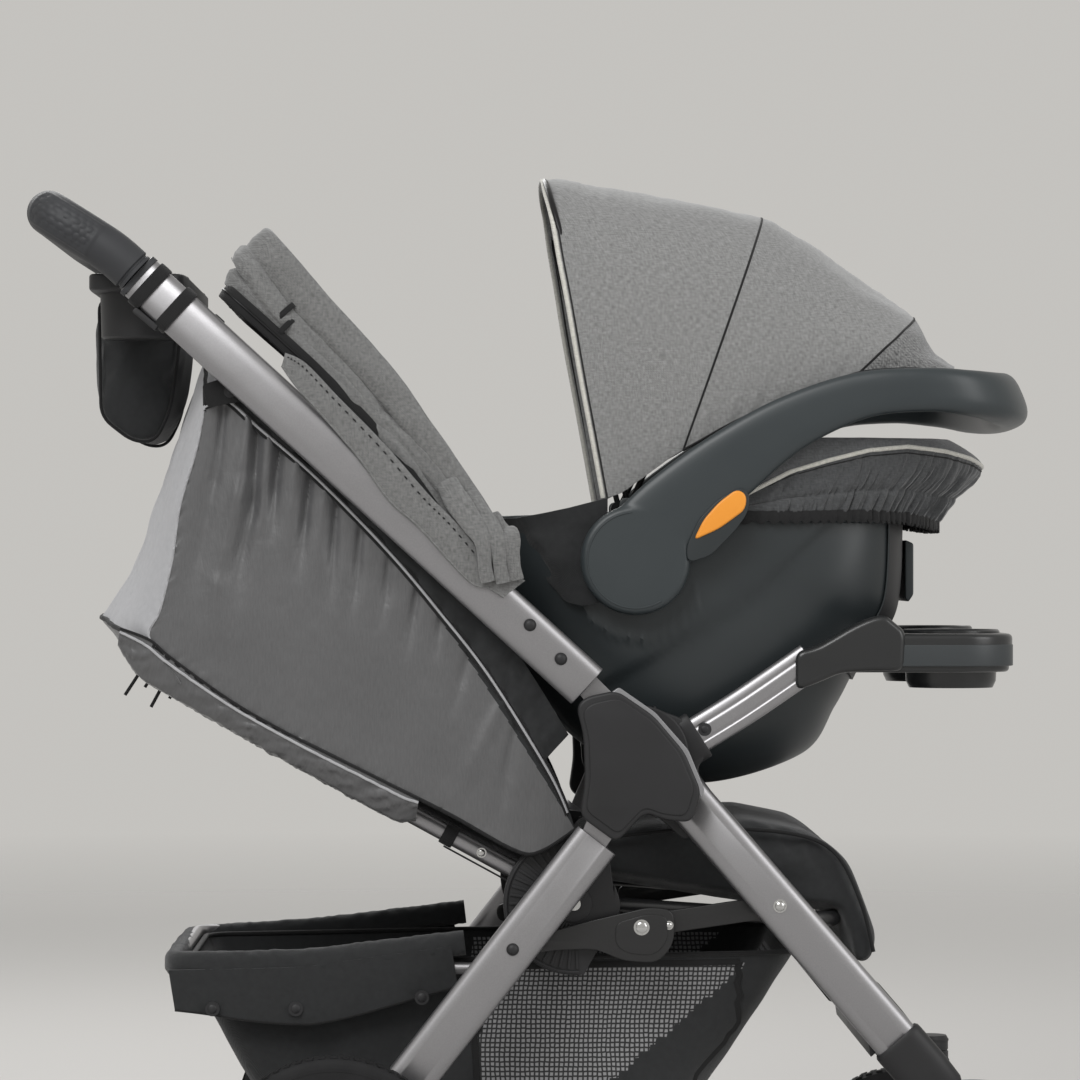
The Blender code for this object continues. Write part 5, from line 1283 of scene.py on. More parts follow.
cushion = fused("seat_cushion_piece", parts)
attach(cushion, "front_frame")
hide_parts("seat_cushion")


# The footrest: one moulded nylon bar between the front legs, with a shallow ribbed tread.
inner = LEG_Y - TUBE_THICK / 2 - 0.0005
rest_line = eased([(0.196, -0.236, 0), (0.214, -0.244, 0), (0.232, -0.266, 0), (0.238, -0.292, 0)], 8)
rest_outline = [(p.x, p.y) for p in rest_line] + [(p.x - 0.009, p.y - 0.0078) for p in reversed(rest_line)]
parts = [slab("rest", softened(rest_outline, 0.0012, 2), -inner, inner, 0.0012, NYLON)]
for number in range(8):
    spot = rest_line[3 + 2 * number]
    ridge = [side(spot.x - 0.0006, spot.y - 0.0006, -0.190), side(spot.x - 0.0006, spot.y - 0.0006, 0.190)]
    parts.append(strand("ridge", ridge, (0.0032, 0.0032, 10, 2.0), NYLON))
rest = fused("footrest_piece", parts)
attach(rest, "front_frame")
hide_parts("footrest")


# The recline frame and its pad: a bent aluminium tube that turns in the two discs, and a
# thin padded panel of dark polyester laced to it.
BACK_Y = 0.2055
BACK_LENGTH = 0.482
back_way = math.radians(151.4)
back_tip = (RECLINE_PIVOT[0] + BACK_LENGTH * math.cos(back_way),
            RECLINE_PIVOT[1] + BACK_LENGTH * math.sin(back_way))
back_path = bent([side(*RECLINE_PIVOT, -BACK_Y), side(*back_tip, -BACK_Y), side(*back_tip, BACK_Y),
                  side(*RECLINE_PIVOT, BACK_Y)], 0.060, 14)
parts = [strand("tube", stepped(back_path, 0.02), (0.0178, 0.0178, 28, 2.0), ALUMINIUM)]
for label, sign in SIDES:
    parts.append(turned("eye", [(0, sign * 0.1970), (0.0112, sign * 0.1970), (0.0120, sign * 0.1980),
                                (0.0120, sign * 0.2140), (0.0064, sign * 0.2142), (0.0064, sign * 0.2308),
                                (0, sign * 0.2308)], side(*RECLINE_PIVOT, 0), ZINC, 40))
tube = fused("seat_back_tube", parts)
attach(tube, "seat_back")
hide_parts("seat_back_frame")
rivets("seat_back_rivets", [side(*beyond(RECLINE_PIVOT, back_tip, 0.104), sign * 0.2142) for label,
                            sign in SIDES],
       ZINC, "seat_back", 0.0038, 0.0020, 0.0050, 0.0010)
pad_line = softened([beyond(RECLINE_PIVOT, back_tip, 0.050, -0.0110),
                     beyond(RECLINE_PIVOT, back_tip, 0.468, 0.0010),
                     beyond(RECLINE_PIVOT, back_tip, 0.468, -0.0150),
                     beyond(RECLINE_PIVOT, back_tip, 0.050, -0.0310)],
                    0.008, 4)
pad = puffed(slab("pad", pad_line, -0.1930, 0.1930, 0.0040, DARK_WEAVE), 0.0060, 3.0, 0.004)
parts = [pad]
back_run = Vector((math.cos(back_way), 0, math.sin(back_way)))
for label, sign in SIDES:
    strap_at = side(*beyond(RECLINE_PIVOT, back_tip, 0.140), sign * BACK_Y)
    loop = [strap_at + Vector((-back_run.z, 0, back_run.x)) * a + Vector((0, b, 0))
            for a, b in oval(0.0212, 0.0212, 24, 2.0)]
    parts.append(strand("loop", loop, (0.0016, 0.0140, 10, 4.0), WEBBING, True, back_run))
    under = [side(*beyond(RECLINE_PIVOT, back_tip, along, 0.0125), sign * 0.2060)
             for along in (0.140, 0.100, 0.060, 0.020)]
    parts.append(strand("under_strap", under, (0.0016, 0.0100, 10, 4.0), WEBBING))
pad = fused("seat_back_pad_piece", parts)
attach(pad, "seat_back")
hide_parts("seat_back_pad")


# The cup tray: glossy black polypropylene on two curved aluminium arms with lengthwise
# grooves. It has a rolled edge, a recessed grey band along its front and two cup wells.
TRAY_PLASTIC = moulded_polypropylene("tray_polypropylene", "#1b1c1d", "#252627", 0.30, 0.2)
TRAY_BAND = moulded_polypropylene("tray_band_polypropylene", "#303436", "#383c3e", 0.42)


def grooved_section(wide, thick, groove=0.0012):
    """An oval with two lengthwise grooves in each broad face."""
    out = []
    for a, b in oval(wide, thick, 120, 3.2):
        dip = 0.0
        for middle in (-wide * 0.20, wide * 0.20):
            dip = max(dip, 1 - abs(a - middle) / 0.0022)
        out.append((a, b - math.copysign(groove * min(1.0, max(0.0, dip) * 1.6), b)))
    return out


arm_path = eased([(0.0575, 0.0175, 0), (0.1050, 0.0470, 0), (0.1700, 0.0915, 0)], 10)
for label, sign in SIDES:
    arm = swept("tray_arm_piece_" + label, [side(p.x, p.y, sign * 0.2170) for p in arm_path],
                lambda share: grooved_section(0.0370, 0.0176), ALUMINIUM)
    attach(arm, "front_frame")
    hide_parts("tray_arm_" + label)
tray_plan = softened([(0.1960, -0.2270), (0.3400, -0.2270), (0.3740, -0.2000), (0.3740, 0.2000),
                      (0.3400, 0.2270),
                      (0.1960, 0.2270), (0.1960, 0.2040), (0.2360, 0.2040), (0.2600, 0.1700),
                      (0.2600, -0.1700),
                      (0.2360, -0.2040), (0.1960, -0.2040)], 0.022, 10)
CUP_U = 0.3170
CUP_Y = 0.1350
wells = [circle((CUP_U, sign * CUP_Y), 0.0435, 64) for label, sign in SIDES]
parts = [plan_slab("top", tray_plan, 0.0960, 0.1180, 0.0050, TRAY_PLASTIC, wells, 5)]
low_plan = [(u - (0.003 if u > 0.3 else -0.003), y * 0.985) for u, y in tray_plan]
parts.append(plan_slab("skirt", low_plan, 0.0800, 0.0990, 0.0040, TRAY_PLASTIC, wells, 4))
band_plan = [(u + (0.0006 if u > 0.3 else -0.0006), y * 1.002) for u, y in tray_plan]
parts.append(plan_slab("band", band_plan, 0.0860, 0.1075, 0.0012, TRAY_BAND, wells))
for label, sign in SIDES:
    parts.append(turned("well", [(0.0432, 0.1190), (0.0448, 0.1212), (0.0470, 0.1216), (0.0488, 0.1200),
                                 (0.0492, 0.1160), (0.0470, 0.1120), (0.0462, 0.0900), (0.0452, 0.0700),
                                 (0.0420, 0.0632), (0, 0.0626), (0, 0.0655), (0.0395, 0.0662),
                                 (0.0418, 0.0700)],
                        side(CUP_U, 0.0, sign * CUP_Y), TRAY_PLASTIC, 80, True))
    arm_outline = softened([(0.1545, 0.0620), (0.1750, 0.0690), (0.2000, 0.0800), (0.2300, 0.0815),
                            (0.2620, 0.0815),
                            (0.2640, 0.1200), (0.2530, 0.1290), (0.2434, 0.1372), (0.2300, 0.1350),
                            (0.2100, 0.1260),
                            (0.1900, 0.1140), (0.1743, 0.1052), (0.1545, 0.1010)], 0.010, 8)
    parts.append(slab("tray_side", arm_outline, *layer(sign, 0.2040, 0.2300), 0.0060, TRAY_PLASTIC, (), 5))
tray = fused("cup_tray_piece", parts)
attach(tray, "front_frame")
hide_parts("cup_tray")
rivets("tray_arm_rivets", [side(0.0650, 0.0240, sign * 0.2258) for label, sign in SIDES], NYLON,
       "front_frame",
       0.0042, 0.0016, 0.0066, 0.0014)


# The basket: a tub of black woven polyester with an open mesh panel in each side and front,
# bound edges and snaps, that hangs from the seat rail in front and from the hoop behind.
def open_mesh(name):
    """Knitted mesh: dark net with open cells that show the pale ground behind, about 5 mm across."""
    made, tree, shader = painted(name, {"Roughness": 0.85, "IOR": 1.45})
    where = add(tree, "ShaderNodeTexCoord")
    cloth = cloth_run(tree, where)
    flat = add(tree, "ShaderNodeCombineXYZ", (), {0: cloth["run"], 1: cloth["height"]})
    cells = add(tree, "ShaderNodeTexVoronoi", {"feature": "DISTANCE_TO_EDGE", "voronoi_dimensions": "2D"},
                {"Vector": flat.outputs[0], "Scale": 210.0, "Randomness": 0.15})
    open_part = add(tree, "ShaderNodeMapRange", (),
                    {0: cells.outputs["Distance"], 1: 0.12, 2: 0.24, 3: 0.0, 4: 1.0})
    tint = add(tree, "ShaderNodeMix", {"data_type": "RGBA"},
               {0: open_part.outputs[0], 6: linear("#2a2a2b"), 7: linear("#8d8d8e")})
    tree.links.new(tint.outputs[2], shader.inputs["Base Color"])
    bumps = add(tree, "ShaderNodeBump", {"invert": True},
                {"Strength": 0.5, "Distance": 0.0005, "Height": open_part.outputs[0]})
    tree.links.new(bumps.outputs[0], shader.inputs["Normal"])
    return made


MESH_NET = open_mesh("basket_mesh")


def skin(name, rows, finish, thick=0.0, closed=False, picked=None, other=None, sharp=60):
    """A sheet through rows of points with UV in metres; picked(row, column) takes the other finish."""
    mesh = bpy.data.meshes.new(name)
    work = bmesh.new()
    layer_uv = work.loops.layers.uv.new("flat")
    grid = [[work.verts.new(point) for point in row] for row in rows]
    ups = [0.0]
    for before, after in zip(rows, rows[1:]):
        middle = len(before) // 2
        ups.append(ups[-1] + (Vector(after[middle]) - Vector(before[middle])).length)
    for index in range(len(rows) - 1):
        row = rows[index]
        alongs = [0.0]
        for before, after in zip(row, row[1:] + row[:1]):
            alongs.append(alongs[-1] + (Vector(after) - Vector(before)).length)
        for column in range(len(row) if closed else len(row) - 1):
            after = (column + 1) % len(row)
            face = work.faces.new((grid[index][column], grid[index][after], grid[index + 1][after],
                                   grid[index + 1][column]))
            if picked and picked(index, column):
                face.material_index = 1
            spots = ((alongs[column], ups[index]), (alongs[column + 1], ups[index]),
                     (alongs[column + 1], ups[index + 1]), (alongs[column], ups[index + 1]))
            for loop, spot in zip(face.loops, spots):
                loop[layer_uv].uv = spot
    bmesh.ops.remove_doubles(work, verts=work.verts, dist=0.00005)
    bmesh.ops.recalc_face_normals(work, faces=work.faces)
    work.to_mesh(mesh)
    work.free()
    mesh.materials.append(finish)
    if other:
        mesh.materials.append(other)
    piece = linked(name, mesh)
    if thick:
        wall = piece.modifiers.new("cloth", "SOLIDIFY")
        wall.thickness = thick
        wall.offset = 0.0
    return frozen(piece, sharp)


def between(values, share):
    """The value at a share of the way through a list of evenly spaced values."""
    at = share * (len(values) - 1)
    low = min(int(at), len(values) - 2)
    return values[low] + (values[low + 1] - values[low]) * (at - low)


def ripple(x, y, z):
    """An even, repeatable noise between about -1 and 1."""
    return noise.noise(Vector((x, y, z)))


def sideways(step):
    """A step across the stroller, to its left."""
    return Vector((0, step, 0))


def box_loop(u_rear, u_front, y_half, corner, w_rear, w_front):
    """A rounded rectangle seen from above as world points, its height running from rear to front."""
    plan = softened([(u_rear, -y_half), (u_front, -y_half), (u_front, y_half), (u_rear, y_half)], corner, 8)
    line = stepped([Vector((u, y, 0)) for u, y in plan + plan[:1]], 0.006)[:-1]
    out = []
    for p in line:
        share = (p.x - u_rear) / (u_front - u_rear)
        out.append((p.x, p.y, w_rear + (w_front - w_rear) * share))
    return out


def resampled(loop, count):
    """A closed loop as count evenly spaced points, starting where it starts."""
    points = [Vector(point) for point in loop] + [Vector(loop[0])]
    lengths = [0.0]
    for before, after in zip(points, points[1:]):
        lengths.append(lengths[-1] + (after - before).length)
    out = []
    index = 0
    for number in range(count):
        target = lengths[-1] * number / count
        while lengths[index + 1] < target:
            index += 1
        share = (target - lengths[index]) / (lengths[index + 1] - lengths[index])
        out.append(points[index].lerp(points[index + 1], share))
    return out


BASKET_COUNT = 360
BASKET_LEVELS = 26
TUB_LIMIT = 0.1995
rim_loop = resampled(box_loop(-0.4480, 0.1560, 0.1985, 0.030, -0.2100, -0.1980), BASKET_COUNT)
floor_loop = resampled(box_loop(-0.3560, 0.0460, 0.1900, 0.045, -0.3820, -0.3720), BASKET_COUNT)
rows = []
for level in range(BASKET_LEVELS + 1):
    t = level / BASKET_LEVELS
    drop = t ** 0.94
    row = []
    for number, (a, b) in enumerate(zip(rim_loop, floor_loop)):
        p = a.lerp(b, t)
        p.z = a.z + (b.z - a.z) * drop
        slack = math.sin(math.pi * t)
        place_noise = ripple(p.x * 14, p.z * 9, p.y * 6) * 0.0065
        fine = ripple(p.x * 40 + 5, p.z * 26, p.y * 22) * 0.0022
        outward = Vector((p.x + 0.15, p.y * 1.6, 0)).normalized()
        p = p + outward * ((place_noise + fine) * slack - 0.004 * slack)
        p.y = max(-TUB_LIMIT, min(TUB_LIMIT, p.y))
        row.append(side(p.x, p.z, p.y))
    rows.append(row)


def mesh_panel(index, column):
    """Whether a face of the tub is in one of its open mesh panels."""
    p = rows[index][column]
    u = p.x - HUB.x
    panel_end = 0.110 - 0.20 * index / BASKET_LEVELS
    on_side = abs(p.y) > 0.170 and -0.160 < u < panel_end and 1 <= index <= BASKET_LEVELS - 5
    in_front = u > 0.03 and abs(p.y) < 0.150 and 2 <= index <= BASKET_LEVELS - 3
    return on_side or in_front


tub = skin("tub", rows, DARK_WEAVE, 0.0016, True, mesh_panel, MESH_NET)
bed_rows = []
for ring in range(9):
    share = 1 - ring / 8.4
    bed_rows.append([side(-0.155 + (p.x - HUB.x + 0.155) * share,
                          p.z - HUB.z - 0.003 * math.sin(math.pi * min(1.0, 1 - share)), p.y * share)
                     for p in rows[-1]])
bed = skin("bed", bed_rows, DARK_WEAVE, 0.0016, True)
bindings = [strand("binding", rows[0], (0.0065, 0.0050, 12, 2.6), WEBBING, True, Vector((0, 0, 1))),
            strand("seam", rows[-1], (0.0040, 0.0040, 10, 2.0), WEBBING, True, Vector((0, 0, 1)))]
for label, sign in SIDES:
    for u_line in (-0.160, 0.100):
        line = []
        for level in range(1, BASKET_LEVELS - 3):
            near = min(rows[level], key=lambda p: abs(p.x - HUB.x - u_line)
                       + (10 if p.y * sign < 0.170 else 0))
            line.append(near + sideways(sign * 0.0008))
        bindings.append(strand("trim", line, (0.0070, 0.0024, 10, 3.0), WEBBING))
    for level in (1, BASKET_LEVELS - 4):
        line = [p + sideways(sign * 0.0008) for p in rows[level]
                if p.y * sign > 0.170 and -0.162 < p.x - HUB.x < 0.102]
        line.sort(key=lambda p: p.x)
        bindings.append(strand("trim", line, (0.0070, 0.0024, 10, 3.0), WEBBING))
basket = fused("basket_tub", [tub, bed] + bindings)
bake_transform(basket)
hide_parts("basket")
sleeve_path = bent([side(-0.1720, -0.1870, -0.2130), side(-0.3300, -0.2060, -0.2130),
                    side(-0.4600, -0.2080, -0.2130),
                    side(-0.4640, -0.2140, 0.2130), side(-0.3300, -0.2060, 0.2130),
                    side(-0.1720, -0.1870, 0.2130)],
                   0.030, 10)


def sleeve_section(share):
    """The oval of cloth round the hoop, puckered along its length."""
    out = []
    for a, b in oval(0.0190, 0.0240, 28, 2.2):
        pucker = 0.0016 * ripple(share * 70, a * 80, b * 80) + \
            0.0012 * ripple(share * 190, 2.0, b * 120)
        out.append((a + math.copysign(pucker, a), b + math.copysign(pucker, b)))
    return out


hoop_cloth = [swept("sleeve", stepped(sleeve_path, 0.004), sleeve_section, DARK_WEAVE, False,
                    Vector((0, 0, 1)))]
FLAP_US = (-0.4640, -0.4000, -0.3300, -0.2600, -0.1850)
FLAP_WS = (-0.2130, -0.2120, -0.2100, -0.2000, -0.1900)
FLAP_COLUMNS = 90
for label, sign in SIDES:
    flap_rows = []
    for level in range(15):
        t = level / 14
        row = []
        for column in range(FLAP_COLUMNS + 1):
            s = column / FLAP_COLUMNS
            u = between(FLAP_US, s)
            w = between(FLAP_WS, s)
            fall = 0.044 + 0.009 * math.sin(math.pi * s) - 0.004 * math.cos(6 * s)
            wave = 0.0030 * ripple(s * 9, t * 1.6, 4.0 + sign) * t
            row.append(side(u + 0.006 * t, w - fall * t, sign * (0.2222 - 0.0060 * t + wave)))
        flap_rows.append(row)
    hoop_cloth.append(skin("flap", flap_rows, DARK_WEAVE, 0.0016))
    hoop_cloth.append(strand("flap_hem", flap_rows[-1], SEAM_CORD, WEBBING))
hoop_cloth = fused("basket_hoop_cloth", hoop_cloth)
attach(hoop_cloth, "rear_frame")
snap_places = []
for u_snap, w_snap in ((-0.4208, -0.2518), (-0.3387, -0.2518), (-0.2142, -0.2409)):
    for label, sign in SIDES:
        snap_places.append(side(u_snap, w_snap, sign * 0.2200))
rivets("basket_snaps", snap_places, NYLON, "rear_frame", 0.0050, 0.0022, 0.0072, 0.0014)


# The stroller's canopy, folded down behind the carrier: three spring-steel bows that turn on
# the pins of the handle tubes, and grey twill that lies between them in slack lobes with a
# zipped dark band and a stitched strip along its rear edge.
BOW_STEEL = hazy_metal("spring_steel", 0.6, "#242425", 500.0, 0.30, 0.46)


def heather_twill(name, low, high, rib=0.0024):
    """Heather twill: grey yarns of several shades in a diagonal rib, drawn about twice its real pitch."""
    made, tree, shader = painted(name,
                                 {"Roughness": 0.92, "IOR": 1.5, "Sheen Weight": 0.35, "Sheen Roughness": 0.5,
                                        "Specular IOR Level": 0.25})
    where = add(tree, "ShaderNodeTexCoord")
    cloth = cloth_run(tree, where)
    diagonal = add(tree, "ShaderNodeMath", {"operation": "ADD"}, {0: cloth["run"], 1: cloth["height"]})
    turn = add(tree, "ShaderNodeMath", {"operation": "MULTIPLY"},
               {0: diagonal.outputs[0], 1: 2 * math.pi / rib})
    ribs = add(tree, "ShaderNodeMath", {"operation": "SINE"}, {0: turn.outputs[0]})
    stretch = add(tree, "ShaderNodeCombineXYZ", (), {0: cloth["run"], 1: cloth["height"]})
    long_way = add(tree, "ShaderNodeVectorMath", {"operation": "MULTIPLY"},
                   {0: stretch.outputs[0], 1: (900.0, 160.0, 1.0)})
    cross_way = add(tree, "ShaderNodeVectorMath", {"operation": "MULTIPLY"},
                    {0: stretch.outputs[0], 1: (160.0, 900.0, 1.0)})
    warp = add(tree, "ShaderNodeTexNoise", {"noise_dimensions": "2D"},
               {"Vector": long_way.outputs[0], "Scale": 1.0})
    weft = add(tree, "ShaderNodeTexNoise", {"noise_dimensions": "2D"},
               {"Vector": cross_way.outputs[0], "Scale": 1.0})
    yarns = add(tree, "ShaderNodeMath", {"operation": "ADD"},
                {0: warp.outputs["Fac"], 1: weft.outputs["Fac"]})
    mixed_yarn = add(tree, "ShaderNodeMath", {"operation": "MULTIPLY_ADD"},
                     {0: ribs.outputs[0], 1: 0.10, 2: yarns.outputs[0]})
    spread = add(tree, "ShaderNodeMapRange", (), {0: mixed_yarn.outputs[0], 1: 0.62, 2: 1.38})
    tint = add(tree, "ShaderNodeMix", {"data_type": "RGBA"},
               {0: spread.outputs[0], 6: linear(low), 7: linear(high)})
    tree.links.new(tint.outputs[2], shader.inputs["Base Color"])
    bumps = add(tree, "ShaderNodeBump", (),
                {"Strength": 0.45, "Distance": 0.0004, "Height": mixed_yarn.outputs[0]})
    tree.links.new(bumps.outputs[0], shader.inputs["Normal"])
    return made


CANOPY_TWILL = heather_twill("canopy_twill", "#5c5c5b", "#818180")
SHADE_TWILL = heather_twill("sunshade_twill", "#6b6b6a", "#929291")
PALE_TWILL = heather_twill("pale_piping_twill", "#b4b2aa", "#d3d1c9")
EYE_HALF = 0.0026
for name, tip, lateral, body in (("canopy_rear_bow", (-0.3985, 0.4650), 0.2475, "handle_frame"),
                                 ("canopy_mid_bow", (-0.3900, 0.4900), 0.2418, "canopy_mid"),
                                 ("canopy_front_bow", (-0.3775, 0.5099), 0.2360, "canopy_front")):
    path = bent([side(*CANOPY_PIVOT, -lateral), side(*tip, -lateral), side(*tip, lateral),
                 side(*CANOPY_PIVOT, lateral)], 0.045, 12)
    parts = [strand("bow", stepped(path, 0.02), (0.0052, 0.0052, 16, 2.0), BOW_STEEL)]
    for label, sign in SIDES:
        middle = sign * lateral
        parts.append(turned("eye", [(0.0043, middle - EYE_HALF), (0.0098, middle - EYE_HALF),
                                    (0.0105, middle - EYE_HALF + 0.0007),
                                    (0.0105, middle + EYE_HALF - 0.0007), (0.0098, middle + EYE_HALF),
                                    (0.0043, middle + EYE_HALF)], side(*CANOPY_PIVOT, 0), BOW_STEEL, 32))
    bow = fused(name + "_piece", parts)
    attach(bow, body)
    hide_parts(name)


SLACK_BEND = 0.03


def u_path(line, lateral, radius, step=0.004):
    """From the pivot side up along the line on the right, across, and down again on the left."""
    right = [side(u, w, -lateral) for u, w in line]
    left = [side(u, w, lateral) for u, w in reversed(line)]
    tips = len(line)
    points = right + left
    out = [points[0]]
    for index in range(1, len(points) - 1):
        before, corner, after = points[index - 1:index + 2]
        bend_r = radius if index in (tips - 1, tips) else SLACK_BEND
        reach = min(bend_r, (before - corner).length * SIDE_SHARE, (after - corner).length * SIDE_SHARE)
        out += bend(before, corner, after, reach, reach, 10)
    out.append(points[-1])
    return stepped(out, step)


def lobe(name, line, widths, thick, lateral, finish, wrinkle, seed, radius=0.055):
    """A slack fold of canopy cloth: a flattened tube along a U path, wrinkled across its length."""
    path = u_path(line, lateral, radius)
    total = sum((b - a).length for a, b in zip(path, path[1:]))
    side_length = sum((Vector(b) - Vector(a)).length for a, b in zip(line, line[1:]))

    def section(share):
        s = min(share, 1 - share) * total
        reach = min(1.0, s / side_length)
        width = between(widths, reach)
        ends = min(1.0, 0.35 + s / 0.02)
        out = []
        for a, b in oval(width * ends, thick * ends, 40, 2.2):
            crease = ripple(share * 26 + seed, a * 60, b * 90) * wrinkle
            crease += ripple(share * 80 + seed * 3, a * 190, b * 120) * wrinkle * 0.35
            out.append((a + crease * 0.5 * math.copysign(1, a), b + crease * math.copysign(1, b)))
        return out

    return swept(name, path, section, finish)


lobe_one = lobe("front_lobe", [(-0.1330, 0.1690), (-0.1373, 0.1961), (-0.1569, 0.2353), (-0.2118, 0.3137),
                               (-0.2510, 0.3667), (-0.3285, 0.4490), (-0.3745, 0.5075)],
                (0.016, 0.024, 0.026, 0.030, 0.034, 0.036, 0.030), 0.0120, 0.2550, CANOPY_TWILL, 0.0022, 1.0)
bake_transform(lobe_one)
lobe_two = lobe("middle_lobe", [(-0.1440, 0.1660), (-0.1430, 0.2000), (-0.1660, 0.2260), (-0.2030, 0.2740),
                                (-0.2951, 0.3770), (-0.3569, 0.4400), (-0.3930, 0.4930)],
                (0.010, 0.016, 0.018, 0.020, 0.020, 0.020, 0.022), 0.0110, 0.2545, CANOPY_TWILL, 0.0045, 7.0)
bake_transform(lobe_two)
lobe_three = lobe("rear_lobe", [(-0.1500, 0.1640), (-0.1640, 0.2020), (-0.1892, 0.2300), (-0.2451, 0.3040),
                                (-0.3040, 0.3740), (-0.3481, 0.4190), (-0.4010, 0.4700)],
                  (0.010, 0.015, 0.019, 0.021, 0.020, 0.019, 0.020), 0.0105, 0.2545, CANOPY_TWILL, 0.0040,
                  13.0)
ZIP_LINE = [(-0.1690, 0.1950), (-0.1780, 0.2060), (-0.2157, 0.2600), (-0.2569, 0.3120), (-0.3040, 0.3610),
            (-0.3510, 0.4060), (-0.4090, 0.4570)]
zip_band = lobe("zip_band", ZIP_LINE, (0.009, 0.014, 0.016, 0.017, 0.017, 0.016, 0.016), 0.0040, 0.2600,
                WEBBING, 0.0010, 17.0)
zip_teeth = lobe("zip_teeth", ZIP_LINE, (0.0032, 0.0032, 0.0032), 0.0058, 0.2602, BOW_STEEL, 0.0, 17.0)
rear_parts = [lobe_three, zip_band, zip_teeth]
STRIP_LOW = eased([(-0.3502, 0.3806, 0), (-0.3356, 0.3601, 0), (-0.3092, 0.3308, 0), (-0.2741, 0.2898, 0),
                   (-0.2448, 0.2488, 0), (-0.2155, 0.2224, 0), (-0.1687, 0.1717, 0), (-0.1482, 0.1639, 0),
                   (-0.1335, 0.1551, 0)], 12)
STRIP_HIGH = eased([(-0.3470, 0.3930, 0), (-0.3270, 0.3830, 0), (-0.2960, 0.3510, 0), (-0.2500, 0.3040, 0),
                    (-0.2080, 0.2560, 0), (-0.1790, 0.2260, 0), (-0.1480, 0.1900, 0), (-0.1280, 0.1800, 0),
                    (-0.1130, 0.1710, 0)], 12)
for label, sign in SIDES:
    strip_rows = []
    for index in range(17):
        t = index / 16
        row = []
        for low, high in zip(STRIP_LOW, STRIP_HIGH):
            p = low.lerp(high, t)
            roll = 0.0016 * math.sin(math.pi * t) ** 0.6 + 0.0011 * ripple(p.x * 60, p.y * 60, 5.0)
            row.append(side(p.x, p.y, sign * (0.2780 + roll)))
        strip_rows.append(row)
    rear_parts.append(skin("stitched_strip", strip_rows, CANOPY_TWILL, 0.0014))
    rear_parts.append(strand("strip_fold", [p + sideways(sign * 0.0006) for p in strip_rows[0]],
                            (0.0024, 0.0024, 10, 2.0), CANOPY_TWILL))
    for number in range(3, len(STRIP_HIGH) - 8):
        if number % 2:
            stitch = [strip_rows[13][number] + sideways(sign * 0.0012),
                      strip_rows[13][number].lerp(strip_rows[13][number + 1], 0.75) + sideways(sign * 0.0012)]
            rear_parts.append(strand("stitch", stitch, (0.0014, 0.0014, 6, 2.0), WEBBING))
    for top, foot in (((-0.1900, 0.2680), (-0.1520, 0.1840)), ((-0.1700, 0.2560), (-0.1370, 0.1830)),
                      ((-0.1480, 0.2340), (-0.1240, 0.1860))):
        fold_line = eased([side(*top, sign * 0.2600), side(top[0] + 0.010, top[1] - 0.018, sign * 0.2725),
                           side(foot[0] - 0.004, foot[1] + 0.028, sign * 0.2850),
                           side(foot[0], foot[1], sign * 0.2850),
                           side(foot[0] + 0.003, foot[1] - 0.014, sign * 0.2835)], 8)
        rear_parts.append(swept("fold_end", fold_line, lambda share: [
            (a * (0.55 + 0.45 * math.sin(math.pi * min(1, share * 1.15 + 0.2))) +
             0.0010 * ripple(share * 9, a * 150, 3.0), b) for a, b in oval(0.0250, 0.0072, 28, 2.0)],
                                CANOPY_TWILL, False, Vector((0, 1, 0))))
rear_folds = fused("canopy_rear_folds", rear_parts)
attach(rear_folds, "handle_frame")
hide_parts("canopy_fabric")
bands = []
for spot, way in (((-0.3480, 0.4340), (-0.66, 0.75)), ((-0.3480, 0.4190), (-0.70, 0.71))):
    for label, sign in SIDES:
        centre = side(spot[0], spot[1], sign * 0.2550)
        direction = Vector((way[0], 0, way[1])).normalized()
        loop = [centre + direction.cross(Vector((0, 1, 0))) * a + Vector((0, b, 0)) for a, b in
                oval(0.0235, 0.0142, 40, 2.4)]
        bands.append(strand("band", loop, (0.0016, 0.0060, 10, 3.0), WEBBING, True, direction))
bands = fused("canopy_bands", bands)
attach(bands, "handle_frame")


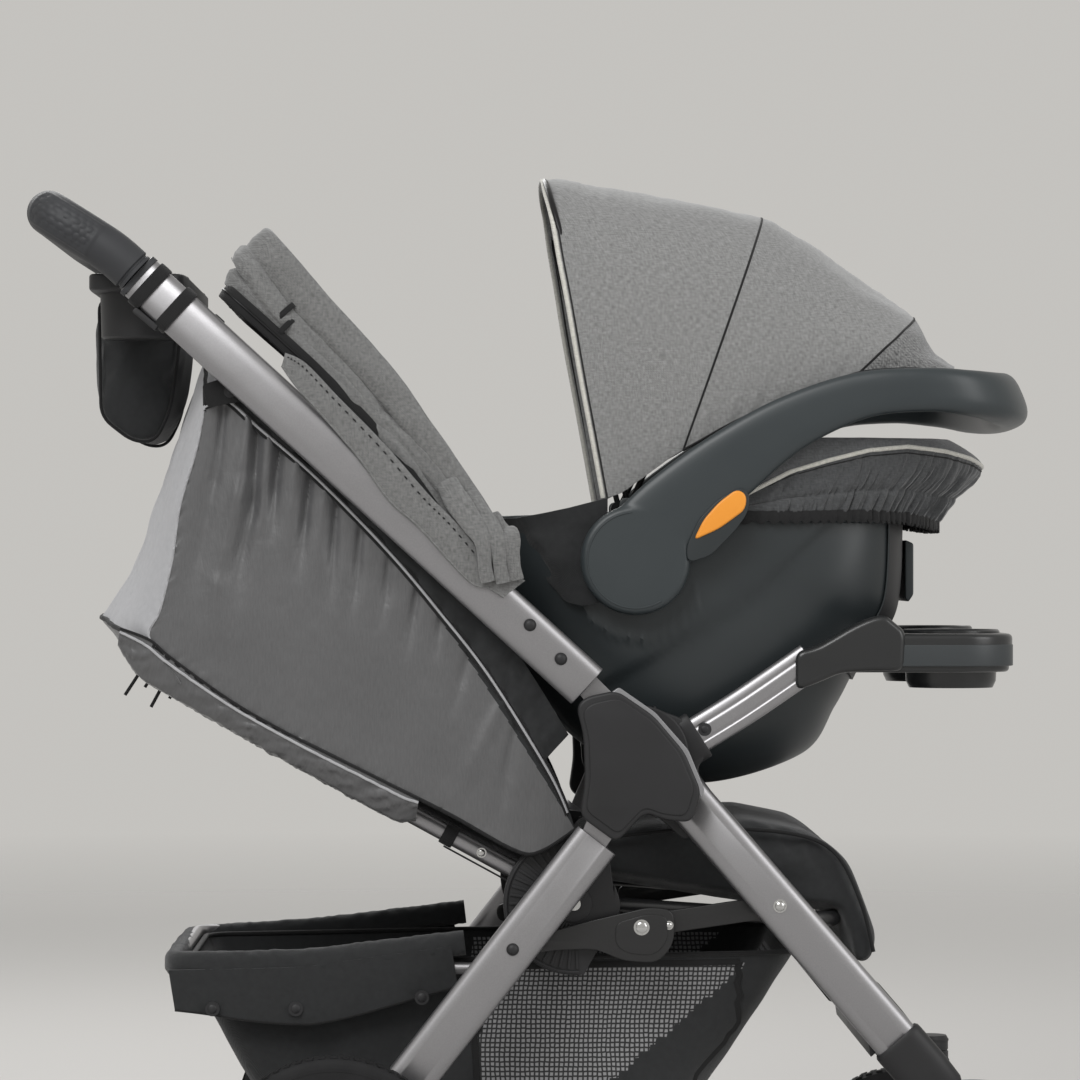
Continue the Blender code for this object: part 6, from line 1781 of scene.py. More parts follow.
# The curtain round the reclined seat: a wing of dark grey satin weave on each side, gathered
# to a tab on the handle tube, and a pale grey panel behind that bulges between them. Double
# black piping edges the wings, and a black gathered strip fills the gap to the tube.
def satin_weave(name, low, high):
    """Satin-woven nylon: a soft directional shine over fine threads, drawn about three times as wide."""
    made, tree, shader = painted(name,
                                 {"Roughness": 0.42, "IOR": 1.5, "Sheen Weight": 0.2, "Sheen Roughness": 0.4,
                                        "Specular IOR Level": 0.75})
    where = add(tree, "ShaderNodeTexCoord")
    cloth = cloth_run(tree, where)
    threads = add(tree, "ShaderNodeCombineXYZ", (), {0: cloth["run"], 1: cloth["height"]})
    drawn = add(tree, "ShaderNodeVectorMath", {"operation": "MULTIPLY"},
                {0: threads.outputs[0], 1: (700.0, 90.0, 1.0)})
    fine = add(tree, "ShaderNodeTexNoise", {"noise_dimensions": "2D"},
               {"Vector": drawn.outputs[0], "Scale": 1.0})
    cloudy = add(tree, "ShaderNodeTexNoise", (),
                 {"Vector": where.outputs["Object"], "Scale": 11.0, "Detail": 4.0})
    both = add(tree, "ShaderNodeMix", {"data_type": "FLOAT"},
               {0: 0.45, 2: fine.outputs["Fac"], 3: cloudy.outputs["Fac"]})
    tint = add(tree, "ShaderNodeMix", {"data_type": "RGBA"},
               {0: both.outputs[0], 6: linear(low), 7: linear(high)})
    tree.links.new(tint.outputs[2], shader.inputs["Base Color"])
    crinkle = add(tree, "ShaderNodeTexNoise", (),
                  {"Vector": where.outputs["Object"], "Scale": 45.0, "Detail": 5.0,
                                                   "Distortion": 0.4})
    mixed_height = add(tree, "ShaderNodeMath", {"operation": "MULTIPLY_ADD"},
                       {0: crinkle.outputs["Fac"], 1: 4.0, 2: fine.outputs["Fac"]})
    bumps = add(tree, "ShaderNodeBump", (),
                {"Strength": 0.35, "Distance": 0.0006, "Height": mixed_height.outputs[0]})
    tree.links.new(bumps.outputs[0], shader.inputs["Normal"])
    return made


WING_SATIN = satin_weave("curtain_satin", "#474748", "#606061")
BACK_WEAVE = woven_polyester("pale_grey_weave", "#9c9c9e", "#b9b9bb", 0.0018, 0.85, 0.2, 0.3)
WING_TOP = [(-0.4270, 0.3434), (-0.4073, 0.3503), (-0.3975, 0.3464), (-0.3730, 0.3238), (-0.3239, 0.2816),
            (-0.2797, 0.2383), (-0.2355, 0.1912), (-0.1962, 0.1441), (-0.1471, 0.0812), (-0.0930, -0.0052),
            (-0.0734, -0.0445), (-0.0636, -0.0740)]
WING_REAR = [(-0.4270, 0.3434), (-0.4358, 0.2992), (-0.4515, 0.2452), (-0.4594, 0.1912), (-0.4712, 0.1421),
             (-0.4810, 0.1126)]
WING_LOW = [(-0.4810, 0.1126), (-0.4359, 0.0752), (-0.3740, 0.0349), (-0.3111, 0.0035), (-0.2483, -0.0279),
            (-0.1854, -0.0594), (-0.1235, -0.0938), (-0.0979, -0.0956), (-0.0636, -0.0740)]


def spread_along(line, count):
    """An open side-view line as count evenly spaced points."""
    points = eased([(u, w, 0) for u, w in line], 8)
    lengths = [0.0]
    for before, after in zip(points, points[1:]):
        lengths.append(lengths[-1] + (after - before).length)
    out = []
    index = 0
    for number in range(count):
        target = lengths[-1] * number / (count - 1)
        while index < len(points) - 2 and lengths[index + 1] < target:
            index += 1
        share = (target - lengths[index]) / max(1e-9, lengths[index + 1] - lengths[index])
        out.append(points[index].lerp(points[index + 1], min(1.0, share)))
    return out


WING_COLUMNS = 170
WING_ROWS = 110
top_line = spread_along(WING_TOP, WING_COLUMNS)
outer_line = spread_along(WING_REAR + WING_LOW[1:], WING_COLUMNS)


# Each fold: its upper and lower end in side view, its half width, and how far it stands out.
# A groove stands out by less than nothing.
WING_FOLDS = (
    ((-0.3838, 0.3317), (-0.3946, 0.2550), 0.0070, 0.0046),
              ((-0.3946, 0.2550), (-0.4132, 0.1666), 0.0090, 0.0042),
    ((-0.4132, 0.1666), (-0.4221, 0.1126), 0.0100, 0.0026),
              ((-0.3760, 0.3240), (-0.3790, 0.2500), 0.0060, -0.0080),
    ((-0.3790, 0.2500), (-0.3950, 0.1700), 0.0080, -0.0060),
              ((-0.4080, 0.3420), (-0.4180, 0.2700), 0.0060, -0.0060),
    ((-0.4180, 0.2700), (-0.4400, 0.1700), 0.0090, -0.0035),
              ((-0.3530, 0.3090), (-0.3612, 0.2305), 0.0050, -0.0080),
    ((-0.3640, 0.3180), (-0.3720, 0.2400), 0.0050, 0.0030),
              ((-0.3230, 0.2796), (-0.3337, 0.1961), 0.0048, -0.0075),
    ((-0.3370, 0.2930), (-0.3450, 0.2100), 0.0060, 0.0030),
              ((-0.2960, 0.2600), (-0.3042, 0.1716), 0.0045, -0.0065),
    ((-0.3080, 0.2700), (-0.3180, 0.1900), 0.0050, 0.0025),
              ((-0.2710, 0.2403), (-0.2826, 0.1519), 0.0045, -0.0060),
    ((-0.2440, 0.2080), (-0.2540, 0.1400), 0.0045, -0.0050),
              ((-0.2158, 0.1765), (-0.2276, 0.1126), 0.0045, -0.0050),
    ((-0.1913, 0.1519), (-0.2001, 0.1028), 0.0040, -0.0040),
              ((-0.1640, 0.1120), (-0.1830, 0.0500), 0.0050, -0.0035),
    ((-0.1300, 0.0600), (-0.1700, -0.0200), 0.0070, 0.0030),
              ((-0.1180, 0.0400), (-0.1380, -0.0500), 0.0060, -0.0040),
)


def wing_depth(u, w):
    """How far the wing's cloth stands out at a side-view point: folds that hang from its piped edge."""
    spot = Vector((u + 0.0030 * ripple(u * 14, w * 14, 2.0), w))
    out = 0.0
    for top, foot, half, tall in WING_FOLDS:
        way = Vector(foot) - Vector(top)
        share = (spot - Vector(top)).dot(way) / way.length_squared
        if -0.25 < share < 1.35:
            gap = (spot - Vector(top) - way * share).length / (half * (0.75 + 0.5 * max(0.0, share)))
            ease = min(1.0, (share + 0.25) / 0.25, (1.35 - share) / 0.75)
            out += tall * ease * math.exp(-gap * gap)
    cross = 0.0011 * ripple(u * 22, w * 12, 7.0) + 0.0005 * ripple(u * 60, w * 38, 3.0)
    return out + cross


def wing_point(column, t, sign):
    """A point of the wing, at a share t of the way from its piped edge to its hem."""
    a = top_line[column]
    b = outer_line[column]
    p = a.lerp(b, t)
    edge = min(1.0, t / 0.04, (1 - t) / 0.05)
    depth = wing_depth(p.x, p.y) * (0.25 + 0.75 * edge)
    belly = 0.0020 * math.sin(math.pi * t) * math.sin(math.pi * column / (WING_COLUMNS - 1))
    pucker = 0.0034 * ripple(column * 0.75, t * 3, 5.0) * math.exp(-((1 - t) / 0.05) ** 2)
    return side(p.x, p.y, sign * max(0.2340, min(0.2504, 0.2422 + belly + depth + pucker)))


def painted_shadow_band(index, column):
    """Painted shade: a band of the dark weave under the piping, where its shadow falls, widening towards the
    hub.
    """
    return index < WING_ROWS * max(0.0, (column - 78) / (WING_COLUMNS - 78)) * 0.16


curtain_parts = []
for label, sign in SIDES:
    wing_rows = [[wing_point(column, index / WING_ROWS, sign) for column in range(WING_COLUMNS)]
                 for index in range(WING_ROWS + 1)]
    # The wing takes the dark weave in a band under its piping: painted shade, not a separate facing.
    curtain_parts.append(skin("wing", wing_rows, WING_SATIN, 0.0010, False, painted_shadow_band, DARK_WEAVE))
    for back, cord_finish in ((0.0, WEBBING), (0.0031, BACK_WEAVE), (0.0060, WEBBING)):
        line = []
        for column in range(WING_COLUMNS):
            p = wing_point(column, 0.0, sign)
            inward = (outer_line[column] - top_line[column])
            inward = inward.normalized() if inward.length > 0.001 else Vector((0, -1, 0))
            line.append(p + Vector((inward.x * back, sign * 0.0012, inward.y * back)))
        curtain_parts.append(strand("piping", line[:-6], (0.0028, 0.0028, 10, 2.0), cord_finish))
    hem_line = [wing_point(column, 1.0, sign) + sideways(sign * 0.0010) for column in range(58, WING_COLUMNS)]
    curtain_parts.append(strand("hem", hem_line, (0.0036, 0.0030, 10, 2.0), WEBBING))
    rear_seam = [wing_point(column, 1.0, sign) + sideways(sign * 0.0004) for column in range(0, 59)]
    curtain_parts.append(strand("seam", rear_seam, (0.0026, 0.0026, 10, 2.0), BACK_WEAVE))

BACK_ROWS = 59
BACK_MIDDLE = spread_along([(-0.4300, 0.4081), (-0.4559, 0.3358), (-0.4765, 0.2738), (-0.4972, 0.2119),
                            (-0.5281, 0.1499), (-0.5405, 0.1344)], BACK_ROWS)
back_rows = []
for index in range(BACK_ROWS):
    edge_point = outer_line[index]
    middle_point = BACK_MIDDLE[index]
    row = []
    for column in range(97):
        s = -1 + 2 * column / 96
        rise = (1 - abs(s) ** 2.6) ** 0.75
        p = edge_point.lerp(middle_point, rise)
        crease = 0.0022 * ripple(s * 5, index * 0.10, 4.0) + \
            0.0014 * ripple(s * 16, index * 0.05, 9.0)
        row.append(side(p.x + crease * 2.0 * rise, p.y, s * 0.2440))
    back_rows.append(row)
curtain_parts.append(skin("back", back_rows, BACK_WEAVE, 0.0012))
for rim in (back_rows[0], back_rows[-1]):
    curtain_parts.append(strand("back_hem", rim, (0.0040, 0.0050, 12, 2.4), WEBBING, False,
                               Vector((0, 0, 1))))
lower_rows = []
for drop in range(8):
    t = drop / 7
    row = []
    for p in back_rows[-1]:
        crumple = 0.0030 * ripple(p.y * 18, t * 2, 3.0)
        row.append(Vector((p.x + 0.026 * t + crumple, p.y, p.z - 0.036 * t)))
    lower_rows.append(row)
curtain_parts.append(skin("lower_band", lower_rows, WING_SATIN, 0.0012))
LOW_EDGE = [(-0.5130, 0.1080), (-0.4929, 0.0790), (-0.4674, 0.0620), (-0.4045, 0.0270), (-0.3426, -0.0080),
            (-0.2797, -0.0430), (-0.2500, -0.0590), (-0.2355, -0.0650), (-0.2200, -0.0620)]
HIGH_EDGE = [(-0.5100, 0.1240), (-0.4810, 0.1126), (-0.4600, 0.0950), (-0.4000, 0.0520), (-0.3380, 0.0169),
             (-0.2760, -0.0140), (-0.2483, -0.0279), (-0.2330, -0.0356), (-0.2170, -0.0436)]
WRAP_COLUMNS = 150
for label, sign in SIDES:
    high = spread_along(HIGH_EDGE, WRAP_COLUMNS)
    low = spread_along(LOW_EDGE, WRAP_COLUMNS)
    wrap_rows = []
    for index in range(21):
        t = index / 16
        row = []
        for column in range(WRAP_COLUMNS):
            crumple = 0.0034 * ripple(column * 0.16 + 3 * t, t * 1.8, 2.0 + sign) + \
                0.0014 * ripple(column * 0.50, t * 5, 9.0)
            p = high[column].lerp(low[column], min(1.0, t))
            round_under = max(0.0, t - 1.0) * 0.06
            y = 0.2440 - 0.0120 * min(1.0,
                                      t) ** 2 - round_under + crumple * math.sin(math.pi * min(1.0, t * 0.9))
            row.append(side(p.x, p.y - round_under * 0.15 - abs(crumple) * min(1.0, t), sign * y))
        wrap_rows.append(row)
    curtain_parts.append(skin("lower_wrap", wrap_rows, WING_SATIN, 0.0010))
    for at, finish in ((0, WEBBING), (3, BACK_WEAVE)):
        line = [p + sideways(sign * 0.0012) for p in wrap_rows[at]]
        curtain_parts.append(strand("hem_cord", line, (0.0028, 0.0024, 8, 2.0), finish))
curtain = fused("seat_curtain", curtain_parts)
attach(curtain, "handle_frame")
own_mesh(curtain)
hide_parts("curtain")

strips = []
for label, sign in SIDES:
    strip_rows = []
    for index in range(13):
        t = index / 12
        row = []
        for column in range(140):
            p = top_line[min(WING_COLUMNS - 1, 8 + column)]
            reach_up = 0.034 * t
            pleat = 0.0042 * ripple(column * 0.13, t * 1.4, 6.0) + \
                0.0024 * ripple(column * 0.33, t * 2.6, 1.0)
            row.append(side(p.x - TUBE_WAY.y * reach_up, p.y + TUBE_WAY.x * reach_up,
                            sign * min(0.2500, 0.2440 + pleat)))
        strip_rows.append(row)
    strips.append(skin("gathered_strip", strip_rows, DARK_WEAVE, 0.0008))
    tab = [(-0.4297, 0.3629), (-0.4238, 0.3404), (-0.3689, 0.3511), (-0.3700, 0.3680), (-0.3950, 0.3740)]
    strips.append(slab("tab", softened(tab, 0.004), *layer(sign, 0.2506, 0.2518), 0.0004, WEBBING))
strips = fused("curtain_gathers", strips)
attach(strips, "handle_frame")
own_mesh(strips)
strap_ends = []
for top, foot in (((-0.4950, 0.0820), (-0.5120, 0.0560)), ((-0.4730, 0.0680), (-0.4860, 0.0440))):
    for label, sign in SIDES:
        line = [side(*top, sign * 0.150), side(*foot, sign * 0.150)]
        strap_ends.append(strand("strap_end", line, (0.0034, 0.0016, 10, 2.6), WEBBING))
strap_ends = fused("back_strap_ends", strap_ends)
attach(strap_ends, "seat_back")
rivets("tab_snaps", [side(-0.4022, 0.3561, sign * 0.2520) for label, sign in SIDES], NYLON, "handle_frame",
       0.0036, 0.0018, 0.0058, 0.0010)


# The infant carrier: a blow-moulded charcoal shell with a raised crescent and a soft crease
# on each side, a darker foot band, and a padded insert whose flared cover is drawn tight
# round the head end by an elastic hem.
CARRIER_CENTRE = (0.0500, 0.2350)
CARRIER_HALF = 0.1950
SHELL_SQUARE = 0.5
SHELL_PLASTIC = moulded_polypropylene("charcoal_polypropylene", "#23282a", "#2c3133", 0.40)
SLATE_PLASTIC = moulded_polypropylene("slate_polypropylene", "#2d3336", "#363c3e", 0.38)
ORANGE_ACETAL = moulded_polypropylene("orange_acetal", "#e8902a", "#f0a038", 0.38)
shell_line = eased([(-0.1650, 0.2300, 0), (-0.1560, 0.1500, 0), (-0.1080, 0.0600, 0), (-0.0350, -0.0080, 0),
                    (0.0640, -0.0370, 0), (0.1700, -0.0080, 0), (0.2060, 0.0420, 0), (0.2330, 0.0930, 0),
                    (0.2660, 0.1420, 0), (0.2720, 0.2320, 0)], 16)


def near_line(u, w, line):
    """The distance from a side-view point to a line of points, and which side it is on."""
    best = (9.0, 0.0)
    spot = Vector((u, w))
    for a, b in zip(line, line[1:]):
        a = Vector(a)
        b = Vector(b)
        way = b - a
        share = max(0.0, min(1.0, (spot - a).dot(way) / way.length_squared))
        gap = spot - (a + way * share)
        turn = way.x * gap.y - way.y * gap.x
        if gap.length < best[0]:
            best = (gap.length, math.copysign(1.0, turn))
    return best


CRESCENT = [(-0.0640, 0.1900), (-0.0596, 0.1515), (-0.0477, 0.1317), (-0.0229, 0.1168), (0.0118, 0.1119),
            (0.0515, 0.1317), (0.0600, 0.1500)]
CREASE = [(-0.0900, 0.0300), (0.0220, 0.0919), (0.1200, 0.1560), (0.2007, 0.2309)]


def height_on(line, u):
    """The height of a rising or falling side-view line at u."""
    if u <= line[0][0]:
        return line[0][1]
    for a, b in zip(line, line[1:]):
        if u <= b[0]:
            return a[1] + (b[1] - a[1]) * (u - a[0]) / (b[0] - a[0])
    return line[-1][1]


def arch(a, power):
    """Where a square-ish arch is at an angle: its sideways share, right to left, and its depth."""
    return -math.copysign(abs(math.cos(a)) ** power, math.cos(a)), abs(math.sin(a)) ** power


def walled(piece, thick, sharp):
    """The piece with a wall on its inner side."""
    wall = piece.modifiers.new("wall", "SOLIDIFY")
    wall.thickness = thick
    wall.offset = -1.0
    return frozen(piece, sharp)


def shell_point(p, a):
    """One point of the bucket: its side-view edge point carried round a square arch to the centre line."""
    lateral, reach = arch(a, SHELL_SQUARE)
    u = CARRIER_CENTRE[0] + (p.x - CARRIER_CENTRE[0]) * reach
    w = CARRIER_CENTRE[1] + (p.y - CARRIER_CENTRE[1]) * reach
    relief = 0.0
    if abs(lateral) > 0.55:
        gap, where_side = near_line(u, w, CRESCENT)
        relief += 0.0030 * max(0.0, 1 - gap / 0.0045)
        gap, where_side = near_line(u, w, CREASE)
        fade = min(1.0, max(0.0, (math.hypot(u + 0.003, w - 0.191) - 0.060) / 0.03))
        relief -= 0.0050 * fade * math.exp(-(gap / (0.030 if where_side < 0 else 0.006)) ** 2)
    y = lateral * (CARRIER_HALF - 0.0025 + relief)
    return side(u, w, y)


SHELL_ACROSS = 120
shell_rows = []
for p in shell_line:
    shell_rows.append([shell_point(p, math.pi * step / SHELL_ACROSS) for step in range(SHELL_ACROSS + 1)])
shell = skin("shell", shell_rows, SHELL_PLASTIC, 0.0, False, None, None, 40)
parts = [walled(shell, 0.0045, 40)]
rim_path = [p.copy() for p in shell_rows[0]] + [p.copy() for p in reversed(shell_rows[-1])]
rim_path = [p for index, p in enumerate(rim_path) if index == 0 or (p - rim_path[index - 1]).length > 0.0015]
rim_path = resampled(rim_path, 240)
parts.append(strand("rim_lip", rim_path, (0.0065, 0.0095, 16, 2.6), SHELL_PLASTIC, True,
                   Vector((0, 0, 1))))
band_line = shell_line[-40:]
band_rows = []
for p in band_line:
    away = 1 + 0.0022 / (Vector((p.x, p.y)) - Vector(CARRIER_CENTRE)).length
    q = Vector((CARRIER_CENTRE[0] + (p.x - CARRIER_CENTRE[0]) * away,
                CARRIER_CENTRE[1] + (p.y - CARRIER_CENTRE[1]) * away, 0))
    band_rows.append([shell_point(q, math.radians(56 + 68 * step / 120)) for step in range(121)])
parts.append(skin("rear_band", band_rows, NYLON, 0.0024, False, None, None, 60))
for column in (0, 120):
    edge_line = [row[column] for row in band_rows]
    parts.append(strand("band_edge", edge_line, (0.0022, 0.0022, 10, 2.0), SHELL_PLASTIC))
for label, sign in SIDES:
    parts.append(slab("bow_tab",
                      softened([(-0.0180, 0.2250), (0.0020, 0.2250), (0.0020, 0.2530), (-0.0180, 0.2530)],
                                          0.007), *layer(sign, 0.1905, 0.1945), 0.0008, SHELL_PLASTIC))
    parts.append(turned("bow_pin", [(0, sign * 0.1580), (0.0030, sign * 0.1580), (0.0030, sign * 0.1925),
                                    (0, sign * 0.1925)], side(-0.0080, 0.2450, 0), ZINC, 20))
    parts.append(turned("handle_pin", [(0, sign * 0.1875), (0.0080, sign * 0.1875), (0.0080, sign * 0.2120),
                                       (0, sign * 0.2120)], side(-0.0030, 0.1910, 0), ZINC, 32))
FOOT_HIGH = [(-0.1700, 0.2330), (-0.1210, 0.2330), (-0.0922, 0.2380), (-0.0500, 0.2470), (-0.0300, 0.2530)]
FOOT_LOW = [(-0.1600, 0.1800), (-0.1150, 0.1713), (-0.0922, 0.1500), (-0.0500, 0.1430), (-0.0300, 0.1500)]
FOOT_SIDE_U = -0.0300
foot_rows = []
for index in range(25):
    t = index / 24
    row = []
    for step in range(181):
        s = -1 + step / 90
        reach = (1 - abs(s) ** 4.5) ** (1 / 2.4)
        u_edge = -0.1660 + 0.0060 * t
        u = FOOT_SIDE_U + (u_edge - FOOT_SIDE_U) * reach
        low = height_on(FOOT_LOW, u)
        high = height_on(FOOT_HIGH, u)
        w = high + (low - high) * t
        fold = 0.0056 * ripple(s * 11, t * 2.2, 3.0) + 0.0026 * ripple(s * 30, t * 5, 8.0)
        inward = 0.040 * t * reach
        row.append(side(u + inward - fold * reach, w, math.copysign(min(0.1978, abs(s) * 0.1965 + fold), s)))
    foot_rows.append(row)
foot_cloth = skin("foot_cloth", foot_rows, DARK_WEAVE, 0.0014)
shell = fused("carrier_shell_piece", parts)
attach(foot_cloth, "carrier")
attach(shell, "carrier")
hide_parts("carrier_shell")


# The carrier's insert: padded dark polyester that lines the bucket, with a grey twill cover
# on the head end. The cover flares out over the rim to a pale piped edge, and a darker
# skirt below it is gathered by an elastic hem with a scalloped edge.
HEAD_TWILL = heather_twill("head_cover_twill", "#4c4d4e", "#6a6b6c")
SKIRT_TWILL = heather_twill("skirt_twill", "#3a3b3c", "#505152")
pad_line_points = [p for p in shell_line if p.y < 0.226 or p.x > 0.2]
pad_rows = []
for p in pad_line_points:
    u = CARRIER_CENTRE[0] + (p.x - CARRIER_CENTRE[0]) * 0.955
    w = CARRIER_CENTRE[1] + (p.y - CARRIER_CENTRE[1]) * 0.955
    row = []
    for step in range(73):
        a = math.pi * step / 72
        lateral, reach = arch(a, SHELL_SQUARE)
        quilt = 0.0020 * math.cos(lateral * 16) * math.cos((u + w) * 60)
        at_u = CARRIER_CENTRE[0] + (u - CARRIER_CENTRE[0]) * reach * (1 - 0.010 - quilt)
        at_w = CARRIER_CENTRE[1] + (w - CARRIER_CENTRE[1]) * reach * (1 - 0.010 - quilt)
        row.append(side(at_u, min(at_w, 0.2220 if at_u < 0.09 else 0.2400), lateral * 0.1850))
    pad_rows.append(row)
liner = skin("liner", pad_rows, DARK_WEAVE, 0.0, False, None, None, 70)
liner = walled(liner, 0.0100, 70)
PIPE_LINE = [(0.1069, 0.2559), (0.1517, 0.2788), (0.1915, 0.2907), (0.2313, 0.3006), (0.2711, 0.3046),
             (0.3108, 0.3006), (0.3400, 0.2940), (0.3600, 0.2860)]
COVER_STEPS = 320
HEM_LINE = [(0.1069, 0.2370), (0.1616, 0.2370), (0.2213, 0.2385), (0.2711, 0.2365), (0.3108, 0.2290)]


def cover_ring(u_reach, y_reach, start_u=0.1000, square=2.6):
    """Plan points from the right side round the head end to the left, on a square-ish curve."""
    out = []
    for step in range(COVER_STEPS + 1):
        a = math.pi * step / COVER_STEPS
        y = -y_reach * math.copysign(abs(math.cos(a)) ** (2 / square), math.cos(a))
        u = start_u + (u_reach - start_u) * abs(math.sin(a)) ** (2 / square)
        out.append((u, y))
    return out


SKIRT_US = (0.3140, 0.3240, 0.3350, 0.3480, 0.3560, 0.3600)
SKIRT_YS = (0.1975, 0.1970, 0.1945, 0.1925, 0.1912, 0.1905)
cover_rows = []
for level in range(25):
    t = level / 24
    row = []
    for step, (u, y) in enumerate(cover_ring(between(SKIRT_US, t), between(SKIRT_YS, t))):
        top = height_on(PIPE_LINE, u)
        bottom = height_on(HEM_LINE, u)
        w = bottom + (top - bottom) * t ** 0.9
        gather = ripple(step * 0.30, t * 1.3, 3.0) * 0.0062 + \
            ripple(step * 0.72, t * 2.4, 8.0) * 0.0040
        calm = (1 - t) ** 0.55 * min(1.0, t / 0.06 + 0.3)
        seam = 0.0030 * math.exp(-((t - 0.34) / 0.05) ** 2)
        outward = Vector((u - 0.10, y * 1.2)).normalized()
        spread = gather * calm - seam
        limit = 0.1984 if t < 0.4 else 0.1950
        row.append(side(u + outward.x * spread, w, max(-limit, min(limit, y + outward.y * spread))))
    cover_rows.append(row)
skirt = skin("skirt", cover_rows, SKIRT_TWILL, 0.0016)
top_rows = []
for level in range(19):
    t = level / 18
    row = []
    for step, (u, y) in enumerate(cover_ring(0.3600 - 0.0990 * t ** 1.5,
                                             0.1905 - 0.0100 * t - 0.030 * t * t)):
        top = height_on(PIPE_LINE, u + 0.05 * t)
        rise = 0.0270 * math.sin(math.pi / 2 * t) ** 0.75 * min(1.0, (u - 0.100) / 0.06)
        soft = 0.0018 * ripple(step * 0.075, t * 4, 1.0)
        row.append(side(u, min(0.3125, top + rise) + soft * t, y))
    top_rows.append(row)
cover_top = skin("cover_top", top_rows, HEAD_TWILL, 0.0016)
inner_rows = []
for level in range(9):
    t = level / 8
    row = []
    for step, (u, y) in enumerate(cover_ring(0.2606 - 0.0140 * t, 0.1500 - 0.0100 * t)):
        start_point = top_rows[-1][step]
        row.append(Vector((start_point.x - 0.010 * t, start_point.y * (1 - 0.03 * t),
                           start_point.z - 0.090 * t ** 0.8)))
    inner_rows.append(row)
inner_face = skin("inner_face", inner_rows, DARK_WEAVE, 0.0016)
pipe = strand("pale_piping", cover_rows[-1], (0.0046, 0.0046, 12, 2.0), PALE_TWILL)
line_below = strand("stitch_line", [p + Vector((0, 0, -0.001)) for p in cover_rows[-3]],
                   (0.0022, 0.0022, 10, 2.0), WEBBING)
hem_rows = []
for level in range(7):
    t = level / 6
    hem_rows.append([p + Vector((0, math.copysign(0.0012 * math.sin(math.pi * t)
                                                  + 0.0008 * math.sin(step * 1.45), p.y),
                                 0.0030 - 0.0135 * t * (0.86 + 0.14 * math.sin(step * 1.45))))
                     for step, p in enumerate(cover_rows[0])])
elastic = skin("elastic_hem", hem_rows, WEBBING, 0.0030)
insert = fused("carrier_insert", [liner, skirt, cover_top, inner_face, pipe, line_below, elastic])
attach(insert, "carrier")
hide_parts("carrier_pad")
lever = slab("release_lever_piece",
             softened([(0.2762, 0.2120), (0.2850, 0.2080), (0.2850, 0.1560), (0.2795, 0.1480),
                                             (0.2762, 0.1520)], 0.0025), -0.0750, 0.0750, 0.0015,
             SLATE_PLASTIC)
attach(lever, "release_lever")
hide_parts("release_lever")


# The harness buckle: a moulded five-point buckle with an orange push button, on a crotch
# strap of black webbing.
buckle = puffed(plan_slab("buckle",
                          softened([(0.0200, -0.0220), (0.0750, -0.0180), (0.0750, 0.0180), (0.0200, 0.0220)],
                                             0.008), -0.0025, 0.0150, 0.0040, NYLON), 0.0016, 0.0, 0.0)
strap = plan_slab("strap",
                  softened([(0.0560, -0.0150), (0.0720, -0.0150), (0.0720, 0.0150), (0.0560, 0.0150)], 0.003),
                  -0.0098, 0.0010, 0.0010, WEBBING)
collar = plan_slab("collar",
                   softened([(0.0330, -0.0132), (0.0630, -0.0132), (0.0630, 0.0132), (0.0330, 0.0132)],
                            0.005),
                   0.0120, 0.0158, 0.0008, NYLON,
                   (softened([(0.0343, -0.0121), (0.0617, -0.0121), (0.0617, 0.0121),
                                                             (0.0343, 0.0121)], 0.004),))
buckle = fused("harness_buckle_piece", [buckle, strap, collar])
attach(buckle, "carrier")
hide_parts("harness_buckle")
button = plan_slab("buckle_button_piece", softened([(0.0347, -0.0118), (0.0613, -0.0118), (0.0613, 0.0118),
                                                    (0.0347, 0.0118)], 0.004), 0.0130, 0.0172, 0.0012,
                   ORANGE_ACETAL)
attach(button, "buckle_button")
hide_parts("buckle_button")


# The carry handle: a slate polypropylene bow whose arms widen into a round hub on each side.
# The arms and hubs are one moulding, and an orange release button sits in a pocket of each.
CARRIER_HUB = (-0.0030, 0.1910)
HANDLE_Y = 0.2090
HANDLE_STATIONS = [((0.0150, 0.2150), 0.0880, 0.0), ((0.0400, 0.2420), 0.0820, 0.0),
                   ((0.0900, 0.2850), 0.0700, 0.0),
                   ((0.1500, 0.3260), 0.0560, 0.0), ((0.2200, 0.3540), 0.0470, 0.0),
                   ((0.2850, 0.3600), 0.0440, 0.0),
                   ((0.3300, 0.3570), 0.0470, 0.014), ((0.3600, 0.3530), 0.0520, 0.048),
                   ((0.3760, 0.3520), 0.0560, 0.110),
                   ((0.3800, 0.3515), 0.0570, 0.209)]
stations = HANDLE_STATIONS + [(c, wide, 2 * HANDLE_Y - inset) for c, wide,
                              inset in reversed(HANDLE_STATIONS[:-1])]
centres = eased([side(c[0], c[1], -HANDLE_Y + inset) for c, wide, inset in stations], 9)
widths = eased([(wide, 0, 0) for c, wide, inset in stations], 9)
HANDLE_COUNT = 44
ring_rows = []
for index, centre in enumerate(centres):
    before = centres[max(index - 1, 0)]
    after = centres[min(index + 1, len(centres) - 1)]
    tangent = (after - before).normalized()
    hub_point = side(*CARRIER_HUB)
    radial = Vector((centre.x - hub_point.x, 0.0, centre.z - hub_point.z)).normalized()
    swing = Vector((-radial.z, 0.0, radial.x))
    crossing = abs(tangent.y)
    flat = Vector((tangent.x, 0.0, tangent.z))
    upright = Vector((-flat.z, 0.0, flat.x)) if flat.length > 0.05 else swing
    if upright.dot(Vector((-0.38, 0.0, 0.92))) < 0:
        upright = -upright
    upright = (upright.normalized() * (1 - crossing) + swing * crossing).normalized()
    aside = tangent.cross(upright).normalized()
    thick = 0.0196 + (0.038 - 0.0196) * crossing
    ring = []
    for a, b in oval(widths[index].x, thick, HANDLE_COUNT, 2.9):
        ring.append(centre + upright * a + aside * b)
    ring_rows.append(ring)
arms = bpy.data.meshes.new("arms")
work = bmesh.new()
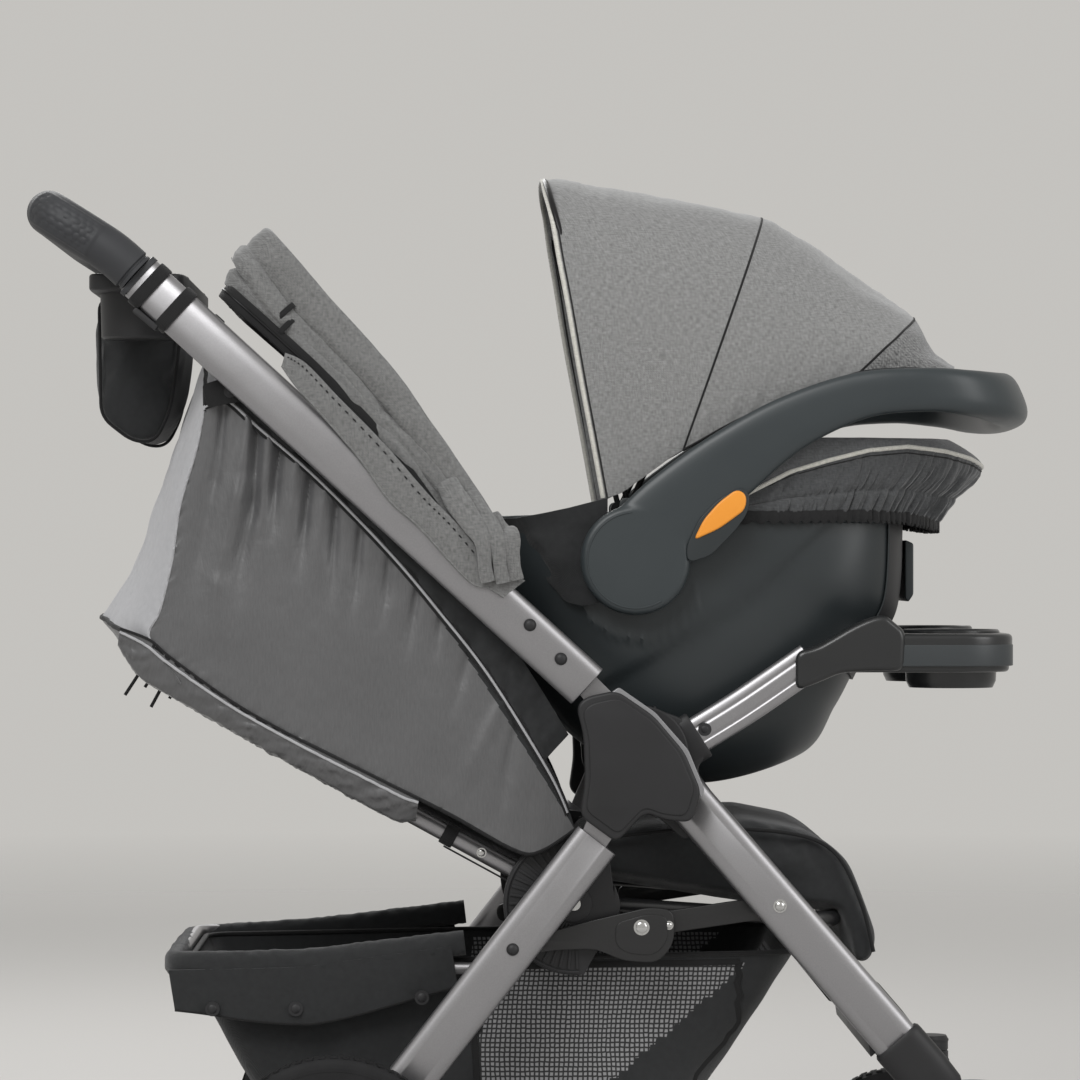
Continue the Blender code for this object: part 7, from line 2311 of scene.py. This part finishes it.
grid = [[work.verts.new(point) for point in ring] for ring in ring_rows]
for row, following in zip(grid, grid[1:]):
    for index in range(HANDLE_COUNT):
        after = (index + 1) % HANDLE_COUNT
        work.faces.new((row[index], row[after], following[after], following[index]))
work.faces.new(grid[0])
work.faces.new(grid[-1])
bmesh.ops.recalc_face_normals(work, faces=work.faces)
work.to_mesh(arms)
work.free()
arms.materials.append(SLATE_PLASTIC)
pieces = [linked("arms", arms)]
for label, sign in SIDES:
    near = sign * 0.1992
    profile = [(0.0084, near), (0.0505, near), (0.0535, near + sign * 0.0028), (0.0545, near + sign * 0.0060),
               (0.0545, sign * 0.2130), (0.0530, sign * 0.2165), (0.0500, sign * 0.2185),
               (0.0300, sign * 0.2191),
               (0, sign * 0.2192), (0, sign * 0.2127), (0.0084, sign * 0.2127)]
    pieces.append(turned("hub", profile, side(*CARRIER_HUB, 0), SLATE_PLASTIC, 96))
handle = fused("arms", pieces)
mesher = handle.modifiers.new("one_moulding", "REMESH")
mesher.mode = "VOXEL"
mesher.voxel_size = 0.0021
mesher.use_smooth_shade = True
calm = handle.modifiers.new("polished_tool", "SMOOTH")
calm.factor = 0.5
calm.iterations = 6
handle = frozen(handle, 50)
rims = []
for label, sign in SIDES:
    circle_line = [side(u, w, sign * 0.2188) for u, w in arc(CARRIER_HUB, 0.0475, 95, 3, 70)]
    rims.append(strand("rim_line", circle_line, (0.0016, 0.0012, 8, 2.0), SLATE_PLASTIC))
handle = fused("carrier_handle_piece", [handle] + rims)
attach(handle, "carrier_handle")
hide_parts("carrier_handle")
LEAF = [(0.0970, 0.2615), (0.1069, 0.2556), (0.1055, 0.2410), (0.0800, 0.2224), (0.0540, 0.2104),
        (0.0640, 0.2310),
        (0.0790, 0.2480)]
RECESS = [(0.1010, 0.2635), (0.1100, 0.2560), (0.1080, 0.2380), (0.0960, 0.2210), (0.0710, 0.1955),
          (0.0486, 0.1885),
          (0.0470, 0.2040), (0.0600, 0.2320), (0.0780, 0.2505)]
recesses = []
for label, sign in SIDES:
    recesses.append(slab("recess", softened(RECESS, 0.008, 8), *layer(sign, 0.2160, 0.2196), 0.0008,
                         SHELL_PLASTIC))
    button = slab("handle_button_piece_" + label, softened(LEAF, 0.007, 8), *layer(sign, 0.2150, 0.2215),
                  0.0020, ORANGE_ACETAL,
                  (), 5)
    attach(button, "handle_button_" + label)
    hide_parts("handle_button_" + label)
recesses = fused("button_recesses", recesses)
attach(recesses, "carrier_handle")


# The carrier's sunshade: heather grey twill over two spring-steel bows, in three panels with
# welted seams. The cloth sags a little between the bows and has a pale piped front edge.
SHADE_PIVOT = (-0.0080, 0.2450)
SHADE_HALF = 0.1885
for name, angle, reach, lateral, body in (("sunshade_mid_bow", 64.7, 0.314, 0.1640, "sunshade_mid"),
                                          ("sunshade_front_bow", 104.0, 0.343, 0.1560, "sunshade_front")):
    tip = (SHADE_PIVOT[0] + reach * math.cos(math.radians(angle)),
           SHADE_PIVOT[1] + reach * math.sin(math.radians(angle)))
    path = bent([side(*SHADE_PIVOT, -lateral), side(*tip, -lateral), side(*tip, lateral),
                 side(*SHADE_PIVOT, lateral)],
                0.110, 20)
    parts = [strand("bow", stepped(path, 0.015), (0.0060, 0.0060, 16, 2.0), BOW_STEEL)]
    for label, sign in SIDES:
        middle = sign * lateral
        parts.append(turned("eye",
                            [(0.0033, middle - 0.003), (0.0083, middle - 0.003), (0.0090, middle - 0.0023),
                                    (0.0090, middle + 0.0023), (0.0083, middle + 0.003),
                             (0.0033, middle + 0.003)],
                            side(*SHADE_PIVOT, 0), BOW_STEEL, 32))
    bow = fused(name + "_piece", parts)
    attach(bow, body)
    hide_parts(name)
SHADE_TOP = [(-0.0935, 0.5800), (-0.0700, 0.5840), (-0.0364, 0.5780), (0.0437, 0.5640), (0.1318, 0.5420),
             (0.1800, 0.5190),
             (0.2141, 0.4960), (0.2500, 0.4690), (0.2860, 0.4380), (0.3060, 0.4080), (0.3200, 0.3850)]
SHADE_FOOT = [(-0.0344, 0.2530), (-0.0180, 0.2580), (0.0000, 0.2700), (0.0220, 0.2860), (0.0452, 0.3006),
              (0.0900, 0.3260),
              (0.1300, 0.3450), (0.1800, 0.3650), (0.2213, 0.3780), (0.2650, 0.3830), (0.3120, 0.3800)]
SHADE_NET = heather_twill("sunshade_net", "#4a4a4a", "#8a8a89", 0.0050)


def shade_rows(first, last, per_gap=14):
    """Rows of the sunshade between two numbered stations, each an arch from right to left."""
    rows = []
    count = (last - first) * per_gap
    tops = eased([(u, w, 0) for u, w in SHADE_TOP], per_gap)
    feet = eased([(u, w, 0) for u, w in SHADE_FOOT], per_gap)
    for index in range(count + 1):
        place_at = first * per_gap + index
        top = tops[place_at]
        foot = feet[place_at]
        share = index / count
        sag = 0.0055 * math.sin(math.pi * share)
        row = []
        for step in range(97):
            a = math.pi * step / 96
            lateral, reach = arch(a, 0.62)
            slack = ripple(place_at * 0.09, step * 0.10, 6.0) * 0.0028
            pull = ripple(place_at * 0.30, step * 0.05, 2.0) * 0.0014
            near_foot = math.exp(-((1 - abs(lateral)) / 0.05)) * 0.0015 * math.sin(place_at * 0.8)
            u = foot.x + (top.x - foot.x) * reach
            w = foot.y + (top.y - foot.y) * reach
            down = (sag - slack - pull) * (0.25 + 0.75 * reach)
            row.append(side(u - down * 0.35, w - down * 0.9,
                            lateral * (SHADE_HALF - 0.0012 - down * 0.8 * (1 - reach)) + near_foot * 0.3))
        rows.append(row)
    return rows


front_rows = shade_rows(0, 4)
rear_rows = shade_rows(4, 8)
end_rows = shade_rows(8, 10)
front_panel = skin("sunshade_front_panel", front_rows, SHADE_TWILL, 0.0018)
rear_panel = skin("sunshade_rear_panel", rear_rows, SHADE_TWILL, 0.0018)
end_panel = skin("sunshade_end", end_rows, SHADE_NET, 0.0016)
edge_pipe = strand("edge_piping", front_rows[0], (0.0048, 0.0048, 12, 2.0), PALE_TWILL)
edge_line = strand("edge_line", [p + Vector((0.0042, 0, -0.0002)) for p in front_rows[0]],
                  (0.0022, 0.0040, 10, 2.0), WEBBING)
seam_one = strand("seam_one", front_rows[-1], SEAM_CORD, WEBBING)
front_piece = fused("sunshade_front_cloth", [front_panel, edge_pipe, edge_line, seam_one])
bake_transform(front_piece)
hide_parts("sunshade_fabric")
seam_two = strand("seam_two", rear_rows[-1], SEAM_CORD, WEBBING)
rear_piece = fused("sunshade_rear_cloth", [rear_panel, seam_two])
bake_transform(rear_piece)
foot_hem = []
for label, sign in SIDES:
    edge_points = [row[0] if sign < 0 else row[-1] for row in rear_rows[::3] + end_rows[::3]]
    foot_hem.append(strand("foot_hem", edge_points, (0.0030, 0.0044, 10, 2.0), WEBBING))
end_piece = fused("sunshade_end_cloth", [end_panel] + foot_hem)
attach(end_piece, "carrier")
